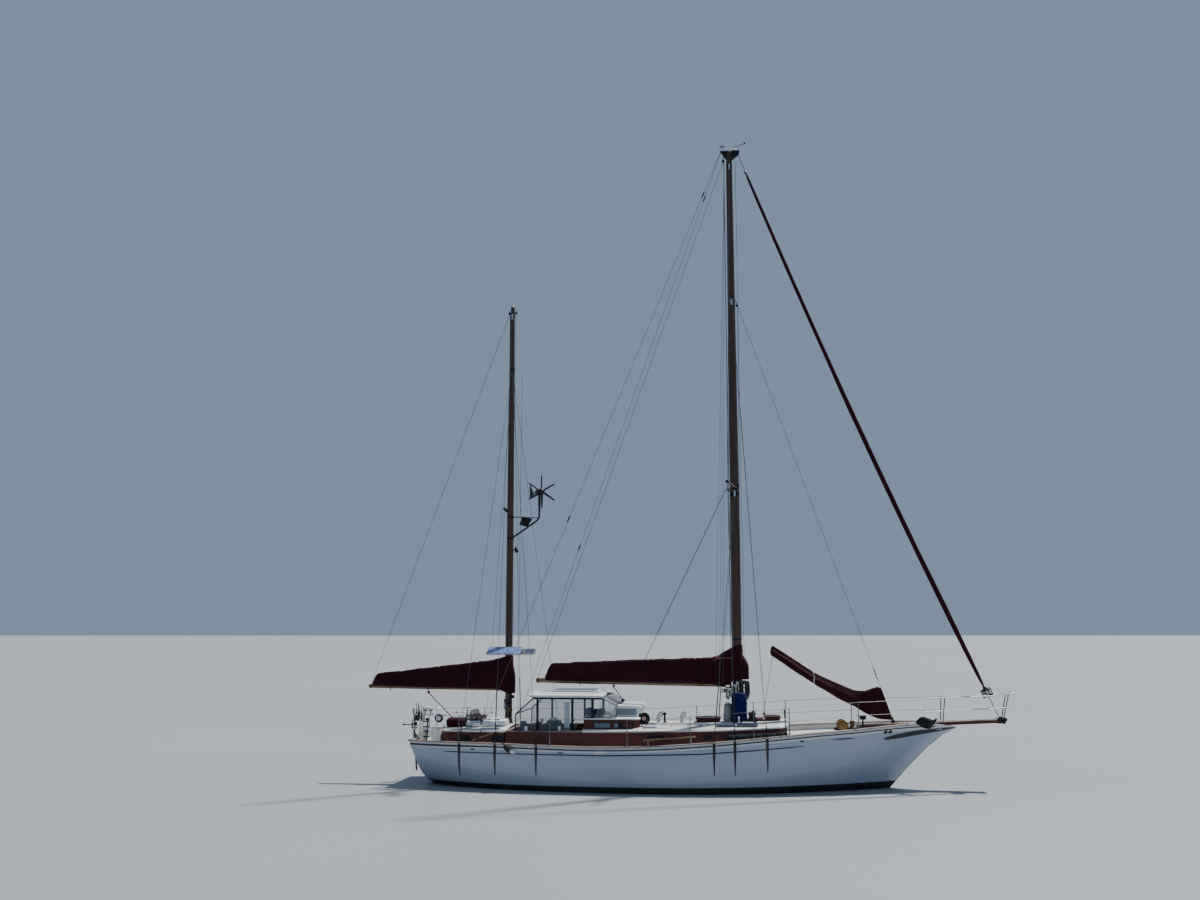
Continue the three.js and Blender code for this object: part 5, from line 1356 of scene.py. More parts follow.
def build_masts():
    build_mast("main", MAIN_MAST, [(1.95, 0.05), (2.48, 0.2), (3.6, 0.04), (7.3, 0.12), (7.5, 0.1),
            (12.46, 0.1), (16.15, 0.09)], "main_mast", 1.6, 2.6)
    build_mast("mizzen", MIZZEN_MAST, [(2.335, 0.16), (6.21, 0.07), (6.77, 0.06), (10.72, 0.09),
            (12.2, 0.08)], "mizzen_mast", 1.45, 2.45)
    crane = Shape().prism([(1.16, 16.59), (1.7, 16.59), (1.69, 16.5), (1.5, 16.33), (1.35, 16.33),
                           (1.23, 16.52)], -0.045, 0.045)
    crane.piece("masthead_crane", "dark", bevel=0.008)
    plates = Shape()
    gooseneck_plates(plates, 1.235, 1.32, 2.4097, 2.5453)
    gooseneck_plates(plates, -4.6, -4.53, 2.2847, 2.3853)
    plates.piece("gooseneck_plates", "bronze", bevel=0.004)

    spreaders, caps = Shape(), Shape()
    for side in (1, -1):
        root = Vector((1.42, side * 0.1, 7.463))
        tip = Vector((1.25, side * 0.968, 7.52))
        rings = []
        for t in spaced(0.0, 1.0, 0.1):
            centre = root.lerp(tip, t)
            wide = 0.075 + (0.04 - 0.075) * t
            deep = 0.032 + (0.02 - 0.032) * t
            rings.append([(centre.x + wide * cos(a), centre.y, centre.z + deep * sin(a))
                          for a in around(16)])
        spreaders.rings(rings)
        caps.lathe(tip - Vector((0, side * 0.03, 0)), (0, side, 0),
                   [(0, 0.045), (0.02, 0.046), (0.035, 0.038), (0.042, 0.02)], 14)
        caps.box((1.35, side * 0.09, 7.4), (1.49, side * 0.13, 7.53))
    spreaders.piece("spreaders", "spar")
    caps.piece("spreader_ends", "dark", bevel=0.004)

    gear = Shape()
    gear.tube([(1.6, 0, 16.58), (1.6, 0, 16.7)], 0.014, 10)
    gear.tube([(1.56, 0, 16.69), (1.86, 0, 16.79)], 0.007, 8)
    gear.tube([(1.27, 0, 16.58), (1.24, 0, 16.725)], 0.006, 8)
    gear.tube([(1.17, 0, 16.69), (1.33, 0, 16.74)], 0.007, 8)
    for a in range(3):
        turn = radians(120 * a + 20)
        arm = Vector((cos(turn), sin(turn), 0)) * 0.06
        gear.tube([(1.24, 0, 16.725), Vector((1.24, 0, 16.725)) + arm], 0.003, 6)
        gear.lathe(Vector((1.24, 0, 16.71)) + arm, UP, [(0, 0.004), (0.012, 0.018), (0.03, 0.018),
                (0.034, 0.004)], 10)
    gear.prism([(1.83, 16.765), (1.862, 16.775), (1.858, 16.8), (1.84, 16.82), (1.81, 16.8)], -0.003, 0.003)
    gear.piece("masthead_gear", "dark")
    lamp = Shape().lathe((1.58, 0, 16.592), UP, [(0, 0.03), (0.012, 0.032), (0.015, 0.042), (0.055, 0.042),
            (0.07, 0.03), (0.076, 0.01)], 18)
    lamp.piece("mast_lamps", "white")

    blocks = Shape()
    for x, y, z in ((1.29, 0.0, 16.45), (1.6, 0.0, 16.44), (1.25, -0.02, 16.3), (1.56, 0.0, 12.3),
                    (-4.37, 0.05, 12.3), (-4.54, 0.0, 12.28)):
        blocks.lathe((x, y - 0.014, z), (0, 1, 0), [(0, 0.02), (0.004, 0.036), (0.024, 0.036),
                (0.028, 0.02)], 18)
        blocks.tube([(x, y, z + 0.02), (x, y, z + 0.11)], 0.006, 8)
    blocks.piece("mast_blocks", "dark")

    cleats, turns = Shape(), Shape()
    for mast, places in ((MAIN_MAST, [(-90, 2.05), (-90, 2.3), (-40, 2.15), (90, 2.05), (90, 2.3),
            (150, 2.1), (-150, 2.2)]), (MIZZEN_MAST, [(-90, 1.85), (-90, 2.12), (90, 1.85), (90, 2.12)])):
        for angle, z in places:
            out = Vector((cos(radians(angle)), sin(radians(angle)), 0))
            place = Vector((mast["x"], 0, z)) + out * mast_radius(mast, z)
            cleat(cleats, place, out, UP)
            rope_turns(turns, place, out, UP)
    cleats.piece("mast_cleats", "bronze")
    turns.piece("made_fast_halyards", "rope_grey")
    winches = Shape()
    for mast, angle, z in ((MAIN_MAST, -60, 2.6), (MAIN_MAST, 60, 2.6), (MIZZEN_MAST, -60, 2.1)):
        out = Vector((cos(radians(angle)), sin(radians(angle)), 0))
        place = Vector((mast["x"], 0, z - 0.3)) + out * (mast_radius(mast, z) - 0.01)
        winches.lathe(place, out, [(0, 0.05), (0.02, 0.05), (0.024, 0.04), (0.06, 0.032), (0.09, 0.038),
                (0.1, 0.046), (0.11, 0.046), (0.115, 0.02)], 20)
    winches.piece("mast_winches", "bronze")


build_masts()


# Booms
MAIN_BOOM = {"start": Vector((1.12, 0, 2.475)), "end": Vector((-3.74, 0, 2.548)), "radius": 0.07,
             "half": 0.06}
MIZZEN_BOOM = {"start": Vector((-4.7, 0, 2.335)), "end": Vector((-8.18, 0, 2.375)), "radius": 0.056,
               "half": 0.048}
MAIN_PIN = {"x": 1.235, "low": 2.41, "high": 2.545, "radius": 0.02, "neck": 0.024}
MIZZEN_PIN = {"x": -4.6, "low": 2.285, "high": 2.385, "radius": 0.017, "neck": 0.02}


def boom_at(boom, x):
    return boom["start"].lerp(boom["end"], (x - boom["start"].x) / (boom["end"].x - boom["start"].x))


def build_boom(body, boom, pin, bail_places, replaced):
    rings = []
    length = boom["start"].x - boom["end"].x
    for t in [0.0, 0.002, 0.006] + spaced(0.02, 0.98, 0.04) + [0.99, 0.996, 1.0]:
        near_end = min(t, 1 - t) * length
        shrink = min(1.0, 0.72 + near_end * 14) if near_end < 0.02 else 1.0
        taper = 1.0 - 0.12 * max(0.0, t - 0.6) / 0.4
        centre = boom["start"].lerp(boom["end"], t)
        rings.append([(centre.x, boom["half"] * shrink * taper * cos(a), centre.z
                       + boom["radius"] * shrink * taper * sin(a)) for a in around(24, 0.5)])
    Shape().rings(rings).piece(body + "_pole", "boom", body, (replaced,))
    fittings = Shape()
    z = boom["start"].z
    fittings.tube([(pin["x"], 0, z), (boom["start"].x - 0.05, 0, z)], pin["neck"], 16)
    fittings.tube([(pin["x"], 0, pin["low"]), (pin["x"], 0, pin["high"])], pin["radius"], 16)
    for x, width in [(boom["start"].x - 0.03, 0.07), (boom["end"].x + 0.06, 0.05)] + [(x, 0.03)
            for x in bail_places]:
        rings = []
        for dx in (-width / 2, width / 2):
            c = boom_at(boom, x + dx)
            taper = 1.0 - 0.12 * max(0.0, (boom["start"].x - x) / length - 0.6) / 0.4
            rings.append([(c.x, (boom["half"] * taper + 0.004) * cos(a),
                           c.z + (boom["radius"] * taper + 0.004) * sin(a)) for a in around(24, 0.5)])
        fittings.rings(rings)
    for x in bail_places:
        c = boom_at(boom, x)
        low = c.z - boom["radius"]
        fittings.tube([(x, -0.03, low + 0.01), (x, -0.03, low - 0.035), (x, 0.0, low - 0.055),
                       (x, 0.03, low - 0.035), (x, 0.03, low + 0.01)], 0.006, 8)
    cleat(fittings, boom_at(boom, boom["start"].x - 0.6) + Vector((0, -boom["half"], -0.01)), (0, -1, 0),
          (1, 0, 0))
    fittings.piece(body + "_fittings", "bronze", body)


build_boom("main_boom", MAIN_BOOM, MAIN_PIN, (-1.73, -2.6), "main_boom")
build_boom("mizzen_boom", MIZZEN_BOOM, MIZZEN_PIN, (-6.59, -7.6), "mizzen_boom")


# Sail covers

def fold_height(place, ties, seed):
    """How far a cover's cloth stands out or in: lumps of the sail, folds and creases round the ties."""
    p = Vector(place)
    lump = 0.011 * noise.noise(Vector((p.x * 1.9 + seed, p.y * 3, p.z * 3.2)))
    fold = 1 - abs(noise.noise(Vector((p.x * 4.2 + p.z * 2.6 + seed, 2.0 + p.y, p.z * 1.4)))) * 2
    crease = 0.006 * max(0.0, fold) ** 3
    sag = 0.004 * sin(p.x * 7.0 + 5 * noise.noise(Vector((p.x * 0.8, seed, p.z))))
    pull = 0.0
    for tie, height in ties:
        d = p.x - tie
        pull -= 0.013 * exp(-(d / 0.035) ** 2)
        fan = atan2(p.z - height, abs(d) + 0.05)
        pull += 0.006 * sin(fan * 15 + seed) * exp(-((abs(d) - 0.12) / 0.13) ** 2)
    return lump + crease + sag + pull


def cover_ring(row):
    """Section of a cover, from one hem over the ridge to the other."""
    foot, ridge, half = row
    control = [(half * 0.72, foot - 0.012), (half * 0.92, foot + 0.03), (half, foot + 0.1),
               (half * 0.8, foot + (ridge - foot) * 0.52), (half * 0.42, ridge - 0.07),
               (half * 0.2, ridge - 0.018), (0.0, ridge)]
    side = smooth_path([(0, y, z) for y, z in control], 5)
    ring = [(p.y, p.z) for p in side]
    return ring + [(-y, z) for y, z in reversed(ring[:-1])]


def build_cover(body, table, ties, node, seed):
    aft, fore = table[0][0], table[-1][0]
    places = [aft]
    while places[-1] < fore - 0.02:
        places.append(min(places[-1] + 0.045, fore))
    rings = []
    for x in places:
        ring = []
        section_ring = cover_ring(line_at(table, x))
        for k, (y, z) in enumerate(section_ring):
            before, after = section_ring[max(k - 1, 0)], section_ring[min(k + 1, len(section_ring) - 1)]
            normal = Vector((0, after[1] - before[1], before[0] - after[0])).normalized()
            edge = min(1.0, min(k, len(section_ring) - 1 - k) / 3)
            lift = fold_height((x, y, z), ties, seed) * (0.35 + 0.65 * edge)
            ring.append(Vector((x, y, z)) + normal * lift)
        rings.append(ring)
    first = rings[0]
    centre = sum(first, Vector((0, 0, 0))) / len(first)
    rings.insert(0, [p.lerp(centre, 0.45) + Vector((-0.02, 0, 0)) for p in first])
    rings.insert(0, [p.lerp(centre, 0.9) + Vector((-0.028, 0, 0)) for p in first])
    shape = Shape().rings(rings, closed=False)
    cloth(body + "_cover_cloth", shape, "maroon", body, (node,))

    trim = Shape()
    for x in np.arange(aft + 0.25, fore - 0.1, 0.42):
        foot, _, half = line_at(table, x)
        for side in (1, -1):
            trim.lathe((x, side * (half * 0.9), foot + 0.02), (0, side, 0),
                       [(0, 0.011), (0.005, 0.012), (0.008, 0.006)], 10)
    trim.piece(body + "_cover_hooks", "bronze", body)


MAIN_COVER = [(-3.48, 2.56, 2.69, 0.06), (-3.42, 2.556, 2.86, 0.085), (-3.33, 2.555, 2.985, 0.095),
              (-1.5, 2.53, 3.065, 0.125), (0.3, 2.505, 3.13, 0.135), (0.8, 2.49, 3.148, 0.13),
              (0.95, 2.445, 3.19, 0.115), (1.09, 2.425, 3.29, 0.095)]
MIZZEN_COVER = [(-8.06, 2.4, 2.52, 0.05), (-8.02, 2.398, 2.62, 0.064), (-7.95, 2.395, 2.7, 0.075),
                (-6.7, 2.37, 2.85, 0.1), (-5.49, 2.35, 2.985, 0.115), (-4.9, 2.345, 3.06, 0.105),
                (-4.74, 2.345, 3.105, 0.08)]
# Where a cover is drawn in a little. Columns: x, height
MAIN_TIES = [(-2.9, 2.75), (-1.8, 2.8), (-0.7, 2.8), (0.35, 2.8), (0.9, 3.0)]
MIZZEN_TIES = [(-7.3, 2.6), (-6.3, 2.6), (-5.3, 2.65)]


def build_mast_collar(name, mast, cover_end, heights, fullness):
    """The cover's fore end, wrapped round the front of the mast. Its aft edges follow the boom."""
    end_x, end_half, foot, ridge = cover_end
    top_at_mast, bottom_at_mast = heights
    steps = 26
    rows = 22
    radius = mast["profile"][0][1] + 0.014
    grid = []
    for r in range(rows + 1):
        v = r / rows
        line = []
        for k in range(steps + 1):
            u = k / steps
            bend = abs(2 * u - 1)
            side = 1 if u < 0.5 else -1
            reach = min(1.0, (1 - bend) / 0.42)
            top = ridge + (top_at_mast - ridge) * reach
            bottom = foot + (bottom_at_mast - foot) * reach
            z = bottom + (top - bottom) * v
            width = end_half * (1 - 0.75 * v ** 1.6) + 0.004
            if bend > 0.58:
                t = (bend - 0.58) / 0.42
                start = Vector((mast["x"] - 0.02, side * radius, 0))
                finish = Vector((end_x - 0.02, side * width, 0))
                p = start.lerp(finish, t)
            else:
                a = radians(96) * bend / 0.58
                low_down = max(0.0, min(1.0, (top_at_mast - 0.25 - z) / 0.35))
                puffed = fullness * max(0.0, cos(a)) ** 1.5 * low_down * (2 - low_down)
                p = Vector((mast["x"] + radius * cos(a) * 1.02 + puffed, side * radius * sin(a), 0))
            out = Vector((p.x - mast["x"], p.y, 0)).normalized()
            pucker = 0.01 * noise.noise(Vector((u * 9, z * 3.1, mast["x"])))
            pucker += 0.006 * max(0.0, 1 - 2 * abs(noise.noise(Vector((u * 14 + z * 3, z * 2.0, 3.0))))) ** 2
            line.append((p.x + out.x * pucker, p.y + out.y * pucker, z))
        grid.append(line)
    shape = Shape().rings(grid, closed=False)
    obj = shape.piece(name, "maroon", None)
    thicken(obj, 0.003)
    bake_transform(obj)


def tie_out(point):
    """Away from the middle of the tie that holds the main cover's fore end to the mast."""
    return Vector((point.x - 1.25, point.y * 1.6, 0)).normalized()


def build_covers():
    build_cover("main_boom", MAIN_COVER, MAIN_TIES, "main_sail_cover", 1.7)
    build_cover("mizzen_boom", MIZZEN_COVER, MIZZEN_TIES, "mizzen_sail_cover", 8.3)
    build_mast_collar("main_cover_collar", MAIN_MAST, (1.09, 0.095, 2.43, 3.275), (3.45, 2.6),
                      0.15)
    build_mast_collar("mizzen_cover_collar", MIZZEN_MAST, (-4.74, 0.08, 2.34, 3.09),
                      (3.175, 2.22), 0.06)
    tie = Shape()
    height = 3.125
    for side in (1, -1):
        path = smooth_path([(0.93, side * 0.062, height), (1.12, side * 0.112, height + 0.004),
                            (1.3, side * 0.15, height + 0.005)], 5)
        tie.rings([[p + Vector((0, 0, dz)) + tie_out(p) * out for dz, out in ((-0.01, 0), (0.01, 0),
                (0.01, 0.004), (-0.01, 0.004))] for p in path])
    for start, middle, end in (((0.93, -0.075, 3.12), (0.86, -0.105, 3.17), (0.79, -0.1, 3.135)),
                               ((0.93, -0.075, 3.12), (0.88, -0.12, 3.09), (0.81, -0.125, 3.055)),
                               ((0.93, -0.075, 3.12), (0.96, -0.105, 3.19), (0.9, -0.095, 3.21))):
        tie.tube(smooth_path([start, middle, end], 6), 0.0105, 8)
    tie.lathe((0.93, -0.1, 3.1), UP, [(0, 0.012), (0.012, 0.026), (0.034, 0.026), (0.046, 0.012)], 12)
    obj = tie.piece("main_cover_tie", "pink_webbing", None)
    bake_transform(obj)


build_covers()


# Staysail on its boom. Slices of the cover, from its aft tip round to the stay.
# Columns: foot x, foot z, top x, top z, half width
STAYSAIL_SLICES = [
    (2.262, 3.262, 2.275, 3.395, 0.05), (2.3, 3.22, 2.31, 3.44, 0.068), (2.8, 2.88, 2.8, 3.124, 0.094),
    (3.395, 2.486, 3.395, 2.739, 0.108), (3.96, 2.16, 3.96, 2.481, 0.118), (4.3, 1.986, 4.3, 2.351, 0.121),
    (4.568, 1.83, 4.568, 2.328, 0.119), (4.868, 1.7, 4.868, 2.428, 0.096), (5.0, 1.682, 4.925, 2.413, 0.084),
    (5.13, 1.674, 4.956, 2.4, 0.07), (5.205, 1.678, 4.972, 2.39, 0.046)]
STAY_FOOT = Vector((5.215, 0, 1.64))
STAY_TOP = Vector((1.52, 0, 12.46))
STAYSAIL_BOOM = {"heel": Vector((5.175, 0, 1.652)), "tip": Vector((2.25, 0, 3.3)), "radius": 0.045}


def on_forestay(z):
    return STAY_FOOT.lerp(STAY_TOP, (z - STAY_FOOT.z) / (STAY_TOP.z - STAY_FOOT.z))


def build_staysail():
    body = "staysail_boom"
    heel, tip, radius = STAYSAIL_BOOM["heel"], STAYSAIL_BOOM["tip"], STAYSAIL_BOOM["radius"]
    points = [heel.lerp(tip, t) for t in [0.0, 0.004, 0.01] + spaced(0.04, 0.97, 0.06) + [0.985, 0.995, 1.0]]
    radii = [radius * 0.8, radius * 0.95] + [radius] * (len(points) - 4) + [radius * 0.95, radius * 0.75]
    Shape().tube(points, radii, 24).piece("staysail_boom_pole", "boom", body, ("staysail_boom",))
    ring_shape = Shape()
    axis = (STAY_TOP - STAY_FOOT).normalized()
    low = on_forestay(1.632)
    rows = [(0.0, 0.013), (0.0, 0.034), (0.002, 0.036), (0.018, 0.036), (0.02, 0.034), (0.068, 0.034),
            (0.072, 0.03), (0.072, 0.013)]
    ring_shape.lathe(low, axis, rows, 20)
    for t in (0.03, 0.97):
        c = heel.lerp(tip, t)
        along_boom = (tip - heel).normalized()
        ring_shape.lathe(c - along_boom * 0.02, along_boom, [(0, 0.046), (0.002, 0.05), (0.038, 0.05),
                (0.04, 0.046)], 24)
    ring_shape.piece("staysail_boom_fittings", "bronze", body)

    slices = np.array(STAYSAIL_SLICES)
    lengths = [0.0]
    for a, b in zip(slices[:-1], slices[1:]):
        lengths.append(lengths[-1] + float(np.hypot(*(((b[:2] + b[2:4]) - (a[:2] + a[2:4])) / 2))))
    by_length = [(s, *row) for s, row in zip(lengths, STAYSAIL_SLICES)]

    def slice_at(s):
        """Foot and top of the cover at a length along it, its height, its half width and the way up."""
        foot_x, foot_z, top_x, top_z, half = line_at(by_length, s)
        foot, top = Vector((foot_x, 0, foot_z)), Vector((top_x, 0, top_z))
        return foot, (top - foot).length, half, (top - foot).normalized()

    rings = []
    tie = 1.25
    s = 0.0
    while True:
        foot, height, half, up = slice_at(s)
        section_ring = cover_ring((0.0, height, half))
        under = [(half * 0.3, -0.035), (0.006, -0.042)]
        section_ring = [(y, z) for y, z in reversed(under)] + section_ring + [(-y, z) for y, z in under]
        pull = -0.012 * exp(-((s - tie) / 0.035) ** 2)
        ring = []
        for k, (y, z) in enumerate(section_ring):
            before, after = section_ring[max(k - 1, 0)], section_ring[min(k + 1, len(section_ring) - 1)]
            across = Vector((after[1] - before[1], before[0] - after[0]))
            across = across.normalized() if across.length > 1e-6 else Vector((0, 1))
            fold = 0.01 * noise.noise(Vector((s * 2.3, y * 4, z * 3.0 + 4)))
            fold += 0.007 * max(0.0, 1 - 2 * abs(noise.noise(Vector((s * 5 + z * 3, y * 2, z * 1.5))))) ** 3
            lift = fold + pull
            ring.append(foot + up * (z + across.y * lift) + Vector((0, y + across.x * lift, 0)))
        rings.append(ring)
        if s >= lengths[-1]:
            break
        s = min(s + 0.04, lengths[-1])
    first = rings[0]
    centre = sum(first, Vector((0, 0, 0))) / len(first)
    rings.insert(0, [p.lerp(centre, 0.8) + Vector((-0.012, 0, 0.01)) for p in first])
    shape = Shape().rings(rings, closed=False)
    cloth("staysail_cover_cloth", shape, "maroon", body,
          ("staysail_cover",))
    foot, height, half, up = slice_at(tie)
    run = up.cross(Vector((0, 1, 0))).normalized()
    grown = []
    for y, z in [(0.0, -0.045)] + cover_ring((-0.01, height, half)):
        out = Vector((0, y, 0)) + up * (z - height * 0.45)
        grown.append(foot + up * z + Vector((0, y, 0)) - out.normalized() * 0.006)
    Shape().plate(grown, run * 0.012).piece("staysail_cover_ties", "rope_light", body)


build_staysail()


# Furled headsail on the outer stay
HEADSTAY_TOP = Vector((1.66, 0, 16.48))
HEADSTAY_FOOT = Vector((7.8, 0, 1.65))
# Columns: height, radius of the roll
ROLL = [(2.46, 0.022), (2.55, 0.034), (2.75, 0.046), (3.2, 0.056), (4.0, 0.064), (6.0, 0.066), (9.0, 0.061),
        (12.5, 0.05), (15.2, 0.04), (15.75, 0.034), (15.9, 0.022)]
HEADSTAY_SAG = 0.145


def on_headstay(z):
    share = (HEADSTAY_TOP.z - z) / (HEADSTAY_TOP.z - HEADSTAY_FOOT.z)
    return HEADSTAY_TOP.lerp(HEADSTAY_FOOT, share) - Vector((4 * HEADSTAY_SAG * share * (1 - share), 0, 0))


def build_headsail():
    axis = (HEADSTAY_TOP - HEADSTAY_FOOT).normalized()
    side = axis.orthogonal().normalized()
    other = axis.cross(side)
    turns = 2.3
    points_around = 44
    rings = []
    heights = spaced(ROLL[0][0], ROLL[-1][0], 0.085)
    for z in heights:
        outer = line_at(ROLL, z)[0]
        centre = on_headstay(z)
        wrap = -z * 0.62
        ring = []
        for k in range(points_around + 1):
            t = k / points_around
            a = wrap + 2 * pi * turns * t
            wave = 0.0035 * noise.noise(Vector((cos(a) * 1.4, sin(a) * 1.4, z * 2.6))) * t
            ridge = abs(noise.noise(Vector((a * 0.5, z * 3.0 + a * 0.8, 7.0))))
            crease = 0.003 * max(0.0, 1 - 2 * ridge) ** 2 * t
            radius = outer * (0.45 + 0.55 * t ** 0.8) + wave + crease
            ring.append(centre + (side * cos(a) + other * sin(a)) * radius)
        rings.append(ring)
    shape = Shape().rings(rings, closed=False)
    cloth("headsail_roll", shape, "maroon", "hull",
          ("furled_headsail",), 0.002)
    foil = Shape().tube([on_headstay(z) for z in spaced(1.64, 16.5, 0.6)], 0.011, 12)
    foil.piece("headstay_foil", "grey_metal")
    fittings = Shape()
    fittings.lathe(on_headstay(15.9), axis, [(0, 0.02), (0.01, 0.038), (0.06, 0.042), (0.1, 0.04),
            (0.13, 0.02)], 20)
    fittings.piece("furling_swivel", "grey_metal")
    drum = Shape()
    base = on_headstay(2.215)
    drum.lathe(base, axis, [(0, 0.03), (0.008, 0.128), (0.016, 0.135), (0.03, 0.132), (0.036, 0.085),
                            (0.165, 0.08), (0.172, 0.13), (0.184, 0.135), (0.196, 0.125), (0.205, 0.05),
                            (0.25, 0.04), (0.262, 0.026)], 32)
    for a in around(8, 0.5):
        out = (side * cos(a) + other * sin(a)) * 0.126
        drum.tube([base + out + axis * 0.02, base + out + axis * 0.186], 0.008, 8)
    drum.piece("furling_drum", "dark")
    line = Shape()
    spiral = []
    for k in range(9 * 24):
        a = 2 * pi * k / 24
        base = on_headstay(2.215) + axis * (0.045 + 0.0125 * k / 24)
        spiral.append(base + (side * cos(a) + other * sin(a)) * 0.092)
    line.tube(spiral, 0.0075, 6)
    line.piece("furling_line_on_drum", "rope_light")
    screw = Shape()
    foot = on_headstay(1.7)
    screw.lathe(foot, axis, [(0, 0.012), (0.01, 0.022), (0.05, 0.022), (0.06, 0.015), (0.1, 0.013),
                             (0.11, 0.022), (0.3, 0.022), (0.31, 0.013), (0.4, 0.012)], 14)
    screw.piece("headstay_screw", "steel")


build_headsail()


# Rigging ends and running rigging

CAP_HEIGHT = 0.032
# Shrouds. Columns: foot x, how far outside the sheer, mast, height of the top
SHROUDS = [(0.86, 0.0, MAIN_MAST, 7.33), (2.11, 0.0, MAIN_MAST, 12.4), (-5.38, -0.012, MIZZEN_MAST, 10.72),
           (-4.45, 0.01, MIZZEN_MAST, 12.2), (-3.41, 0.02, MIZZEN_MAST, 10.72)]
BACKSTAYS = [(-4.68, 1), (-5.02, -1)]


def spreader_tip(side):
    return Vector((1.25, side * 0.97, 7.52))


def shroud_foot(x, out, side):
    return Vector((x, side * (sheer_y(x) + out), sheer_z(x) + CAP_HEIGHT - 0.006))


def turnbuckle(shape, foot, top, start=0.03, length=0.34):
    direction = (Vector(top) - Vector(foot)).normalized()
    base = Vector(foot) + direction * start
    k = length / 0.34
    shape.lathe(base, direction, [(0, 0.008), (0.01 * k, 0.013), (0.05 * k, 0.013), (0.06 * k, 0.008),
            (0.1 * k, 0.008), (0.11 * k, 0.015), (0.24 * k, 0.015), (0.25 * k, 0.008), (0.29 * k, 0.008),
            (0.3 * k, 0.013), (0.34 * k, 0.01)], 12)


def line(shape, a, b, radius, steps=1):
    shape.tube([Vector(a).lerp(Vector(b), k / steps) for k in range(steps + 1)], radius, 6)


def build_wires():
    pairs = ("main_cap_shroud", "main_lower_shroud", "mizzen_cap_shroud", "mizzen_lower_shrouds", "backstay")
    dress("wire", "inner_forestay", *(name + "_" + word for name in pairs for word in ("port", "starboard")))
    screws, tangs, insulators, eyes = Shape(), Shape(), Shape(), Shape()
    for side in (1, -1):
        for x, out, mast, z in SHROUDS:
            foot = shroud_foot(x, out, side)
            top = Vector((mast["x"], side * (mast_radius(mast, z) + 0.005), z))
            turnbuckle(screws, foot, top)
            r = mast_radius(mast, z)
            tangs.box((mast["x"] - 0.022, side * (r - 0.004), z - 0.1),
                      (mast["x"] + 0.022, side * (r + 0.009), z + 0.05))
            eyes.box((x - 0.026, foot.y - 0.007, foot.z - 0.02), (x + 0.026, foot.y + 0.007, foot.z + 0.045))
        foot = shroud_foot(1.35, 0.017, side)
        turnbuckle(screws, foot, spreader_tip(side))
        eyes.box((1.324, foot.y - 0.007, foot.z - 0.02), (1.376, foot.y + 0.007, foot.z + 0.045))
        r = mast_radius(MAIN_MAST, 16.15)
        tangs.box((1.4, side * (r - 0.004), 16.05), (1.44, side * (r + 0.009), 16.2))
    for x, side in BACKSTAYS:
        foot = Vector((x, side * (sheer_y(x) - 0.075), deck_z(x, sheer_y(x) - 0.075)))
        top = Vector((1.19, side * 0.03, 16.545))
        turnbuckle(screws, foot, top, 0.04, 0.42)
        for z in (15.34, 6.62 if side < 0 else 6.02):
            t = (z - foot.z) / (top.z - foot.z)
            insulators.lathe(foot.lerp(top, t), top - foot, [(-0.09, 0.008), (-0.07, 0.018), (-0.03, 0.014),
                    (0.0, 0.024), (0.03, 0.014), (0.07, 0.018), (0.09, 0.008)], 12)
    turnbuckle(screws, on_forestay(2.62), on_forestay(4.0), 0.0, 0.3)
    screws.piece("rigging_screws", "dark")
    sleeves = Shape()
    for x, out, top in ((0.86, 0.0, MAIN_MAST["x"]), (1.35, 0.017, None), (-4.45, 0.01, MIZZEN_MAST["x"])):
        for side in (1, -1):
            foot = shroud_foot(x, out, side)
            head = spreader_tip(side) if top is None else Vector((top, side * 0.1, 7.33 if x > 0 else 12.2))
            run = (head - foot).normalized()
            sleeves.lathe(foot + run * 0.36, run, [(0, 0.009), (0.004, 0.0135), (1.1, 0.0135),
                    (1.104, 0.009)], 14)
    sleeves.piece("shroud_sleeves", "rubber")
    tangs.piece("mast_tangs", "steel", bevel=0.002, segments=1)
    insulators.piece("backstay_insulators", "rubber")
    eyes.piece("shroud_eyes", "dark", bevel=0.003, segments=1)


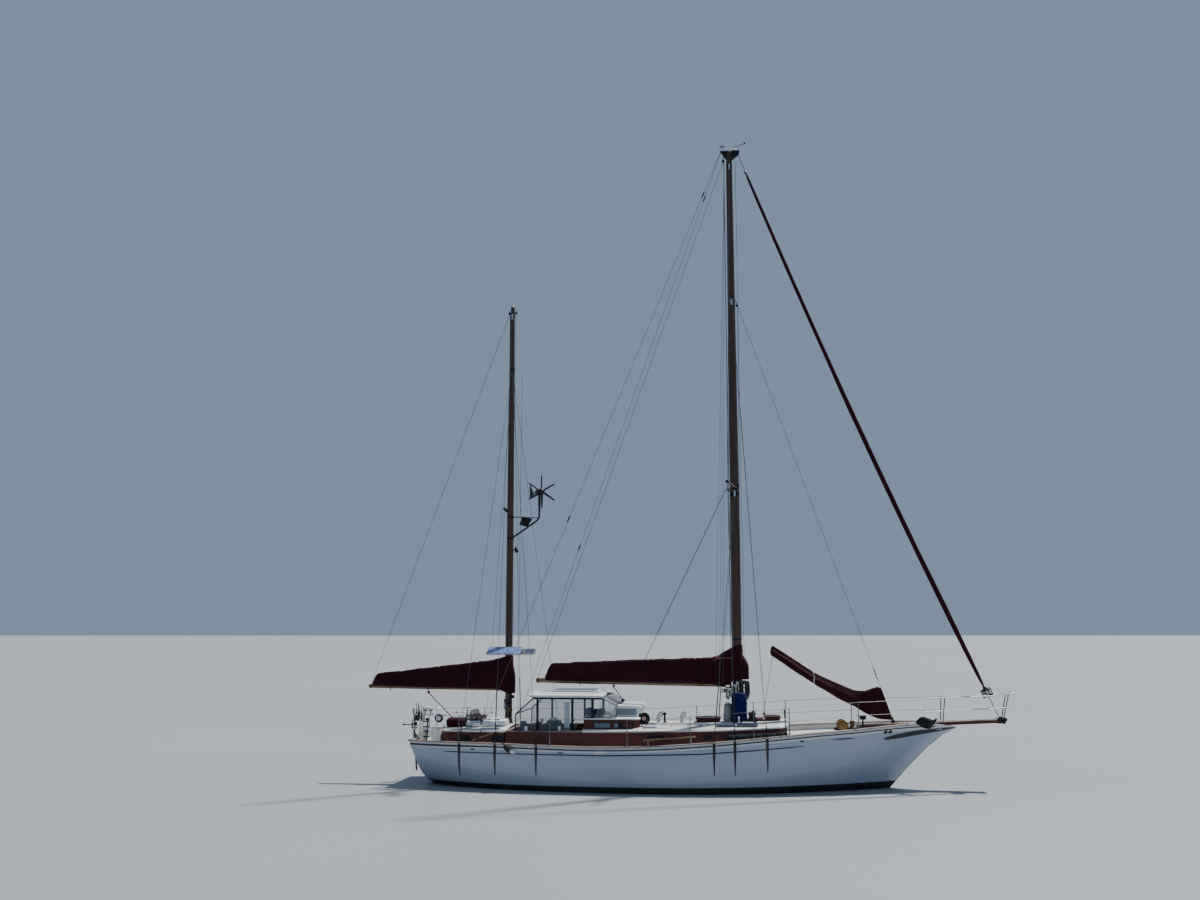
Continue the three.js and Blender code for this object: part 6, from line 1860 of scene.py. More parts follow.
def build_running_rigging():
    halyards = Shape()
    for x, y, z in ((1.28, -0.03, 16.4), (1.27, 0.03, 16.38), (1.58, 0.02, 16.38)):
        side = -1 if y < 0 else 1
        end = (1.42 + (x - 1.42) * 1.1, side * 0.15, 2.32)
        line(halyards, (x, y, z), end, 0.0045)
    line(halyards, (1.58, -0.02, 12.26), (1.5, -0.145, 2.18), 0.0045)
    line(halyards, (-4.52, -0.03, 12.25), (-4.5, -0.118, 2.0), 0.004)
    line(halyards, (-4.38, 0.03, 12.25), (-4.42, 0.118, 2.0), 0.004)
    line(halyards, (-4.15, -0.16, 10.6), (-4.15, -0.35, 1.76), 0.004)
    halyards.piece("halyards", "rope_dark")

    def blended(name, a, b, radius, look, steps):
        shape = Shape()
        line(shape, a, b, radius, steps)
        obj = shape.piece(name, look, None, slot="wire")
        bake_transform(obj)

    blended("mizzen_topping_lift", (-4.53, 0.0, 12.28), (-8.12, 0.0, 2.434), 0.0045,
            "rope_dark", 24)
    blended("main_topping_lift", (1.26, 0.0, 16.3), (-3.7, 0.0, 2.62), 0.0045, "rope_dark", 24)
    for word, side in (("port", 1), ("starboard", -1)):
        blended("lazyjack_" + word, (1.3, side * 0.08, 7.64), (-1.16, side * 0.145, 2.6),
                0.004, "rope_dark", 16)
    for number, (x, look) in enumerate(((0.865, "rope_dark"), (0.965, "rope_grey"), (1.055, "rope_grey"))):
        blended("boom_line_" + str(number + 1), (1.29, -0.06, 16.36), (x, -0.15, 2.47), 0.0035,
                look, 24)
    sheets = [("main", (-1.5, 0.0, 2.05), (-1.73, 0.0, 2.42), "main_boom"),
              ("mizzen", (-5.87, 0.0, 1.5), (-6.57, 0.0, 2.24), "mizzen_boom")]
    for word, low, high, body in sheets:
        low, high = Vector(low), Vector(high)
        shape = Shape()
        for dy in (-0.022, 0.0, 0.022):
            line(shape, low + Vector((0, dy, 0.03)), high + Vector((0, dy * 0.8, -0.03)), 0.0085, 6)
        obj = shape.piece(word + "_sheet", "rope_dark", None)
        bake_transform(obj)
        block = Shape()
        block.lathe(low - Vector((0, 0.035, 0)), (0, 1, 0), [(0, 0.02), (0.005, 0.038), (0.065, 0.038),
                (0.07, 0.02)], 18)
        block.tube([low - Vector((0, 0, 0.02)), low - Vector((0, 0, 0.085))], 0.011, 10)
        block.piece(word + "_sheet_block", "dark")
        upper = Shape().lathe(high - Vector((0, 0.03, 0.012)), (0, 1, 0),
                              [(0, 0.018), (0.005, 0.032), (0.055, 0.032), (0.06, 0.018)], 18)
        upper.piece(word + "_boom_block", "dark", body)
    horse = Shape()
    horse.tube([(-1.5, -0.34, 1.985), (-1.5, -0.33, 2.0), (-1.5, 0.33, 2.0), (-1.5, 0.34, 1.985)], 0.012, 10)
    for y in (-0.33, 0.33, 0.0):
        horse.box((-1.53, y - 0.03, 1.975), (-1.47, y + 0.03, 1.998))
    horse.box((-5.91, -0.45, 1.44), (-5.85, 0.45, 1.462))
    horse.tube([(-5.88, -0.42, 1.478), (-5.88, 0.42, 1.478)], 0.012, 10)
    horse.piece("sheet_horses", "steel", bevel=0.004)
    tackles = Shape()
    low, high = (2.06, 0.0, 1.78), (2.3, 0.0, 3.16)
    for dy in (-0.02, 0.02):
        line(tackles, (low[0], dy, low[2]), (high[0], dy, high[2]), 0.005, 8)
    obj = tackles.piece("staysail_sheet", "rope_dark", None)
    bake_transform(obj)
    Shape().lathe((2.06, -0.02, 1.755), (0, 1, 0), [(0, 0.015), (0.004, 0.03), (0.036, 0.03),
            (0.04, 0.015)], 16).piece("staysail_sheet_block", "dark")


build_wires()
build_running_rigging()


# Guard rails. A point on the rail line is a place along the hull and a rise above the cap

STANCHIONS = [-5.4, -3.08, -1.2, 0.3, 1.8, 2.64, 4.3]
GUARD_HEIGHT = 0.62


def rail_point(x, rise, side):
    return Vector((x, side * (sheer_y(x) - BULWARK_THICKNESS / 2), sheer_z(x) + CAP_HEIGHT + rise))


def rounded_path(points, radius, steps=5):
    """A path with its corners rounded off."""
    path = [Vector(p) for p in points]
    out = [path[0]]
    for before, corner, after in zip(path, path[1:], path[2:]):
        cut = min(radius, (corner - before).length / 2.2, (after - corner).length / 2.2)
        a = corner + (before - corner).normalized() * cut
        b = corner + (after - corner).normalized() * cut
        for k in range(steps + 1):
            t = k / steps
            out.append(a.lerp(corner, t).lerp(corner.lerp(b, t), t))
    out.append(path[-1])
    return out


def build_guard_rails():
    posts, sockets, wires = Shape(), Shape(), Shape()
    for side in (1, -1):
        for x in STANCHIONS:
            foot = rail_point(x, 0.0, side)
            posts.lathe(foot, UP, [(0.0, 0.0115), (GUARD_HEIGHT + 0.004, 0.0115),
                                   (GUARD_HEIGHT + 0.012, 0.006)], 14)
            for rise in (GUARD_HEIGHT, GUARD_HEIGHT / 2):
                posts.lathe(foot + Vector((0, 0, rise - 0.012)), UP,
                            [(0, 0.0115), (0.004, 0.0145), (0.02, 0.0145), (0.024, 0.0115)], 14)
            sockets.lathe(foot, UP, [(0, 0.036), (0.006, 0.036), (0.01, 0.018), (0.07, 0.017),
                                     (0.074, 0.0125)], 18)
        for rise, end_z in ((GUARD_HEIGHT, 2.16), (GUARD_HEIGHT / 2, 1.852)):
            line_points = [rail_point(-5.98, rise, side)] + [rail_point(x, rise, side) for x in STANCHIONS]
            line_points.append(Vector((5.93, side * 0.338, end_z)))
            for a, b in zip(line_points, line_points[1:]):
                wires.tube(sagging(a, b, 0.006, 6), 0.0048, 8)
            turnbuckle(sockets, line_points[0], line_points[1], 0.0, 0.24)
    # The posts and their sockets take the dark copy of the steel: painted shade.
    posts.piece("stanchions", "shaded_post_steel", replaced=[
        f"guard_rail_{word}_{end}" for word in ("port", "starboard") for end in ("aft", "fore")])
    sockets.piece("stanchion_sockets", "shaded_post_steel")
    wires.piece("guard_wires", "wire")


PULPIT_TOP = [(5.96, 0.33, 2.17), (6.45, 0.3, 2.195), (7.5, 0.215, 2.235), (7.99, 0.175, 2.29),
              (8.13, 0.11, 2.325)]
PULPIT_MIDDLE = [(5.96, 0.33, 1.85), (6.43, 0.262, 1.88), (7.5, 0.186, 1.925), (7.93, 0.142, 1.96)]


def sprit_top(x):
    return 1.427 + (x - 4.3) * 0.047 + 0.085


def across_bow(points):
    return points + [(x, -y, z) for x, y, z in reversed(points)]


def build_pulpits():
    rails, legs, flanges = Shape(), Shape(), Shape()
    rails.tube(rounded_path(smooth_path(across_bow(PULPIT_TOP), 3), 0.02, 2), 0.014, 14)
    rails.tube(rounded_path(across_bow(PULPIT_MIDDLE), 0.06), 0.011, 12)
    for side in (1, -1):
        legs.tube([(6.45, side * 0.3, 2.195), (6.4, side * 0.205, sprit_top(6.4) - 0.004)], 0.0135, 14)
        legs.tube([(7.99, side * 0.175, 2.29), (7.85, side * 0.104, sprit_top(7.85) - 0.004)], 0.0135, 14)
        for x, y in ((6.4, 0.205), (7.85, 0.104)):
            flanges.lathe((x, side * (y - 0.008), sprit_top(x) - 0.002), UP,
                          [(0, 0.036), (0.006, 0.036), (0.009, 0.022), (0.02, 0.018)], 16)
    rails.piece("pulpit_rails", "steel", replaced=("pulpit",))
    # The legs take the dark copy of the steel (painted shade); the rails above take the pale copy (painted
    # highlight).
    legs.piece("pulpit_legs", "shaded_post_steel")
    aft = Shape()
    for rise, radius in ((GUARD_HEIGHT, 0.014), (GUARD_HEIGHT / 2, 0.011)):
        points = [rail_point(-6.0, rise, 1), rail_point(-6.64, rise, 1), rail_point(-6.64, rise, -1),
                  rail_point(-6.0, rise, -1)]
        aft.tube(rounded_path(points, 0.16, 7), radius, 14)
    for x, y in ((-6.0, None), (-6.64, None), (-6.69, 0.42)):
        for side in (1, -1):
            half = y if y is not None else sheer_y(x) - 0.025
            low = Vector((x, side * half, sheer_z(x) + CAP_HEIGHT - 0.004))
            aft.tube([low, (max(x, -6.64), side * half, sheer_z(x) + CAP_HEIGHT + GUARD_HEIGHT)], 0.013, 14)
            flanges.lathe(low, UP, [(0, 0.034), (0.008, 0.034), (0.012, 0.018), (0.05, 0.016)], 16)
    aft.piece("pushpit_rails", "steel", replaced=("pushpit",))
    flanges.piece("rail_flanges", "steel")


build_guard_rails()
build_pulpits()


# Bowsprit, windlass and anchor

# Columns: x, half width
SPRIT = [(4.35, 0.19), (6.4, 0.205), (7.7, 0.16), (7.88, 0.12)]


def build_bowsprit():
    planks = Shape()
    count = 5
    places = spaced(4.35, 7.88, 0.12)
    for k in range(count):
        low, high = -1 + 2 * k / count, -1 + 2 * (k + 1) / count
        rings = []
        for x in places:
            half = line_at(SPRIT, x)[0]
            z = sprit_top(x)
            a, b = low * half + 0.004, high * half - 0.004
            rings.append([(x, a, z - 0.032), (x, b, z - 0.032), (x, b, z - 0.004), (x, b - 0.004, z),
                          (x, a + 0.004, z), (x, a, z - 0.004)])
        planks.rings(rings)
    planks.piece("bowsprit_planks", "teak", replaced=("bowsprit",))
    beams = Shape()
    for side in (1, -1):
        rings = []
        for x in places:
            half = line_at(SPRIT, x)[0]
            z = sprit_top(x)
            outer, inner = side * half, side * (half - 0.055)
            rings.append([(x, inner, z - 0.085), (x, outer, z - 0.085), (x, outer, z - 0.02),
                          (x, outer - side * 0.006, z - 0.012), (x, inner, z - 0.012)])
        beams.rings(rings)
    for x in [4.42, 4.9, 5.4, 5.9, 6.4, 6.9, 7.4, 7.8]:
        half = line_at(SPRIT, x)[0]
        z = sprit_top(x)
        beams.box((x - 0.04, -half + 0.03, z - 0.08), (x + 0.04, half - 0.03, z - 0.03))
    beams.box((4.35, -0.15, 1.28), (4.75, 0.15, 1.445))
    beams.piece("bowsprit_beams", "mahogany", slot="spar_varnish", bevel=0.004)
    iron = Shape()
    foot, top = on_forestay(1.53), on_forestay(1.625)
    iron.tube([foot, top], 0.042, 24)
    iron.lathe(Vector((foot.x, 0, sprit_top(foot.x))), UP, [(0, 0.085), (0.008, 0.085), (0.014, 0.05),
            (0.03, 0.044)], 24)
    end_z = sprit_top(7.8)
    iron.box((7.7, -0.15, end_z - 0.1), (7.9, -0.135, end_z + 0.012))
    iron.box((7.7, 0.135, end_z - 0.1), (7.9, 0.15, end_z + 0.012))
    iron.box((7.86, -0.13, end_z - 0.11), (7.895, 0.13, end_z + 0.02))
    iron.prism([(7.74, end_z), (7.87, end_z), (7.83, end_z + 0.055), (7.78, end_z + 0.055)], -0.02, 0.02)
    for y in (-0.075, 0.075):
        iron.lathe((7.9, y - 0.03, end_z - 0.01), (0, 1, 0), [(0, 0.05), (0.01, 0.042), (0.03, 0.03),
                (0.05, 0.042), (0.06, 0.05)], 20)
    iron.piece("bowsprit_irons", "dark", bevel=0.003, segments=1)


def build_windlass():
    base = Shape().box((3.78, -0.15, 1.372), (4.33, 0.15, 1.432))
    base.piece("windlass_bed", "mahogany", replaced=("windlass",), bevel=0.012)
    case = Shape()
    rings = []
    for y in (-0.13, -0.118, -0.06, 0.0, 0.06, 0.118, 0.13):
        shrink = 0.9 if abs(y) > 0.125 else 1.0
        outline = []
        for a in around(20):
            px = 3.98 + 0.13 * shrink * max(-1, min(1, 1.25 * cos(a)))
            pz = 1.505 + 0.082 * shrink * max(-1, min(1, 1.2 * sin(a)))
            outline.append((px, y, pz))
        rings.append(outline)
    case.rings(rings)
    for side in (1, -1):
        case.lathe((3.98, side * 0.13, 1.495), (0, side, 0), [(0, 0.07), (0.015, 0.072), (0.02, 0.045),
                (0.12, 0.04), (0.125, 0.02)], 24)
        case.box((3.94, side * 0.155, 1.42), (4.02, side * 0.17, 1.5))
    case.piece("windlass_case", "worn_bronze", bevel=0.006)
    drums = Shape()
    for side in (1, -1):
        drums.lathe((3.98, side * 0.205, 1.495), (0, side, 0), [(0, 0.06), (0.002, 0.098), (0.014, 0.102),
                (0.022, 0.072), (0.04, 0.072), (0.046, 0.126), (0.06, 0.13), (0.07, 0.11), (0.095, 0.086),
                (0.112, 0.094), (0.12, 0.11), (0.124, 0.06), (0.125, 0.02)], 32)
        for a in around(7):
            place = Vector((3.98 + 0.085 * cos(a), side * 0.236, 1.495 + 0.085 * sin(a)))
            drums.lathe(place - Vector((0, 0.012, 0)), (0, 1, 0), [(0, 0.012), (0.024, 0.012)], 8)
    drums.lathe((4.23, 0, 1.432), UP, [(0, 0.075), (0.012, 0.075), (0.02, 0.055), (0.06, 0.046),
            (0.115, 0.052), (0.14, 0.068), (0.16, 0.07), (0.168, 0.05), (0.17, 0.02)], 28)
    drums.piece("windlass_drums", "worn_bronze", slot="dark_metal")
    motor = Shape()
    motor.box((4.4, -0.25, 1.645), (4.55, -0.13, 1.752))
    motor.tube([(4.475, -0.19, deck_z(4.475, 0.19) - 0.01), (4.475, -0.19, 1.66)], 0.02, 12)
    motor.piece("deck_box_on_post", "dark", bevel=0.012)
    chain = Shape()
    for k in range(22):
        t = k / 21
        x = 4.02 + (4.72 - 4.02) * t
        y = -0.232 + 0.03 * t
        z = max(1.6 - 0.25 * t * t, 1.585 - t * 0.14) - 0.035
        link_along = Vector((1, 0.04, -0.18)).normalized()
        link_side = Vector((0, 1, 0)) if k % 2 else Vector((0.18, 0, 1)).normalized()
        points = [Vector((x, y, z)) + link_along * 0.022 * cos(a) + link_side * 0.013 * sin(a)
                  for a in around(10) + [2 * pi]]
        chain.tube(points, 0.0045, 6)
    chain.piece("anchor_chain", "grey_metal", slot="dark_metal")


ANCHOR_OUTLINE = [(5.68, 1.618), (5.73, 1.685), (5.79, 1.742), (5.88, 1.766), (5.96, 1.74), (6.04, 1.712),
                  (6.11, 1.69), (6.205, 1.735), (6.18, 1.655), (6.14, 1.595), (6.085, 1.55), (6.045, 1.478),
                  (5.96, 1.47), (5.88, 1.488), (5.8, 1.53), (5.725, 1.58)]


def build_anchor():
    centre = Vector((5.94, 0, 1.585))
    rings = []
    for y, scale in ((-0.683, 0.25), (-0.672, 0.62), (-0.652, 0.9), (-0.633, 1.0), (-0.612, 0.92),
                     (-0.592, 0.66), (-0.578, 0.28)):
        rings.append([(centre.x + (x - centre.x) * scale, y, centre.z + (z - centre.z) * scale)
                      for x, z in ANCHOR_OUTLINE])
    fluke = Shape().rings(rings)
    fluke.piece("anchor_fluke", "dark", replaced=("anchor",))
    shank = Shape()
    z = sheer_z(5.91) + CAP_HEIGHT + 0.004
    shank.rings([[(5.91 - w, y, z + 0.002), (5.91 + w, y, z + 0.002), (5.91 + w, y, z + h),
                  (5.91 - w, y, z + h)] for y, w, h in ((-0.66, 0.034, 0.05), (-0.58, 0.04, 0.052),
            (-0.45, 0.03, 0.045), (-0.3, 0.026, 0.04), (-0.25, 0.03, 0.04))])
    shank.tube([(5.8, -0.3, z + 0.02), (6.02, -0.3, z + 0.02)], 0.013, 10)
    shank.lathe((5.91, -0.262, z + 0.005), UP, [(0, 0.03), (0.03, 0.03), (0.034, 0.018)], 14)
    shank.tube([(5.42, -0.585, sheer_z(5.42) + CAP_HEIGHT + 0.01), (5.56, -0.6, 1.6), (5.9, -0.635, 1.65)],
               0.016, 12)
    shank.tube([(5.42, -0.55, sheer_z(5.42) + CAP_HEIGHT + 0.014),
                (5.42, -0.62, sheer_z(5.42) + CAP_HEIGHT + 0.014)], 0.012, 10)
    shank.piece("anchor_shank", "steel", slot="dark_metal", bevel=0.005)
    lashing = Shape()
    for k in range(5):
        x = 5.875 + 0.016 * k
        lashing.tube([(x, -0.4, z - 0.05), (x, -0.44, z + 0.052), (x, -0.36, z + 0.052),
                      (x, -0.34, z - 0.05)], 0.006, 6)
    lashing.piece("anchor_lashing", "rope_light")


build_bowsprit()
build_windlass()
build_anchor()


# Wind generator and small solar panels on the mizzen mast
GENERATOR_HUB = Vector((-3.69, 0, 7.42))
HEAD_TURN = radians(35)
NOSE = Vector((sin(HEAD_TURN), -cos(HEAD_TURN), 0))
ROTOR_OFFSET = 0.135
BLADE_SECTION = [(-0.35, 0.0), (-0.28, 0.45), (-0.1, 0.6), (0.25, 0.4), (0.65, 0.0), (0.25, -0.15),
                 (-0.1, -0.25), (-0.28, -0.2)]


def build_generator():
    arm = Shape()
    arm.tube(smooth_path([(-4.395, 0, 6.226), (-3.95, 0, 6.53), (-3.725, 0, 6.7), (-3.69, 0, 6.85),
                          (-3.69, 0, 7.05), (-3.69, 0, 7.229)], 5), [0.024] * 16 + [0.026] * 5
             + [0.032] * 5, 16)
    arm.tube([(-4.395, 0, 6.77), (-3.715, 0, 6.74)], 0.012, 12)
    arm.box((-4.42, -0.03, 6.17), (-4.375, 0.03, 6.27))
    arm.box((-4.42, -0.03, 6.73), (-4.375, 0.03, 6.81))
    arm.piece("generator_arm_tube", "dark", replaced=("generator_arm",), bevel=0.003)
    plate = Shape()
    corners = [(-4.225, 6.56), (-4.137, 6.78), (-3.875, 6.715), (-4.0, 6.505)]
    cx = sum(c[0] for c in corners) / 4
    for turn, width in ((0, 1), (90, 0.13)):
        spin = Matrix.Rotation(radians(turn), 3, "Z")
        turned = [Vector((cx, 0, 0)) + spin @ Vector(((px - cx) * width, 0, 0)) + Vector((0, 0, pz))
                  for px, pz in corners]
        plate.plate(turned, spin @ Vector((0, 0.004, 0)))
    plate.piece("reflector_plates", "dark")
    spotlight = Shape()
    spotlight.tube([(-4.49, 0, 6.86), (-4.53, 0, 6.9), (-4.61, 0, 6.985), (-4.64, 0, 7.015)],
                   [0.018, 0.028, 0.04, 0.036], 16)
    spotlight.box((-4.4, -0.025, 5.9), (-4.31, 0.025, 5.93))
    spotlight.lathe((-4.275, 0, 5.83), (-0.25, 0, 1), [(0, 0.02), (0.01, 0.045), (0.06, 0.048),
            (0.11, 0.03), (0.17, 0.016)], 16)
    spotlight.lathe((-4.335, 0, 2.085), UP, [(0, 0.012), (0.008, 0.03), (0.07, 0.032), (0.085, 0.014)], 16)
    spotlight.piece("mizzen_spotlight", "dark")

    head = Shape()
    axis = -NOSE
    head.lathe(GENERATOR_HUB + NOSE * 0.09, axis, [(0, 0.055), (0.004, 0.078), (0.02, 0.085), (0.1, 0.084),
            (0.2, 0.076), (0.26, 0.062), (0.29, 0.035)], 28)
    head.tube([GENERATOR_HUB - NOSE * 0.18, GENERATOR_HUB - NOSE * 0.58], 0.014, 12)
    head.lathe((GENERATOR_HUB.x, 0, 7.2303), UP, [(0, 0.034), (0.03, 0.034), (0.04, 0.03), (0.12, 0.034),
            (0.16, 0.06)], 20)
    side = NOSE.cross(UP).normalized()
    for a in around(6):
        out = side * cos(a) + UP * sin(a)
        fin = [GENERATOR_HUB + NOSE * n + out * d for n, d in ((0.06, 0.08), (0.06, 0.098), (-0.1, 0.094),
                (-0.12, 0.078))]
        wide = out.cross(NOSE).normalized() * 0.003
        head.plate(fin, wide)
    head.piece("generator_body", "dark", "generator_head", ("generator_head",))
    fin = Shape()
    corners = [(-0.608, 0.265), (-0.6, 0.05), (-0.59, -0.098), (-0.545, -0.1), (-0.34, -0.055),
               (-0.35, -0.01), (-0.575, 0.265)]
    fin.plate([GENERATOR_HUB + NOSE * n + Vector((0, 0, z)) for n, z in corners], side * 0.003)
    fin.piece("generator_tail_fin", "dark", "generator_head")

    rotor = Shape()
    centre = GENERATOR_HUB + NOSE * ROTOR_OFFSET
    for a in around(6):
        span = UP * cos(a) + side * sin(a)
        chordwise = NOSE.cross(span).normalized()
        rings = []
        for t in spaced(0.0, 1.0, 0.1):
            r = 0.045 + (0.44 - 0.045) * t
            chord = 0.064 * (1 - 0.42 * t) * (0.75 + 0.25 * min(1, t * 6)) * (1.0 if t < 0.97 else 0.6)
            pitch = radians(32 - 22 * t)
            c_dir = chordwise * cos(pitch) + NOSE * sin(pitch)
            n_dir = NOSE * cos(pitch) - chordwise * sin(pitch)
            thick = 0.009 * (1 - 0.5 * t)
            rings.append([centre + span * r + c_dir * cx * chord + n_dir * cy * thick
                          for cx, cy in BLADE_SECTION])
        rotor.rings(rings)
    rotor.lathe(centre - NOSE * 0.038, NOSE, [(0, 0.05), (0.004, 0.088), (0.04, 0.088), (0.07, 0.074),
            (0.095, 0.048), (0.108, 0.014)], 28)
    rotor.lathe(centre - NOSE * 0.042, NOSE, [(0, 0.02), (0.01, 0.02)], 12)
    rotor.piece("generator_blades", "dark", "generator_rotor", ("generator_rotor",))


PANEL_BAR_Z = 3.25


def build_mizzen_panels():
    collar = Shape()
    collar.lathe((MIZZEN_MAST["x"], 0, 3.192), UP, [(0, 0.095), (0.002, 0.114), (0.01, 0.117),
            (0.106, 0.117), (0.114, 0.114), (0.116, 0.095)], 28)
    collar.tube([(MIZZEN_MAST["x"], 0.11, PANEL_BAR_Z), (MIZZEN_MAST["x"], 0.56, PANEL_BAR_Z)], 0.014, 12)
    collar.tube([(MIZZEN_MAST["x"], -0.11, PANEL_BAR_Z), (MIZZEN_MAST["x"], -0.5, PANEL_BAR_Z)], 0.014, 12)
    collar.tube([(-4.485, -0.33, PANEL_BAR_Z), (-3.7, -0.33, PANEL_BAR_Z)], 0.012, 12)
    collar.piece("panel_brackets", "grey_metal", replaced=("mizzen_panels",), slot="shelter_metal")
    frames, cells, dark_cells = Shape(), Shape(), Shape()
    for (sx, sy, sz), tilt, place, target in (((0.9, 0.42, 0.026), 24, (-4.5, -0.33, 3.302), cells),
                                              ((0.47, 0.36, 0.024), 20, (-3.96, -0.25, 3.28), dark_cells)):
        turn = Matrix.Rotation(radians(tilt), 3, "X")
        c = Vector(place)
        rim = 0.018
        hx, hy, hz = sx / 2, sy / 2, sz / 2
        ix, iy = hx - rim, hy - rim
        for low, high in (((-hx, -hy, -hz), (hx, -iy, hz)), ((-hx, iy, -hz), (hx, hy, hz)),
                          ((-hx, -iy, -hz), (-ix, iy, hz)), ((ix, -iy, -hz), (hx, iy, hz)),
                          ((-ix, -iy, -hz), (ix, iy, -hz + 0.004))):
            frames.box(c + Vector(low), c + Vector(high), turn, c)
        target.box(c + Vector((-ix, -iy, hz - 0.008)), c + Vector((ix, iy, hz - 0.003)), turn, c)
    frames.piece("panel_frames", "grey_metal", slot="shelter_metal")
    # The large panel's cells carry the painted sky reflection; the small panel's cells are plain dark cells.
    cells.piece("panel_cells_large", "sky_reflection_solar")
    dark_cells.piece("panel_cells_small", "solar")
    knob = Shape().lathe((-4.0, -0.45, 3.33), UP, [(0, 0.012), (0.01, 0.03), (0.03, 0.036), (0.05, 0.026),
            (0.058, 0.01)], 16)
    knob.lathe((-3.99, -0.42, 3.235), UP, [(0, 0.008), (0.1, 0.008)], 8)
    knob.piece("panel_lamp", "white")


build_generator()
build_mizzen_panels()


# Underwater gear
dress("bottom_lead", "ballast_keel")
dress("bottom", "rudder")


def build_propeller():
    centre = Vector((-4.8, 0, -0.95))
    shape = Shape()
    axis = Vector((1, 0, 0))
    for a in around(3):
        span = Vector((0, sin(a), cos(a)))
        chordwise = axis.cross(span)
        rings = []
        for t in spaced(0.0, 1.0, 0.1):
            r = 0.022 + (0.235 - 0.022) * t
            chord = 0.04 + 0.075 * sin(pi * min(1.0, t * 0.92 + 0.06)) ** 0.8
            chord *= 1.0 if t < 0.95 else 0.55
            pitch = radians(62 - 40 * t)
            c_dir = chordwise * cos(pitch) + axis * sin(pitch)
            n_dir = axis * cos(pitch) - chordwise * sin(pitch)
            thick = 0.013 * (1 - 0.7 * t)
            rings.append([centre + span * r + c_dir * chord * cx + n_dir * thick * cy
                          for cx, cy in ((-0.5, 0), (-0.25, 0.45), (0.1, 0.5), (0.5, 0), (0.1, -0.3),
                    (-0.25, -0.3))])
        shape.rings(rings)
    shape.lathe(centre - axis * 0.1, axis, [(0, 0.012), (0.02, 0.026), (0.05, 0.036), (0.15, 0.038),
            (0.155, 0.02), (0.21, 0.018)], 24)
    shape.piece("propeller_blades", "bronze", "propeller", ("propeller",))
    anode = Shape()
    for y in (1, -1):
        anode.prism([(-1.2, y * 0.13), (-0.9, y * 0.13), (-0.9, y * 0.155), (-1.2, y * 0.155)], -1.25,
                    -1.17, upright=True)
    anode.piece("hull_anodes", "grey_metal", slot="underwater_gear", bevel=0.01)


build_propeller()


# Padded and stuffed gear. Each form is remeshed and blown up a little by a short cloth simulation
SIM_FRAMES = 14
CLOTH_SETTINGS = {"vertex_group_mass": "pin", "quality": 4, "mass": 0.3, "tension_stiffness": 12,
                  "compression_stiffness": 12, "shear_stiffness": 5, "bending_stiffness": 0.2,
                  "use_pressure": True, "uniform_pressure_force": 4.0, "shrink_min": -0.05}


def puff(name, shape, look, voxel, limit, pinned, replaced, seams=()):
    """A stuffed piece. pinned(point) says which places the simulation leaves where they are."""
    form = new_object(name + "_form", shape.mesh(name + "_form"))
    remesh = form.modifiers.new("remesh", "REMESH")
    remesh.mode = "VOXEL"
    remesh.voxel_size = voxel
    bpy.context.view_layer.update()
    start = evaluated_mesh(form)
    form.modifiers.clear()
    form.data = start
    rest = [v.co.copy() for v in start.vertices]
    group = form.vertex_groups.new(name="pin")
    group.add([i for i, p in enumerate(rest) if pinned(p)], 1.0, "REPLACE")
    simulation = form.modifiers.new("cloth", "CLOTH")
    for key, value in CLOTH_SETTINGS.items():
        setattr(simulation.settings, key, value)
    simulation.settings.effector_weights.gravity = 0
    simulation.point_cache.frame_start = 1
    simulation.point_cache.frame_end = SIM_FRAMES
    for frame_number in range(1, SIM_FRAMES + 1):
        bpy.context.scene.frame_set(frame_number)
    moved = form.evaluated_get(bpy.context.evaluated_depsgraph_get()).data
    for vertex, before, after in zip(start.vertices, rest, [v.co.copy() for v in moved.vertices]):
        step = after - before
        if step.length > limit:
            step = step.normalized() * limit
        vertex.co = before + step
    form.modifiers.clear()
    bpy.context.scene.frame_set(1)
    work = bmesh.new()
    work.from_mesh(start)
    bmesh.ops.smooth_vert(work, verts=work.verts, factor=0.5, use_axis_x=True, use_axis_y=True,
                          use_axis_z=True)
    for vertex in work.verts:
        p = vertex.co
        crease = max(0.0, 1 - 2.2 * abs(noise.noise(Vector((p.x * 5 + p.z * 2, p.y * 5, p.z * 6))))) ** 2
        vertex.co += vertex.normal * (0.004 * noise.noise(p * 7.0) - 0.005 * crease)
        for at, axis, depth in seams:
            near = p[axis] - at
            vertex.co -= vertex.normal * depth * exp(-(near / 0.012) ** 2)
    work.to_mesh(start)
    work.free()
    bpy.data.objects.remove(form)
    start.name = name
    obj = finish_mesh(name, start, [look], replaced=replaced)
    subdivide = obj.modifiers.new("subdivide", "SUBSURF")
    subdivide.levels = 1
    subdivide.render_levels = 1
    with bpy.context.temp_override(object=obj, active_object=obj, selected_objects=[obj]):
        bpy.ops.object.modifier_apply(modifier=subdivide.name)


def squared(value, power):
    return copysign(abs(value) ** power, value)


def oval(centre, rx, ry, z, count, power=2.0):
    """A level ring. A power over 2 makes it squarer."""
    return [(centre[0] + rx * squared(cos(a), 2 / power), centre[1] + ry * squared(sin(a), 2 / power), z)
            for a in around(count)]


def trunk_z(x, y):
    return crowned(TRUNK, TRUNK_CROWN, x, y, TOP_THICKNESS)


def aft_z(x, y):
    return crowned(AFT_CABIN, AFT_CROWN, x, y, TOP_THICKNESS)


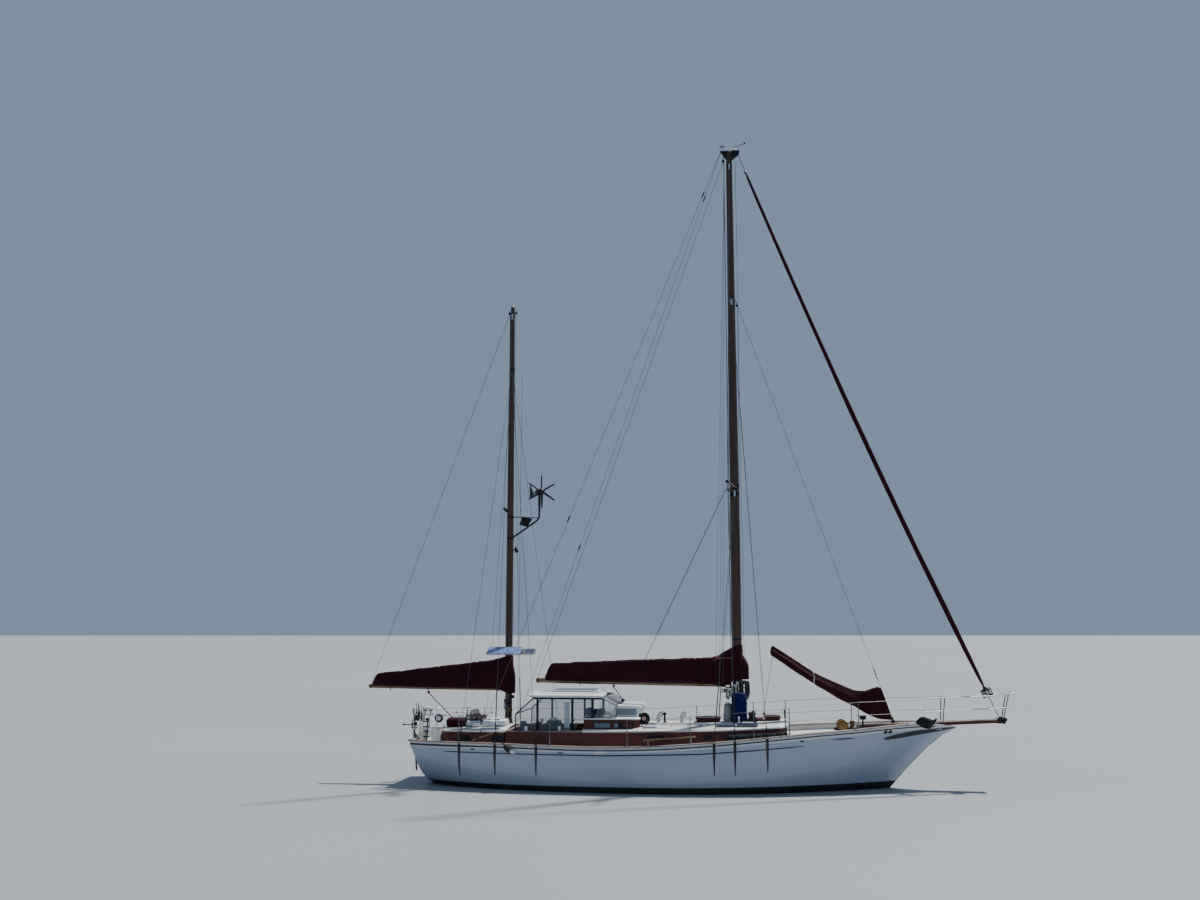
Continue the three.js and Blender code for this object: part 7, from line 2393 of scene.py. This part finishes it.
def build_halyard_bags():
    low = trunk_z(1.46, -0.2) - 0.02
    rows = [(low, 0.92, 0.92), (low + 0.05, 0.99, 1.0), (1.75, 0.98, 0.98), (1.95, 1.0, 1.0),
            (2.1, 0.97, 0.96), (2.2, 0.88, 0.88), (2.262, 0.72, 0.74), (2.278, 0.42, 0.5)]
    form = Shape().rings([oval((1.455, -0.29), 0.215 * a, 0.135 * b, z, 28) for z, a, b in rows])
    puff("blue_halyard_bag", form, "blue", 0.016, 0.022, lambda p: p.z < low + 0.03 or 2.17 < p.z < 2.21,
         ("halyard_bag_blue",), seams=((2.19, 2, 0.01), (low + 0.05, 2, 0.004)))
    ties = Shape()
    ties.loop(oval((1.455, -0.29), 0.204, 0.132, 2.19, 40), 0.006)
    low2 = trunk_z(1.165, 0) - 0.01
    rows = [(low2, 0.112), (low2 + 0.04, 0.116), (1.75, 0.11), (1.91, 0.102), (1.98, 0.086), (2.015, 0.058),
            (2.03, 0.03)]
    form = Shape().rings([oval((1.165, 0), r, r, z, 22) for z, r in rows])
    puff("canvas_halyard_bag", form, "tan", 0.013, 0.014, lambda p: p.z < low2 + 0.03 or 1.95 < p.z < 1.98,
         ("halyard_bag_canvas",), seams=((1.965, 2, 0.008),))
    ties.loop(oval((1.165, 0), 0.094, 0.094, 1.965, 32), 0.005)
    ties.piece("bag_ties", "navy")


def roll_z(x):
    return 1.175 + (x - 1.15) * 0.055


def build_side_roll():
    places = [(1.15, -1.44), (1.9, -1.345), (2.62, -1.25)]
    ties = [1.34, 1.66, 1.98, 2.3, 2.5]
    rings = []
    for x in spaced(1.152, 2.618, 0.035):
        y = line_at(places, x)[0]
        end = min(1.0, 0.55 + 9 * min(x - 1.15, 2.62 - x))
        tight = 1 - sum(0.16 * exp(-((x - t) / 0.03) ** 2) for t in ties)
        lump = 1 + 0.07 * noise.noise(Vector((x * 3.1, 2.0, 0.0)))
        rings.append([(x, y + 0.098 * end * tight * lump * cos(a), roll_z(x) + 0.034
                       + 0.14 * end * tight * lump * sin(a)) for a in around(20)])
    puff("side_deck_bundle", Shape().rings(rings), "grey_canvas", 0.015, 0.014,
         lambda p: any(abs(p.x - t) < 0.014 for t in ties) or p.z < roll_z(p.x) - 0.07, ("side_deck_roll",))
    straps = Shape()
    for t in ties:
        y = line_at(places, t)[0]
        for dx in (-0.009, 0.009):
            ring = [Vector((t + dx, y + 0.088 * cos(a), roll_z(t) + 0.034 + 0.124 * sin(a)))
                    for a in around(24)]
            straps.loop(ring, 0.006)
    straps.piece("side_deck_bundle_ties", "rope_dark")


def build_aft_bag():
    rings = []
    for x in spaced(-5.895, -5.445, 0.03):
        end = min(1.0, 0.8 + 5 * min(x + 5.9, -5.44 - x))
        ring = []
        for a in around(28):
            y = -0.575 + 0.198 * end * squared(cos(a), 0.55)
            low = aft_z(max(x, -5.9), y) - 0.004
            top = 1.628 - 0.02 * abs((y + 0.575) / 0.2) ** 2
            mid, half = (low + top) / 2, (top - low) / 2
            ring.append((x, y, mid + half * (0.6 + 0.4 * end) * squared(sin(a), 0.6)))
        rings.append(ring)
    puff("aft_deck_holdall", Shape().rings(rings), "maroon", 0.014, 0.016,
         lambda p: p.z < aft_z(max(p.x, -5.9), p.y) + 0.02, ("aft_deck_bag",),
         seams=((-5.67, 0, 0.006),))
    straps = Shape()
    straps.tube(smooth_path([(-5.78, -0.8, 1.5), (-5.76, -0.83, 1.56), (-5.67, -0.84, 1.585),
                             (-5.58, -0.83, 1.56), (-5.56, -0.8, 1.5)], 5), 0.009, 8)
    straps.piece("holdall_handle", "maroon")


def build_cushions():
    piping = Shape()
    for index, (x0, x1, y0, y1, thick) in enumerate(((-5.43, -5.03, -0.69, 0.55, 0.11),
            (-5.01, -4.635, -0.69, 0.55, 0.122), (-4.62, -4.4, -0.69, -0.17, 0.122))):
        cx, cy = (x0 + x1) / 2, (y0 + y1) / 2
        rx, ry = (x1 - x0) / 2, (y1 - y0) / 2
        rows = []
        for z, grow in ((0.0, 0.95), (0.012, 0.985), (0.5, 1.0), (0.88, 0.985), (1.0, 0.95)):
            ring = oval((cx, cy), rx * grow, ry * grow, 0.0, 36, 9.0)
            rows.append([(x, y, aft_z(x, y) + 0.004 + thick * z) for x, y, _ in ring])
        puff("deck_cushion_" + str(index + 1), Shape().rings(rows), "cushion", 0.016, 0.014,
             lambda p: p.z < aft_z(p.x, p.y) + 0.02, ("deck_cushions",) if index == 0 else ())
        for share in (0.08, 0.93):
            ring = oval((cx, cy), rx * 1.005, ry * 1.002, 0.0, 60, 9.0)
            piping.loop([Vector((x, y, aft_z(x, y) + 0.004 + thick * share)) for x, y, _ in ring], 0.004)
    piping.piece("cushion_piping", "navy")


def build_fenders():
    cords = Shape()
    for index, (a, b, radius) in enumerate((((-5.42, -0.52, 0.07), (-5.35, -0.12, 0.07), 0.072),
            ((-5.26, -0.56, 0.076), (-5.17, -0.16, 0.076), 0.076),
            ((-5.12, -0.52, 0.06), (-5.03, -0.14, 0.06), 0.06),
            ((-5.31, -0.5, 0.185), (-5.24, -0.12, 0.185), 0.072))):
        base = Vector((a[0], a[1], aft_z(a[0], a[1]) + 0.118 + a[2]))
        end = Vector((b[0], b[1], aft_z(b[0], b[1]) + 0.118 + b[2]))
        axis = (end - base).normalized()
        length = (end - base).length
        form = Shape().lathe(base, axis, [(0, radius * 0.22), (0.02, radius * 0.6), (0.06, radius * 0.93),
                (0.1, radius), (length - 0.1, radius), (length - 0.06, radius * 0.93),
                (length - 0.02, radius * 0.6), (length, radius * 0.22)], 24)
        puff("deck_fender_" + str(index + 1), form, "buff_cloth" if index in (1, 2) else "cream_cloth",
             0.012, 0.008, lambda p, c=base: (p - c).dot(axis) < 0.02, ())
        cords.tube(smooth_path([base, base - axis * 0.06, base - axis * 0.12 + Vector((0.05, 0, -0.02)),
                                base - axis * 0.1 + Vector((0.14, 0.02, -0.07))], 5), 0.006, 8)
        for s in (0.05, length - 0.05):
            u = axis.orthogonal().normalized()
            w = axis.cross(u)
            cords.loop([base + axis * s + (u * cos(t) + w * sin(t)) * radius * 0.93 for t in around(24)],
                       0.006)
    for x, lean in ((-5.46, 0.05), (-5.41, -0.02)):
        cords.tube([(x, -0.5, 1.6), (x + lean, -0.5, 1.83)], 0.011, 8)
    cords.piece("fender_lanyards", "rope_dark")


def build_horseshoe():
    """Horseshoe float on the stern rail, and a coil of blue rope round a pale ring beside it."""
    centre = Vector((-6.25, -1.225, 1.815))
    angles = [radians(-58 + 296 * k / 26) for k in range(27)]
    points = [centre + Vector((0.088 * cos(a), 0, 0.088 * sin(a))) for a in angles]
    rings = []
    for i, p in enumerate(points):
        out = (p - centre).normalized()
        end = min(1.0, 0.55 + 0.25 * min(i, len(points) - 1 - i))
        rings.append([p + out * 0.046 * end * cos(t) + Vector((0, 0.04 * end * sin(t), 0))
                      for t in around(14)])
    puff("horseshoe_float", Shape().rings(rings), "cream_cloth", 0.009, 0.006, lambda p: p.y > -1.2, ())
    straps = Shape()
    for degrees in (28, 152):
        a = radians(degrees)
        p = centre + Vector((0.088 * cos(a), 0, 0.088 * sin(a)))
        out = (p - centre).normalized()
        turn = out.cross(Vector((0, 1, 0)))
        for d in (-0.008, 0.0, 0.008):
            ring = [p + turn * d + out * 0.05 * cos(t) + Vector((0, 0.045 * sin(t), 0)) for t in around(16)]
            straps.loop(ring, 0.0045)
    straps.piece("horseshoe_straps", "navy")
    middle = Vector((-5.95, -1.31, 1.668))
    coil = Shape()
    for turn in range(4):
        for layer in (0, 1):
            r = 0.066 + 0.012 * turn
            y = -0.012 * layer
            ring = [middle + Vector((r * cos(t) + 0.002 * sin(5 * t + turn), y + 0.002 * sin(7 * t),
                                     r * sin(t))) for t in around(30)]
            coil.loop(ring, 0.0065)
    coil.piece("blue_rope_coil", "rope_blue")
    disc = Shape().lathe(middle + Vector((0, 0.012, 0)), (0, -1, 0),
                         [(0, 0.045), (0.006, 0.058), (0.014, 0.06), (0.02, 0.052), (0.024, 0.02)], 28)
    disc.tube([middle + Vector((0, 0.01, 0)), middle + Vector((0, -0.06, -0.035))], 0.008, 8)
    disc.piece("coil_hook_plate", "white")
    hook = Shape().tube(smooth_path([middle + Vector((0, dy, dz))
            for dy, dz in ((-0.035, 0.07), (-0.025, 0.105), (0, 0.1), (0.008, 0.06))], 4), 0.006, 8)
    hook.piece("coil_hook", "steel")


build_halyard_bags()
build_side_roll()
build_aft_bag()
build_cushions()
build_fenders()
build_horseshoe()


# Gear on the stern

def build_stern_gear():
    locker = Shape()
    low = deck_z(-6.13, -0.7) - 0.01
    locker.box((-6.25, -0.92, low), (-6.0, -0.48, 1.405))
    locker.piece("stern_locker", "white", bevel=0.012)
    lid = Shape().box((-6.262, -0.935, 1.405), (-5.99, -0.465, 1.43))
    for y in (-0.85, -0.7, -0.55):
        lid.box((-6.256, y - 0.03, 1.2), (-6.25, y + 0.03, 1.34))
    lid.piece("stern_locker_lid", "white", bevel=0.006)
    latch = Shape().box((-6.14, -0.944, 1.375), (-6.1, -0.934, 1.418))
    for x in (-6.22, -6.03):
        latch.box((x - 0.02, -0.942, 1.385), (x + 0.02, -0.934, 1.412))
    latch.piece("stern_locker_latch", "steel", bevel=0.002)

    cans = Shape()
    for x, y, r, tall in ((-6.56, -0.62, 0.085, 0.33), (-6.56, -0.42, 0.085, 0.33)):
        base = Vector((x, y, deck_z(x, y) - 0.004))
        cans.lathe(base, UP, [(0, r * 0.8), (0.012, r), (tall * 0.45, r), (tall * 0.46, r + 0.003),
                              (tall * 0.48, r + 0.003), (tall * 0.49, r), (tall * 0.84, r),
                              (tall * 0.92, r * 0.86), (tall, r * 0.45)], 26)
        cans.tube([base + Vector((0, 0, tall - 0.01)), base + Vector((0, 0, tall + 0.03))], 0.02, 12)
        ring = [base + Vector((0.05 * cos(t), 0.05 * sin(t), tall + 0.045)) for t in around(24)]
        cans.loop(ring, 0.006)
        for t in (0.5, 2.6, 4.7):
            cans.tube([base + Vector((0.05 * cos(t), 0.05 * sin(t), tall - 0.03)),
                       base + Vector((0.05 * cos(t), 0.05 * sin(t), tall + 0.045))], 0.005, 8)
    cans.piece("gas_bottles", "cream")

    stiles, treads = Shape(), Shape()
    for x in (-6.355, -6.185):
        stiles.tube(smooth_path([(x, -1.3, 1.16), (x, -1.3, 1.6), (x, -1.295, 1.7), (x, -1.265, 1.765),
                                 (x, -1.235, 1.768)], 4), 0.014, 12)
    for z in (1.22, 1.34, 1.46, 1.58):
        treads.box((-6.345, -1.335, z - 0.012), (-6.195, -1.27, z + 0.012))
    stiles.piece("stern_ladder_stiles", "white")
    treads.piece("stern_ladder_treads", "dark", bevel=0.004)

    post = Shape()
    rail_z = sheer_z(-6.27) + CAP_HEIGHT
    post.tube([(-6.27, -1.2, rail_z - 0.004), (-6.27, -1.2, 1.62)], 0.016, 12)
    post.box((-6.31, -1.225, 1.6), (-6.23, -1.175, 1.66))
    post.piece("outboard_post", "dark", bevel=0.004)

    rods = Shape()
    top = sheer_z(-6.6) + CAP_HEIGHT + GUARD_HEIGHT
    for x, y, tall in ((-6.63, -0.9, 0.28), (-6.63, -0.65, 0.22), (-6.5, -1.2, 0.3), (-6.42, -1.205, 0.26),
                       (-6.36, -1.21, 0.2)):
        rods.lathe((x, y, top - 0.16), UP, [(0, 0.02), (0.004, 0.023), (0.2, 0.023), (0.204, 0.019)], 14)
        rods.tube([(x, y, top + 0.04), (x - 0.02, y, top + tall)], [0.011, 0.006], 10)
    rods.piece("rod_holders", "dark")
    aerial = Shape().lathe((-6.66, -1.0, top + 0.012), UP, [(0, 0.012), (0.11, 0.012), (0.115, 0.045),
            (0.125, 0.052), (0.15, 0.045), (0.165, 0.012)], 20)
    aerial.piece("satellite_aerial", "white")

    spar = Shape()
    z = rail_point(-5.8, 0.5, 1).z
    start, end = Vector((-6.3, 1.305, z)), Vector((-5.06, 1.52, z))
    spar.tube([start, start.lerp(end, 0.03), start.lerp(end, 0.97), end], [0.012, 0.019, 0.019, 0.012], 14)
    spar.piece("whisker_pole", "white")
    lash = Shape()
    for t in (0.12, 0.5, 0.88):
        c = start.lerp(end, t)
        for d in (-0.01, 0.0, 0.01):
            ring = [c + Vector((d, 0.026 * cos(a), 0.026 * sin(a))) for a in around(14)]
            lash.loop(ring, 0.004)
        lash.tube([c + Vector((0, 0, 0.024)),
                   Vector((c.x, c.y + 0.02, rail_point(c.x, GUARD_HEIGHT, 1).z - 0.004))], 0.004, 6)
    lash.piece("pole_lashings", "rope_dark")

    panes, rims = Shape(), Shape()
    at = wall_y(AFT_CABIN, 0.85)
    for x0, x1, z0, z1 in ((-5.5, -5.22, 1.105, 1.235), (-4.62, -4.345, 1.105, 1.235)):
        for side in (1, -1):
            window(rims, panes, x0, x1, z0, z1, at, side, rim=0.024, corner=0.045)
    rims.piece("after_window_rims", "dark")
    panes.piece("after_window_panes", "glass", slot="solar_glass")

    pole = Shape().tube([(-5.05, -1.505, 1.155), (-4.52, -1.2, 1.34)], 0.013, 12)
    pole.piece("boathook_shaft", "boom")
    hook = Shape().tube(smooth_path([(-4.52, -1.2, 1.34), (-4.47, -1.17, 1.358), (-4.44, -1.165, 1.345)],
            5), 0.01, 8)
    hook.piece("boathook_head", "bronze")

    y = sheer_y(-4.2) + 0.062
    hung = Shape()
    hung.lathe((-4.19, -y - 0.02, 1.085), Vector((0.62, -0.03, -0.78)),
               [(0, 0.018), (0.02, 0.05), (0.06, 0.066), (0.14, 0.062), (0.2, 0.044), (0.23, 0.018)], 18)
    hung.tube(smooth_path([Vector((-4.26, -y + 0.02, sheer_z(-4.2) + CAP_HEIGHT)),
                           Vector((-4.24, -y - 0.008, 1.13)), Vector((-4.19, -y - 0.02, 1.085))], 5), 0.011,
              8)
    hung.piece("hanging_fender", "rubber")
    ball = Shape().lathe((-4.065, -y - 0.024, 0.935), Vector((1, 0, -0.1)),
                         [(0, 0.014), (0.01, 0.036), (0.04, 0.044), (0.13, 0.044), (0.15, 0.03),
                          (0.16, 0.012)], 18)
    ball.piece("hanging_fender_end", "white")


def build_vane_gear():
    frame_shape, paddle = Shape(), Shape()
    for side in (1, -1):
        frame_shape.tube(rounded_path([(-6.6, side * 0.17, 0.84), (-6.935, side * 0.04, 1.18),
                (-6.935, 0, 1.33)], 0.05), 0.016, 14)
    frame_shape.lathe((-6.935, 0, 1.29), UP, [(0, 0.05), (0.01, 0.066), (0.06, 0.07), (0.13, 0.07),
            (0.175, 0.055), (0.19, 0.03)], 24)
    frame_shape.box((-7.0, -0.05, 1.31), (-6.87, 0.05, 1.46))
    frame_shape.tube([(-6.935, 0, 1.46), (-6.935, 0, 1.62)], 0.022, 14)
    frame_shape.lathe((-6.935, -0.03, 1.56), (0, 1, 0), [(0, 0.02), (0.008, 0.045), (0.052, 0.045),
            (0.06, 0.02)], 20)
    frame_shape.tube([(-7.0, 0, 1.4), (-7.25, 0, 1.4)], 0.012, 12)
    frame_shape.lathe((-7.25, 0, 1.4), (1, 0, 0), [(0, 0.008), (0.004, 0.022), (0.05, 0.022),
            (0.054, 0.012)], 14)
    frame_shape.tube([(-6.94, 0, 1.3), (-6.85, 0, 0.25)], 0.022, 14)
    for z in (0.95, 0.62):
        t = (1.3 - z) / 1.05
        centre = Vector((-6.94 + 0.09 * t, 0, z))
        frame_shape.lathe(centre, (0.09, 0, -1.05), [(0, 0.022), (0.003, 0.03), (0.04, 0.03),
                (0.043, 0.022)], 16)
    ring = [Vector((-6.935 + 0.085 * cos(a), 0.085 * sin(a) * 0.6, 1.505)) for a in around(28)]
    frame_shape.loop(ring, 0.008)
    frame_shape.piece("vane_gear_frame", "dark", replaced=("vane_gear",), bevel=0.003)
    for lean in (-1, 1):
        base = Vector((-6.928 + lean * 0.006, 0, 1.6))
        top = Vector((-6.925 + lean * 0.056, 0, 1.8))
        wide = Vector((0.016, 0, 0.004))
        out = Vector((0, 0.006, 0))
        paddle.rings([[p + out * sign + w for sign, w in ((-1, -wide * k), (1, -wide * k), (1, wide * k),
                (-1, wide * k))] for p, k in ((base, 0.7), (base.lerp(top, 0.5), 1.0), (top, 0.8))])
    paddle.prism([(-6.985, 1.665), (-6.87, 1.665), (-6.9, 1.7), (-6.955, 1.7)], -0.005, 0.005)
    paddle.piece("vane_blade", "dark", bevel=0.002)
    lines = Shape()
    for side in (1, -1):
        lines.tube(smooth_path([Vector((-6.93, side * 0.05, 1.33)), Vector((-6.8, side * 0.25, 1.22)),
                                Vector((-6.62, side * 0.45, 1.12)),
                                Vector((-6.2, side * 0.55, deck_z(-6.2, 0.55) + 0.02))], 5), 0.005, 8)
    lines.piece("steering_lines", "rope_light")


build_stern_gear()
build_vane_gear()


# Loose gear amidships

COIL_ROPE = 0.0065


def coil_of_rope(shape, top, height, width, turns, seed):
    """A halyard's coil hung from a cleat: long loops side by side."""
    for k in range(turns):
        shift = (k - turns / 2) * COIL_ROPE * 1.5
        w = width * (0.85 + 0.3 * ((k * 7 + seed) % 5) / 5)
        h = height * (0.9 + 0.2 * ((k * 3 + seed) % 4) / 4)
        points = []
        for a in around(28):
            x = sin(a) * w * (0.6 + 0.4 * (1 - cos(a)) / 2)
            z = -h * (1 - cos(a)) / 2
            points.append(Vector(top) + Vector((x + shift * 0.6, -abs(shift) * 0.2 + shift * 0.5, z)))
        shape.loop(points, COIL_ROPE)
    c = Vector(top) + Vector((0, 0, -height * 0.16))
    for d in (-0.012, 0.0, 0.012):
        ring = [c + Vector((0.03 * cos(t), 0.026 * sin(t), d)) for t in around(14)]
        shape.loop(ring, COIL_ROPE)


def build_mast_coils():
    light, dark = Shape(), Shape()
    hanks = [(1.07, -0.11, 2.37, 0.09, light), (1.13, -0.13, 2.37, 0.09, dark),
             (1.18, -0.14, 2.372, 0.25, dark), (1.21, -0.17, 2.372, 0.2, light),
             (1.34, -0.19, 2.48, 0.24, light), (1.42, -0.2, 2.55, 0.3, light),
             (1.5, -0.2, 2.58, 0.36, dark), (1.585, -0.18, 2.58, 0.44, dark),
             (1.64, -0.14, 2.57, 0.44, dark), (1.68, -0.06, 2.56, 0.42, dark),
             (1.3, 0.17, 2.42, 0.34, light), (1.52, 0.17, 2.42, 0.34, dark)]
    for index, (x, y, z, h, shape) in enumerate(hanks):
        coil_of_rope(shape, (x, y, z), h, 0.03 if x > 1.6 else 0.05, 6, index)
    for index, (x, y, z, h) in enumerate(((-4.4, -0.13, 2.1, 0.22), (-4.52, -0.13, 2.08, 0.26),
            (-4.45, 0.13, 2.1, 0.24))):
        coil_of_rope(dark, (x, y, z), h, 0.03, 3, index)
    light.piece("light_rope_coils", "rope_light")
    dark.piece("dark_rope_coils", "rope_dark")
    rail = Shape()
    ring_z = 2.395

    def on_ring(t):
        return Vector((MAIN_MAST["x"] + 0.235 * cos(t) * (1.25 if cos(t) < 0 else 0.95), 0.2 * sin(t),
                       ring_z))

    rail.loop([on_ring(t) for t in around(36)], 0.014)
    for t in (0.6, 2.3, 4.0, 5.7):
        rail.tube([(MAIN_MAST["x"] + 0.12 * cos(t), 0.12 * sin(t), ring_z), on_ring(t)], 0.01, 8)
    rail.piece("mast_pin_rail", "bronze")


def build_roof_gear():
    grey = Shape()
    low = trunk_z(1.68, -0.9) - 0.008
    slate = Shape().box((1.385, -1.0, low), (1.9, -0.8, 1.6))
    slate.box((0.9, -0.99, trunk_z(1.1, -0.9) - 0.02), (1.36, -0.81, 1.56))
    slate.piece("liferaft_box", "slate", bevel=0.014, segments=3)
    low = trunk_z(-0.73, -1.0) - 0.008
    grey.box((-0.9, -1.1, low), (-0.56, -0.9, 1.5))
    grey.piece("low_vent_box", "pale_grey", bevel=0.014, segments=3)
    white = Shape()
    low = trunk_z(-0.4, -1.0) - 0.008
    white.box((-0.555, -1.09, low), (-0.27, -0.91, 1.47))
    white.box((1.52, -0.99, 1.599), (1.8, -0.81, 1.61))
    white.lathe((1.44, -0.6, trunk_z(1.44, -0.6) - 0.004), UP, [(0, 0.03), (0.012, 0.03), (0.02, 0.018),
            (0.13, 0.018), (0.15, 0.028), (0.165, 0.012)], 16)
    white.piece("vent_box", "white", bevel=0.01)
    winch = Shape()
    base = Vector((1.765, -0.55, trunk_z(1.765, -0.55) - 0.003))
    winch.lathe(base, UP, [(0, 0.118), (0.09, 0.112), (0.096, 0.102), (0.12, 0.1), (0.13, 0.086),
                           (0.17, 0.076), (0.2, 0.082), (0.235, 0.1), (0.252, 0.1), (0.262, 0.03)], 26)
    winch.tube([base + Vector((0, 0, 0.255)), base + Vector((0, 0, 0.285)),
                base + Vector((0.1, -0.02, 0.3))], 0.012, 10)
    winch.piece("roof_winch", "dark")
    hose = Shape()
    for turn in range(5):
        for layer in range(3):
            r = 0.06 + 0.02 * turn
            middle = Vector((-0.89, -0.8 + 0.02 * layer, 1.665))
            hose.loop([middle + Vector((r * cos(t) * (1 + 0.03 * sin(3 * t + turn)), 0.004 * sin(5 * t),
                    r * sin(t))) for t in around(30)], 0.011)
    for dx in (-0.05, 0.06):
        foot = Vector((-0.89 + dx, -0.8, trunk_z(-0.89 + dx, -0.8) - 0.003))
        hose.tube([foot, foot + Vector((0, 0, 0.12)), foot + Vector((0, 0.05, 0.125))], 0.012, 8)
    hose.piece("dark_hose_coil", "rubber")
    fore_post = Shape()
    z = sheer_z(2.53) + CAP_HEIGHT
    y = -(sheer_y(2.53) - 0.06)
    fore_post.tube([(2.575, y, z - 0.2), (2.53, y, 1.93)], 0.015, 12)
    fore_post.lathe((2.53, y, 1.925), UP, [(0, 0.013), (0.004, 0.022), (0.03, 0.022), (0.034, 0.01)], 12)
    fore_post.piece("awning_post", "dark")
    pole = Shape()
    start, end = Vector((-0.86, -1.5, 1.2)), Vector((0.42, -1.47, 1.3))
    pole.tube([start, start.lerp(end, 0.02), start.lerp(end, 0.98), end], [0.014, 0.022, 0.022, 0.014], 14)
    pole.piece("side_deck_pole", "boom")
    chocks = Shape()
    for t in (0.1, 0.9):
        c = start.lerp(end, t)
        chocks.box((c.x - 0.02, c.y - 0.03, deck_z(c.x, 1.47) - 0.01), (c.x + 0.02, c.y + 0.03, c.z - 0.018))
    chocks.piece("side_deck_chocks", "teak", bevel=0.004)


SEAT_TOP = 1.012


def soft_block(shape, centre, half, low, high):
    rows = [(low, 0.9), (low + 0.015, 1.0), (high - 0.05, 1.0), (high - 0.012, 0.93), (high, 0.72)]
    shape.rings([oval(centre, half[0] * a, half[1] * a, z, 26, 4.5) for z, a in rows])


def build_cockpit_gear():
    """Things seen through the shelter's clear sides. They stand on the seats or lie on the deckhouse."""
    navy, white = Shape(), Shape()
    soft_block(navy, (-3.145, -0.74), (0.185, 0.13), SEAT_TOP, 1.6)
    soft_block(navy, (-3.905, -0.86), (0.078, 0.1), SEAT_TOP, 1.58)
    navy.piece("cockpit_bags", "navy")
    soft_block(white, (-3.16, -0.75), (0.085, 0.07), 1.598, 1.672)
    soft_block(white, (-2.79, -0.82), (0.085, 0.09), SEAT_TOP, 1.385)
    white.piece("cockpit_boxes", "white")
    brown = Shape()
    soft_block(brown, (-3.52, -0.8), (0.09, 0.1), SEAT_TOP, 1.565)
    brown.piece("brown_cockpit_bag", "mahogany_upright")

    rings = []
    for x in spaced(-2.33, -1.86, 0.03):
        end = min(1.0, 0.66 + 4 * min(x + 2.335, -1.855 - x))
        low = crowned(DOGHOUSE, DOGHOUSE_CROWN, x, 0.85, 0.026)
        high = 1.915 + 0.02 * sin(x * 16) - 0.03 * (x + 2.33)
        middle, tall = (low + high) / 2, (high - low) / 2
        rings.append([(x, -0.85 + 0.12 * end * cos(a), middle + tall * end * sin(a)) for a in around(22)])
    puff("folded_awning", Shape().rings(rings), "navy", 0.014, 0.014, lambda p: p.z < 1.75, (),
         seams=((-2.19, 0, 0.01), (-2.02, 0, 0.01)))

    towel = Shape()
    rows, columns = 14, 10
    points = []
    for r in range(rows + 1):
        v = r / rows
        for q in range(columns + 1):
            u = q / columns
            points.append(Vector((-2.845 + 0.135 * u, -1.045 + 0.02 * sin(11 * u + 2 * v) * (0.3 + 0.7 * v),
                                  2.06 - 0.62 * v)))
    towel.add(points, grid_faces(rows, columns))
    cloth("hung_towel", towel, "cushion", thickness=0.004)
    Shape().tube([(-3.46, -1.045, 2.064), (-2.13, -1.045, 2.064)], 0.005, 8).piece("towel_line", "rope_light")


build_mast_coils()
build_roof_gear()
build_cockpit_gear()


# Camera, lights and floor
CAMERA_PLACE = (1.7267, -31.0208, 3.93)
CAMERA_YAW = radians(7)
CAMERA_PITCH = radians(8.344)
SKY = (0.5, 0.68, 0.95, 1)
SKY_STRENGTH = 0.42
SUN_STRENGTH = 5.8
SUN_COLOR = (1.0, 0.97, 0.92)
SUN_DIRECTION = Vector((-0.4, -0.38, -1.0))


def build_stage():
    camera = bpy.data.cameras.new("camera")
    camera.sensor_width = 36.0
    camera.lens = 36.0
    camera.clip_end = 500.0
    view = new_object("camera", camera)
    view.location = CAMERA_PLACE
    look = Vector((-sin(CAMERA_YAW) * cos(CAMERA_PITCH), cos(CAMERA_YAW) * cos(CAMERA_PITCH),
                   sin(CAMERA_PITCH)))
    view.rotation_mode = "QUATERNION"
    view.rotation_quaternion = look.to_track_quat("-Z", "Y")
    bpy.context.scene.camera = view

    s = Surface("floor", 0.6)
    s.color(s.ramp(s.noise(0.05, 2.0), [(0.3, (0.28, 0.3, 0.32)), (0.7, (0.31, 0.33, 0.35))]))
    mesh = bpy.data.meshes.new("floor")
    mesh.from_pydata([(-400, -120, 0), (400, -120, 0), (400, 900, 0), (-400, 900, 0)], [], [(0, 1, 2, 3)])
    mesh.materials.append(s.material)
    new_object("floor", mesh)

    world = bpy.context.scene.world or bpy.data.worlds.new("world")
    bpy.context.scene.world = world
    world.use_nodes = True
    background = world.node_tree.nodes["Background"]
    background.inputs["Color"].default_value = SKY
    background.inputs["Strength"].default_value = SKY_STRENGTH
    sun = bpy.data.lights.new("sun", "SUN")
    sun.energy = SUN_STRENGTH
    sun.angle = radians(2.5)
    sun.color = SUN_COLOR
    lamp = new_object("sun", sun)
    lamp.rotation_mode = "QUATERNION"
    lamp.rotation_quaternion = SUN_DIRECTION.to_track_quat("-Z", "Y")


build_stage()
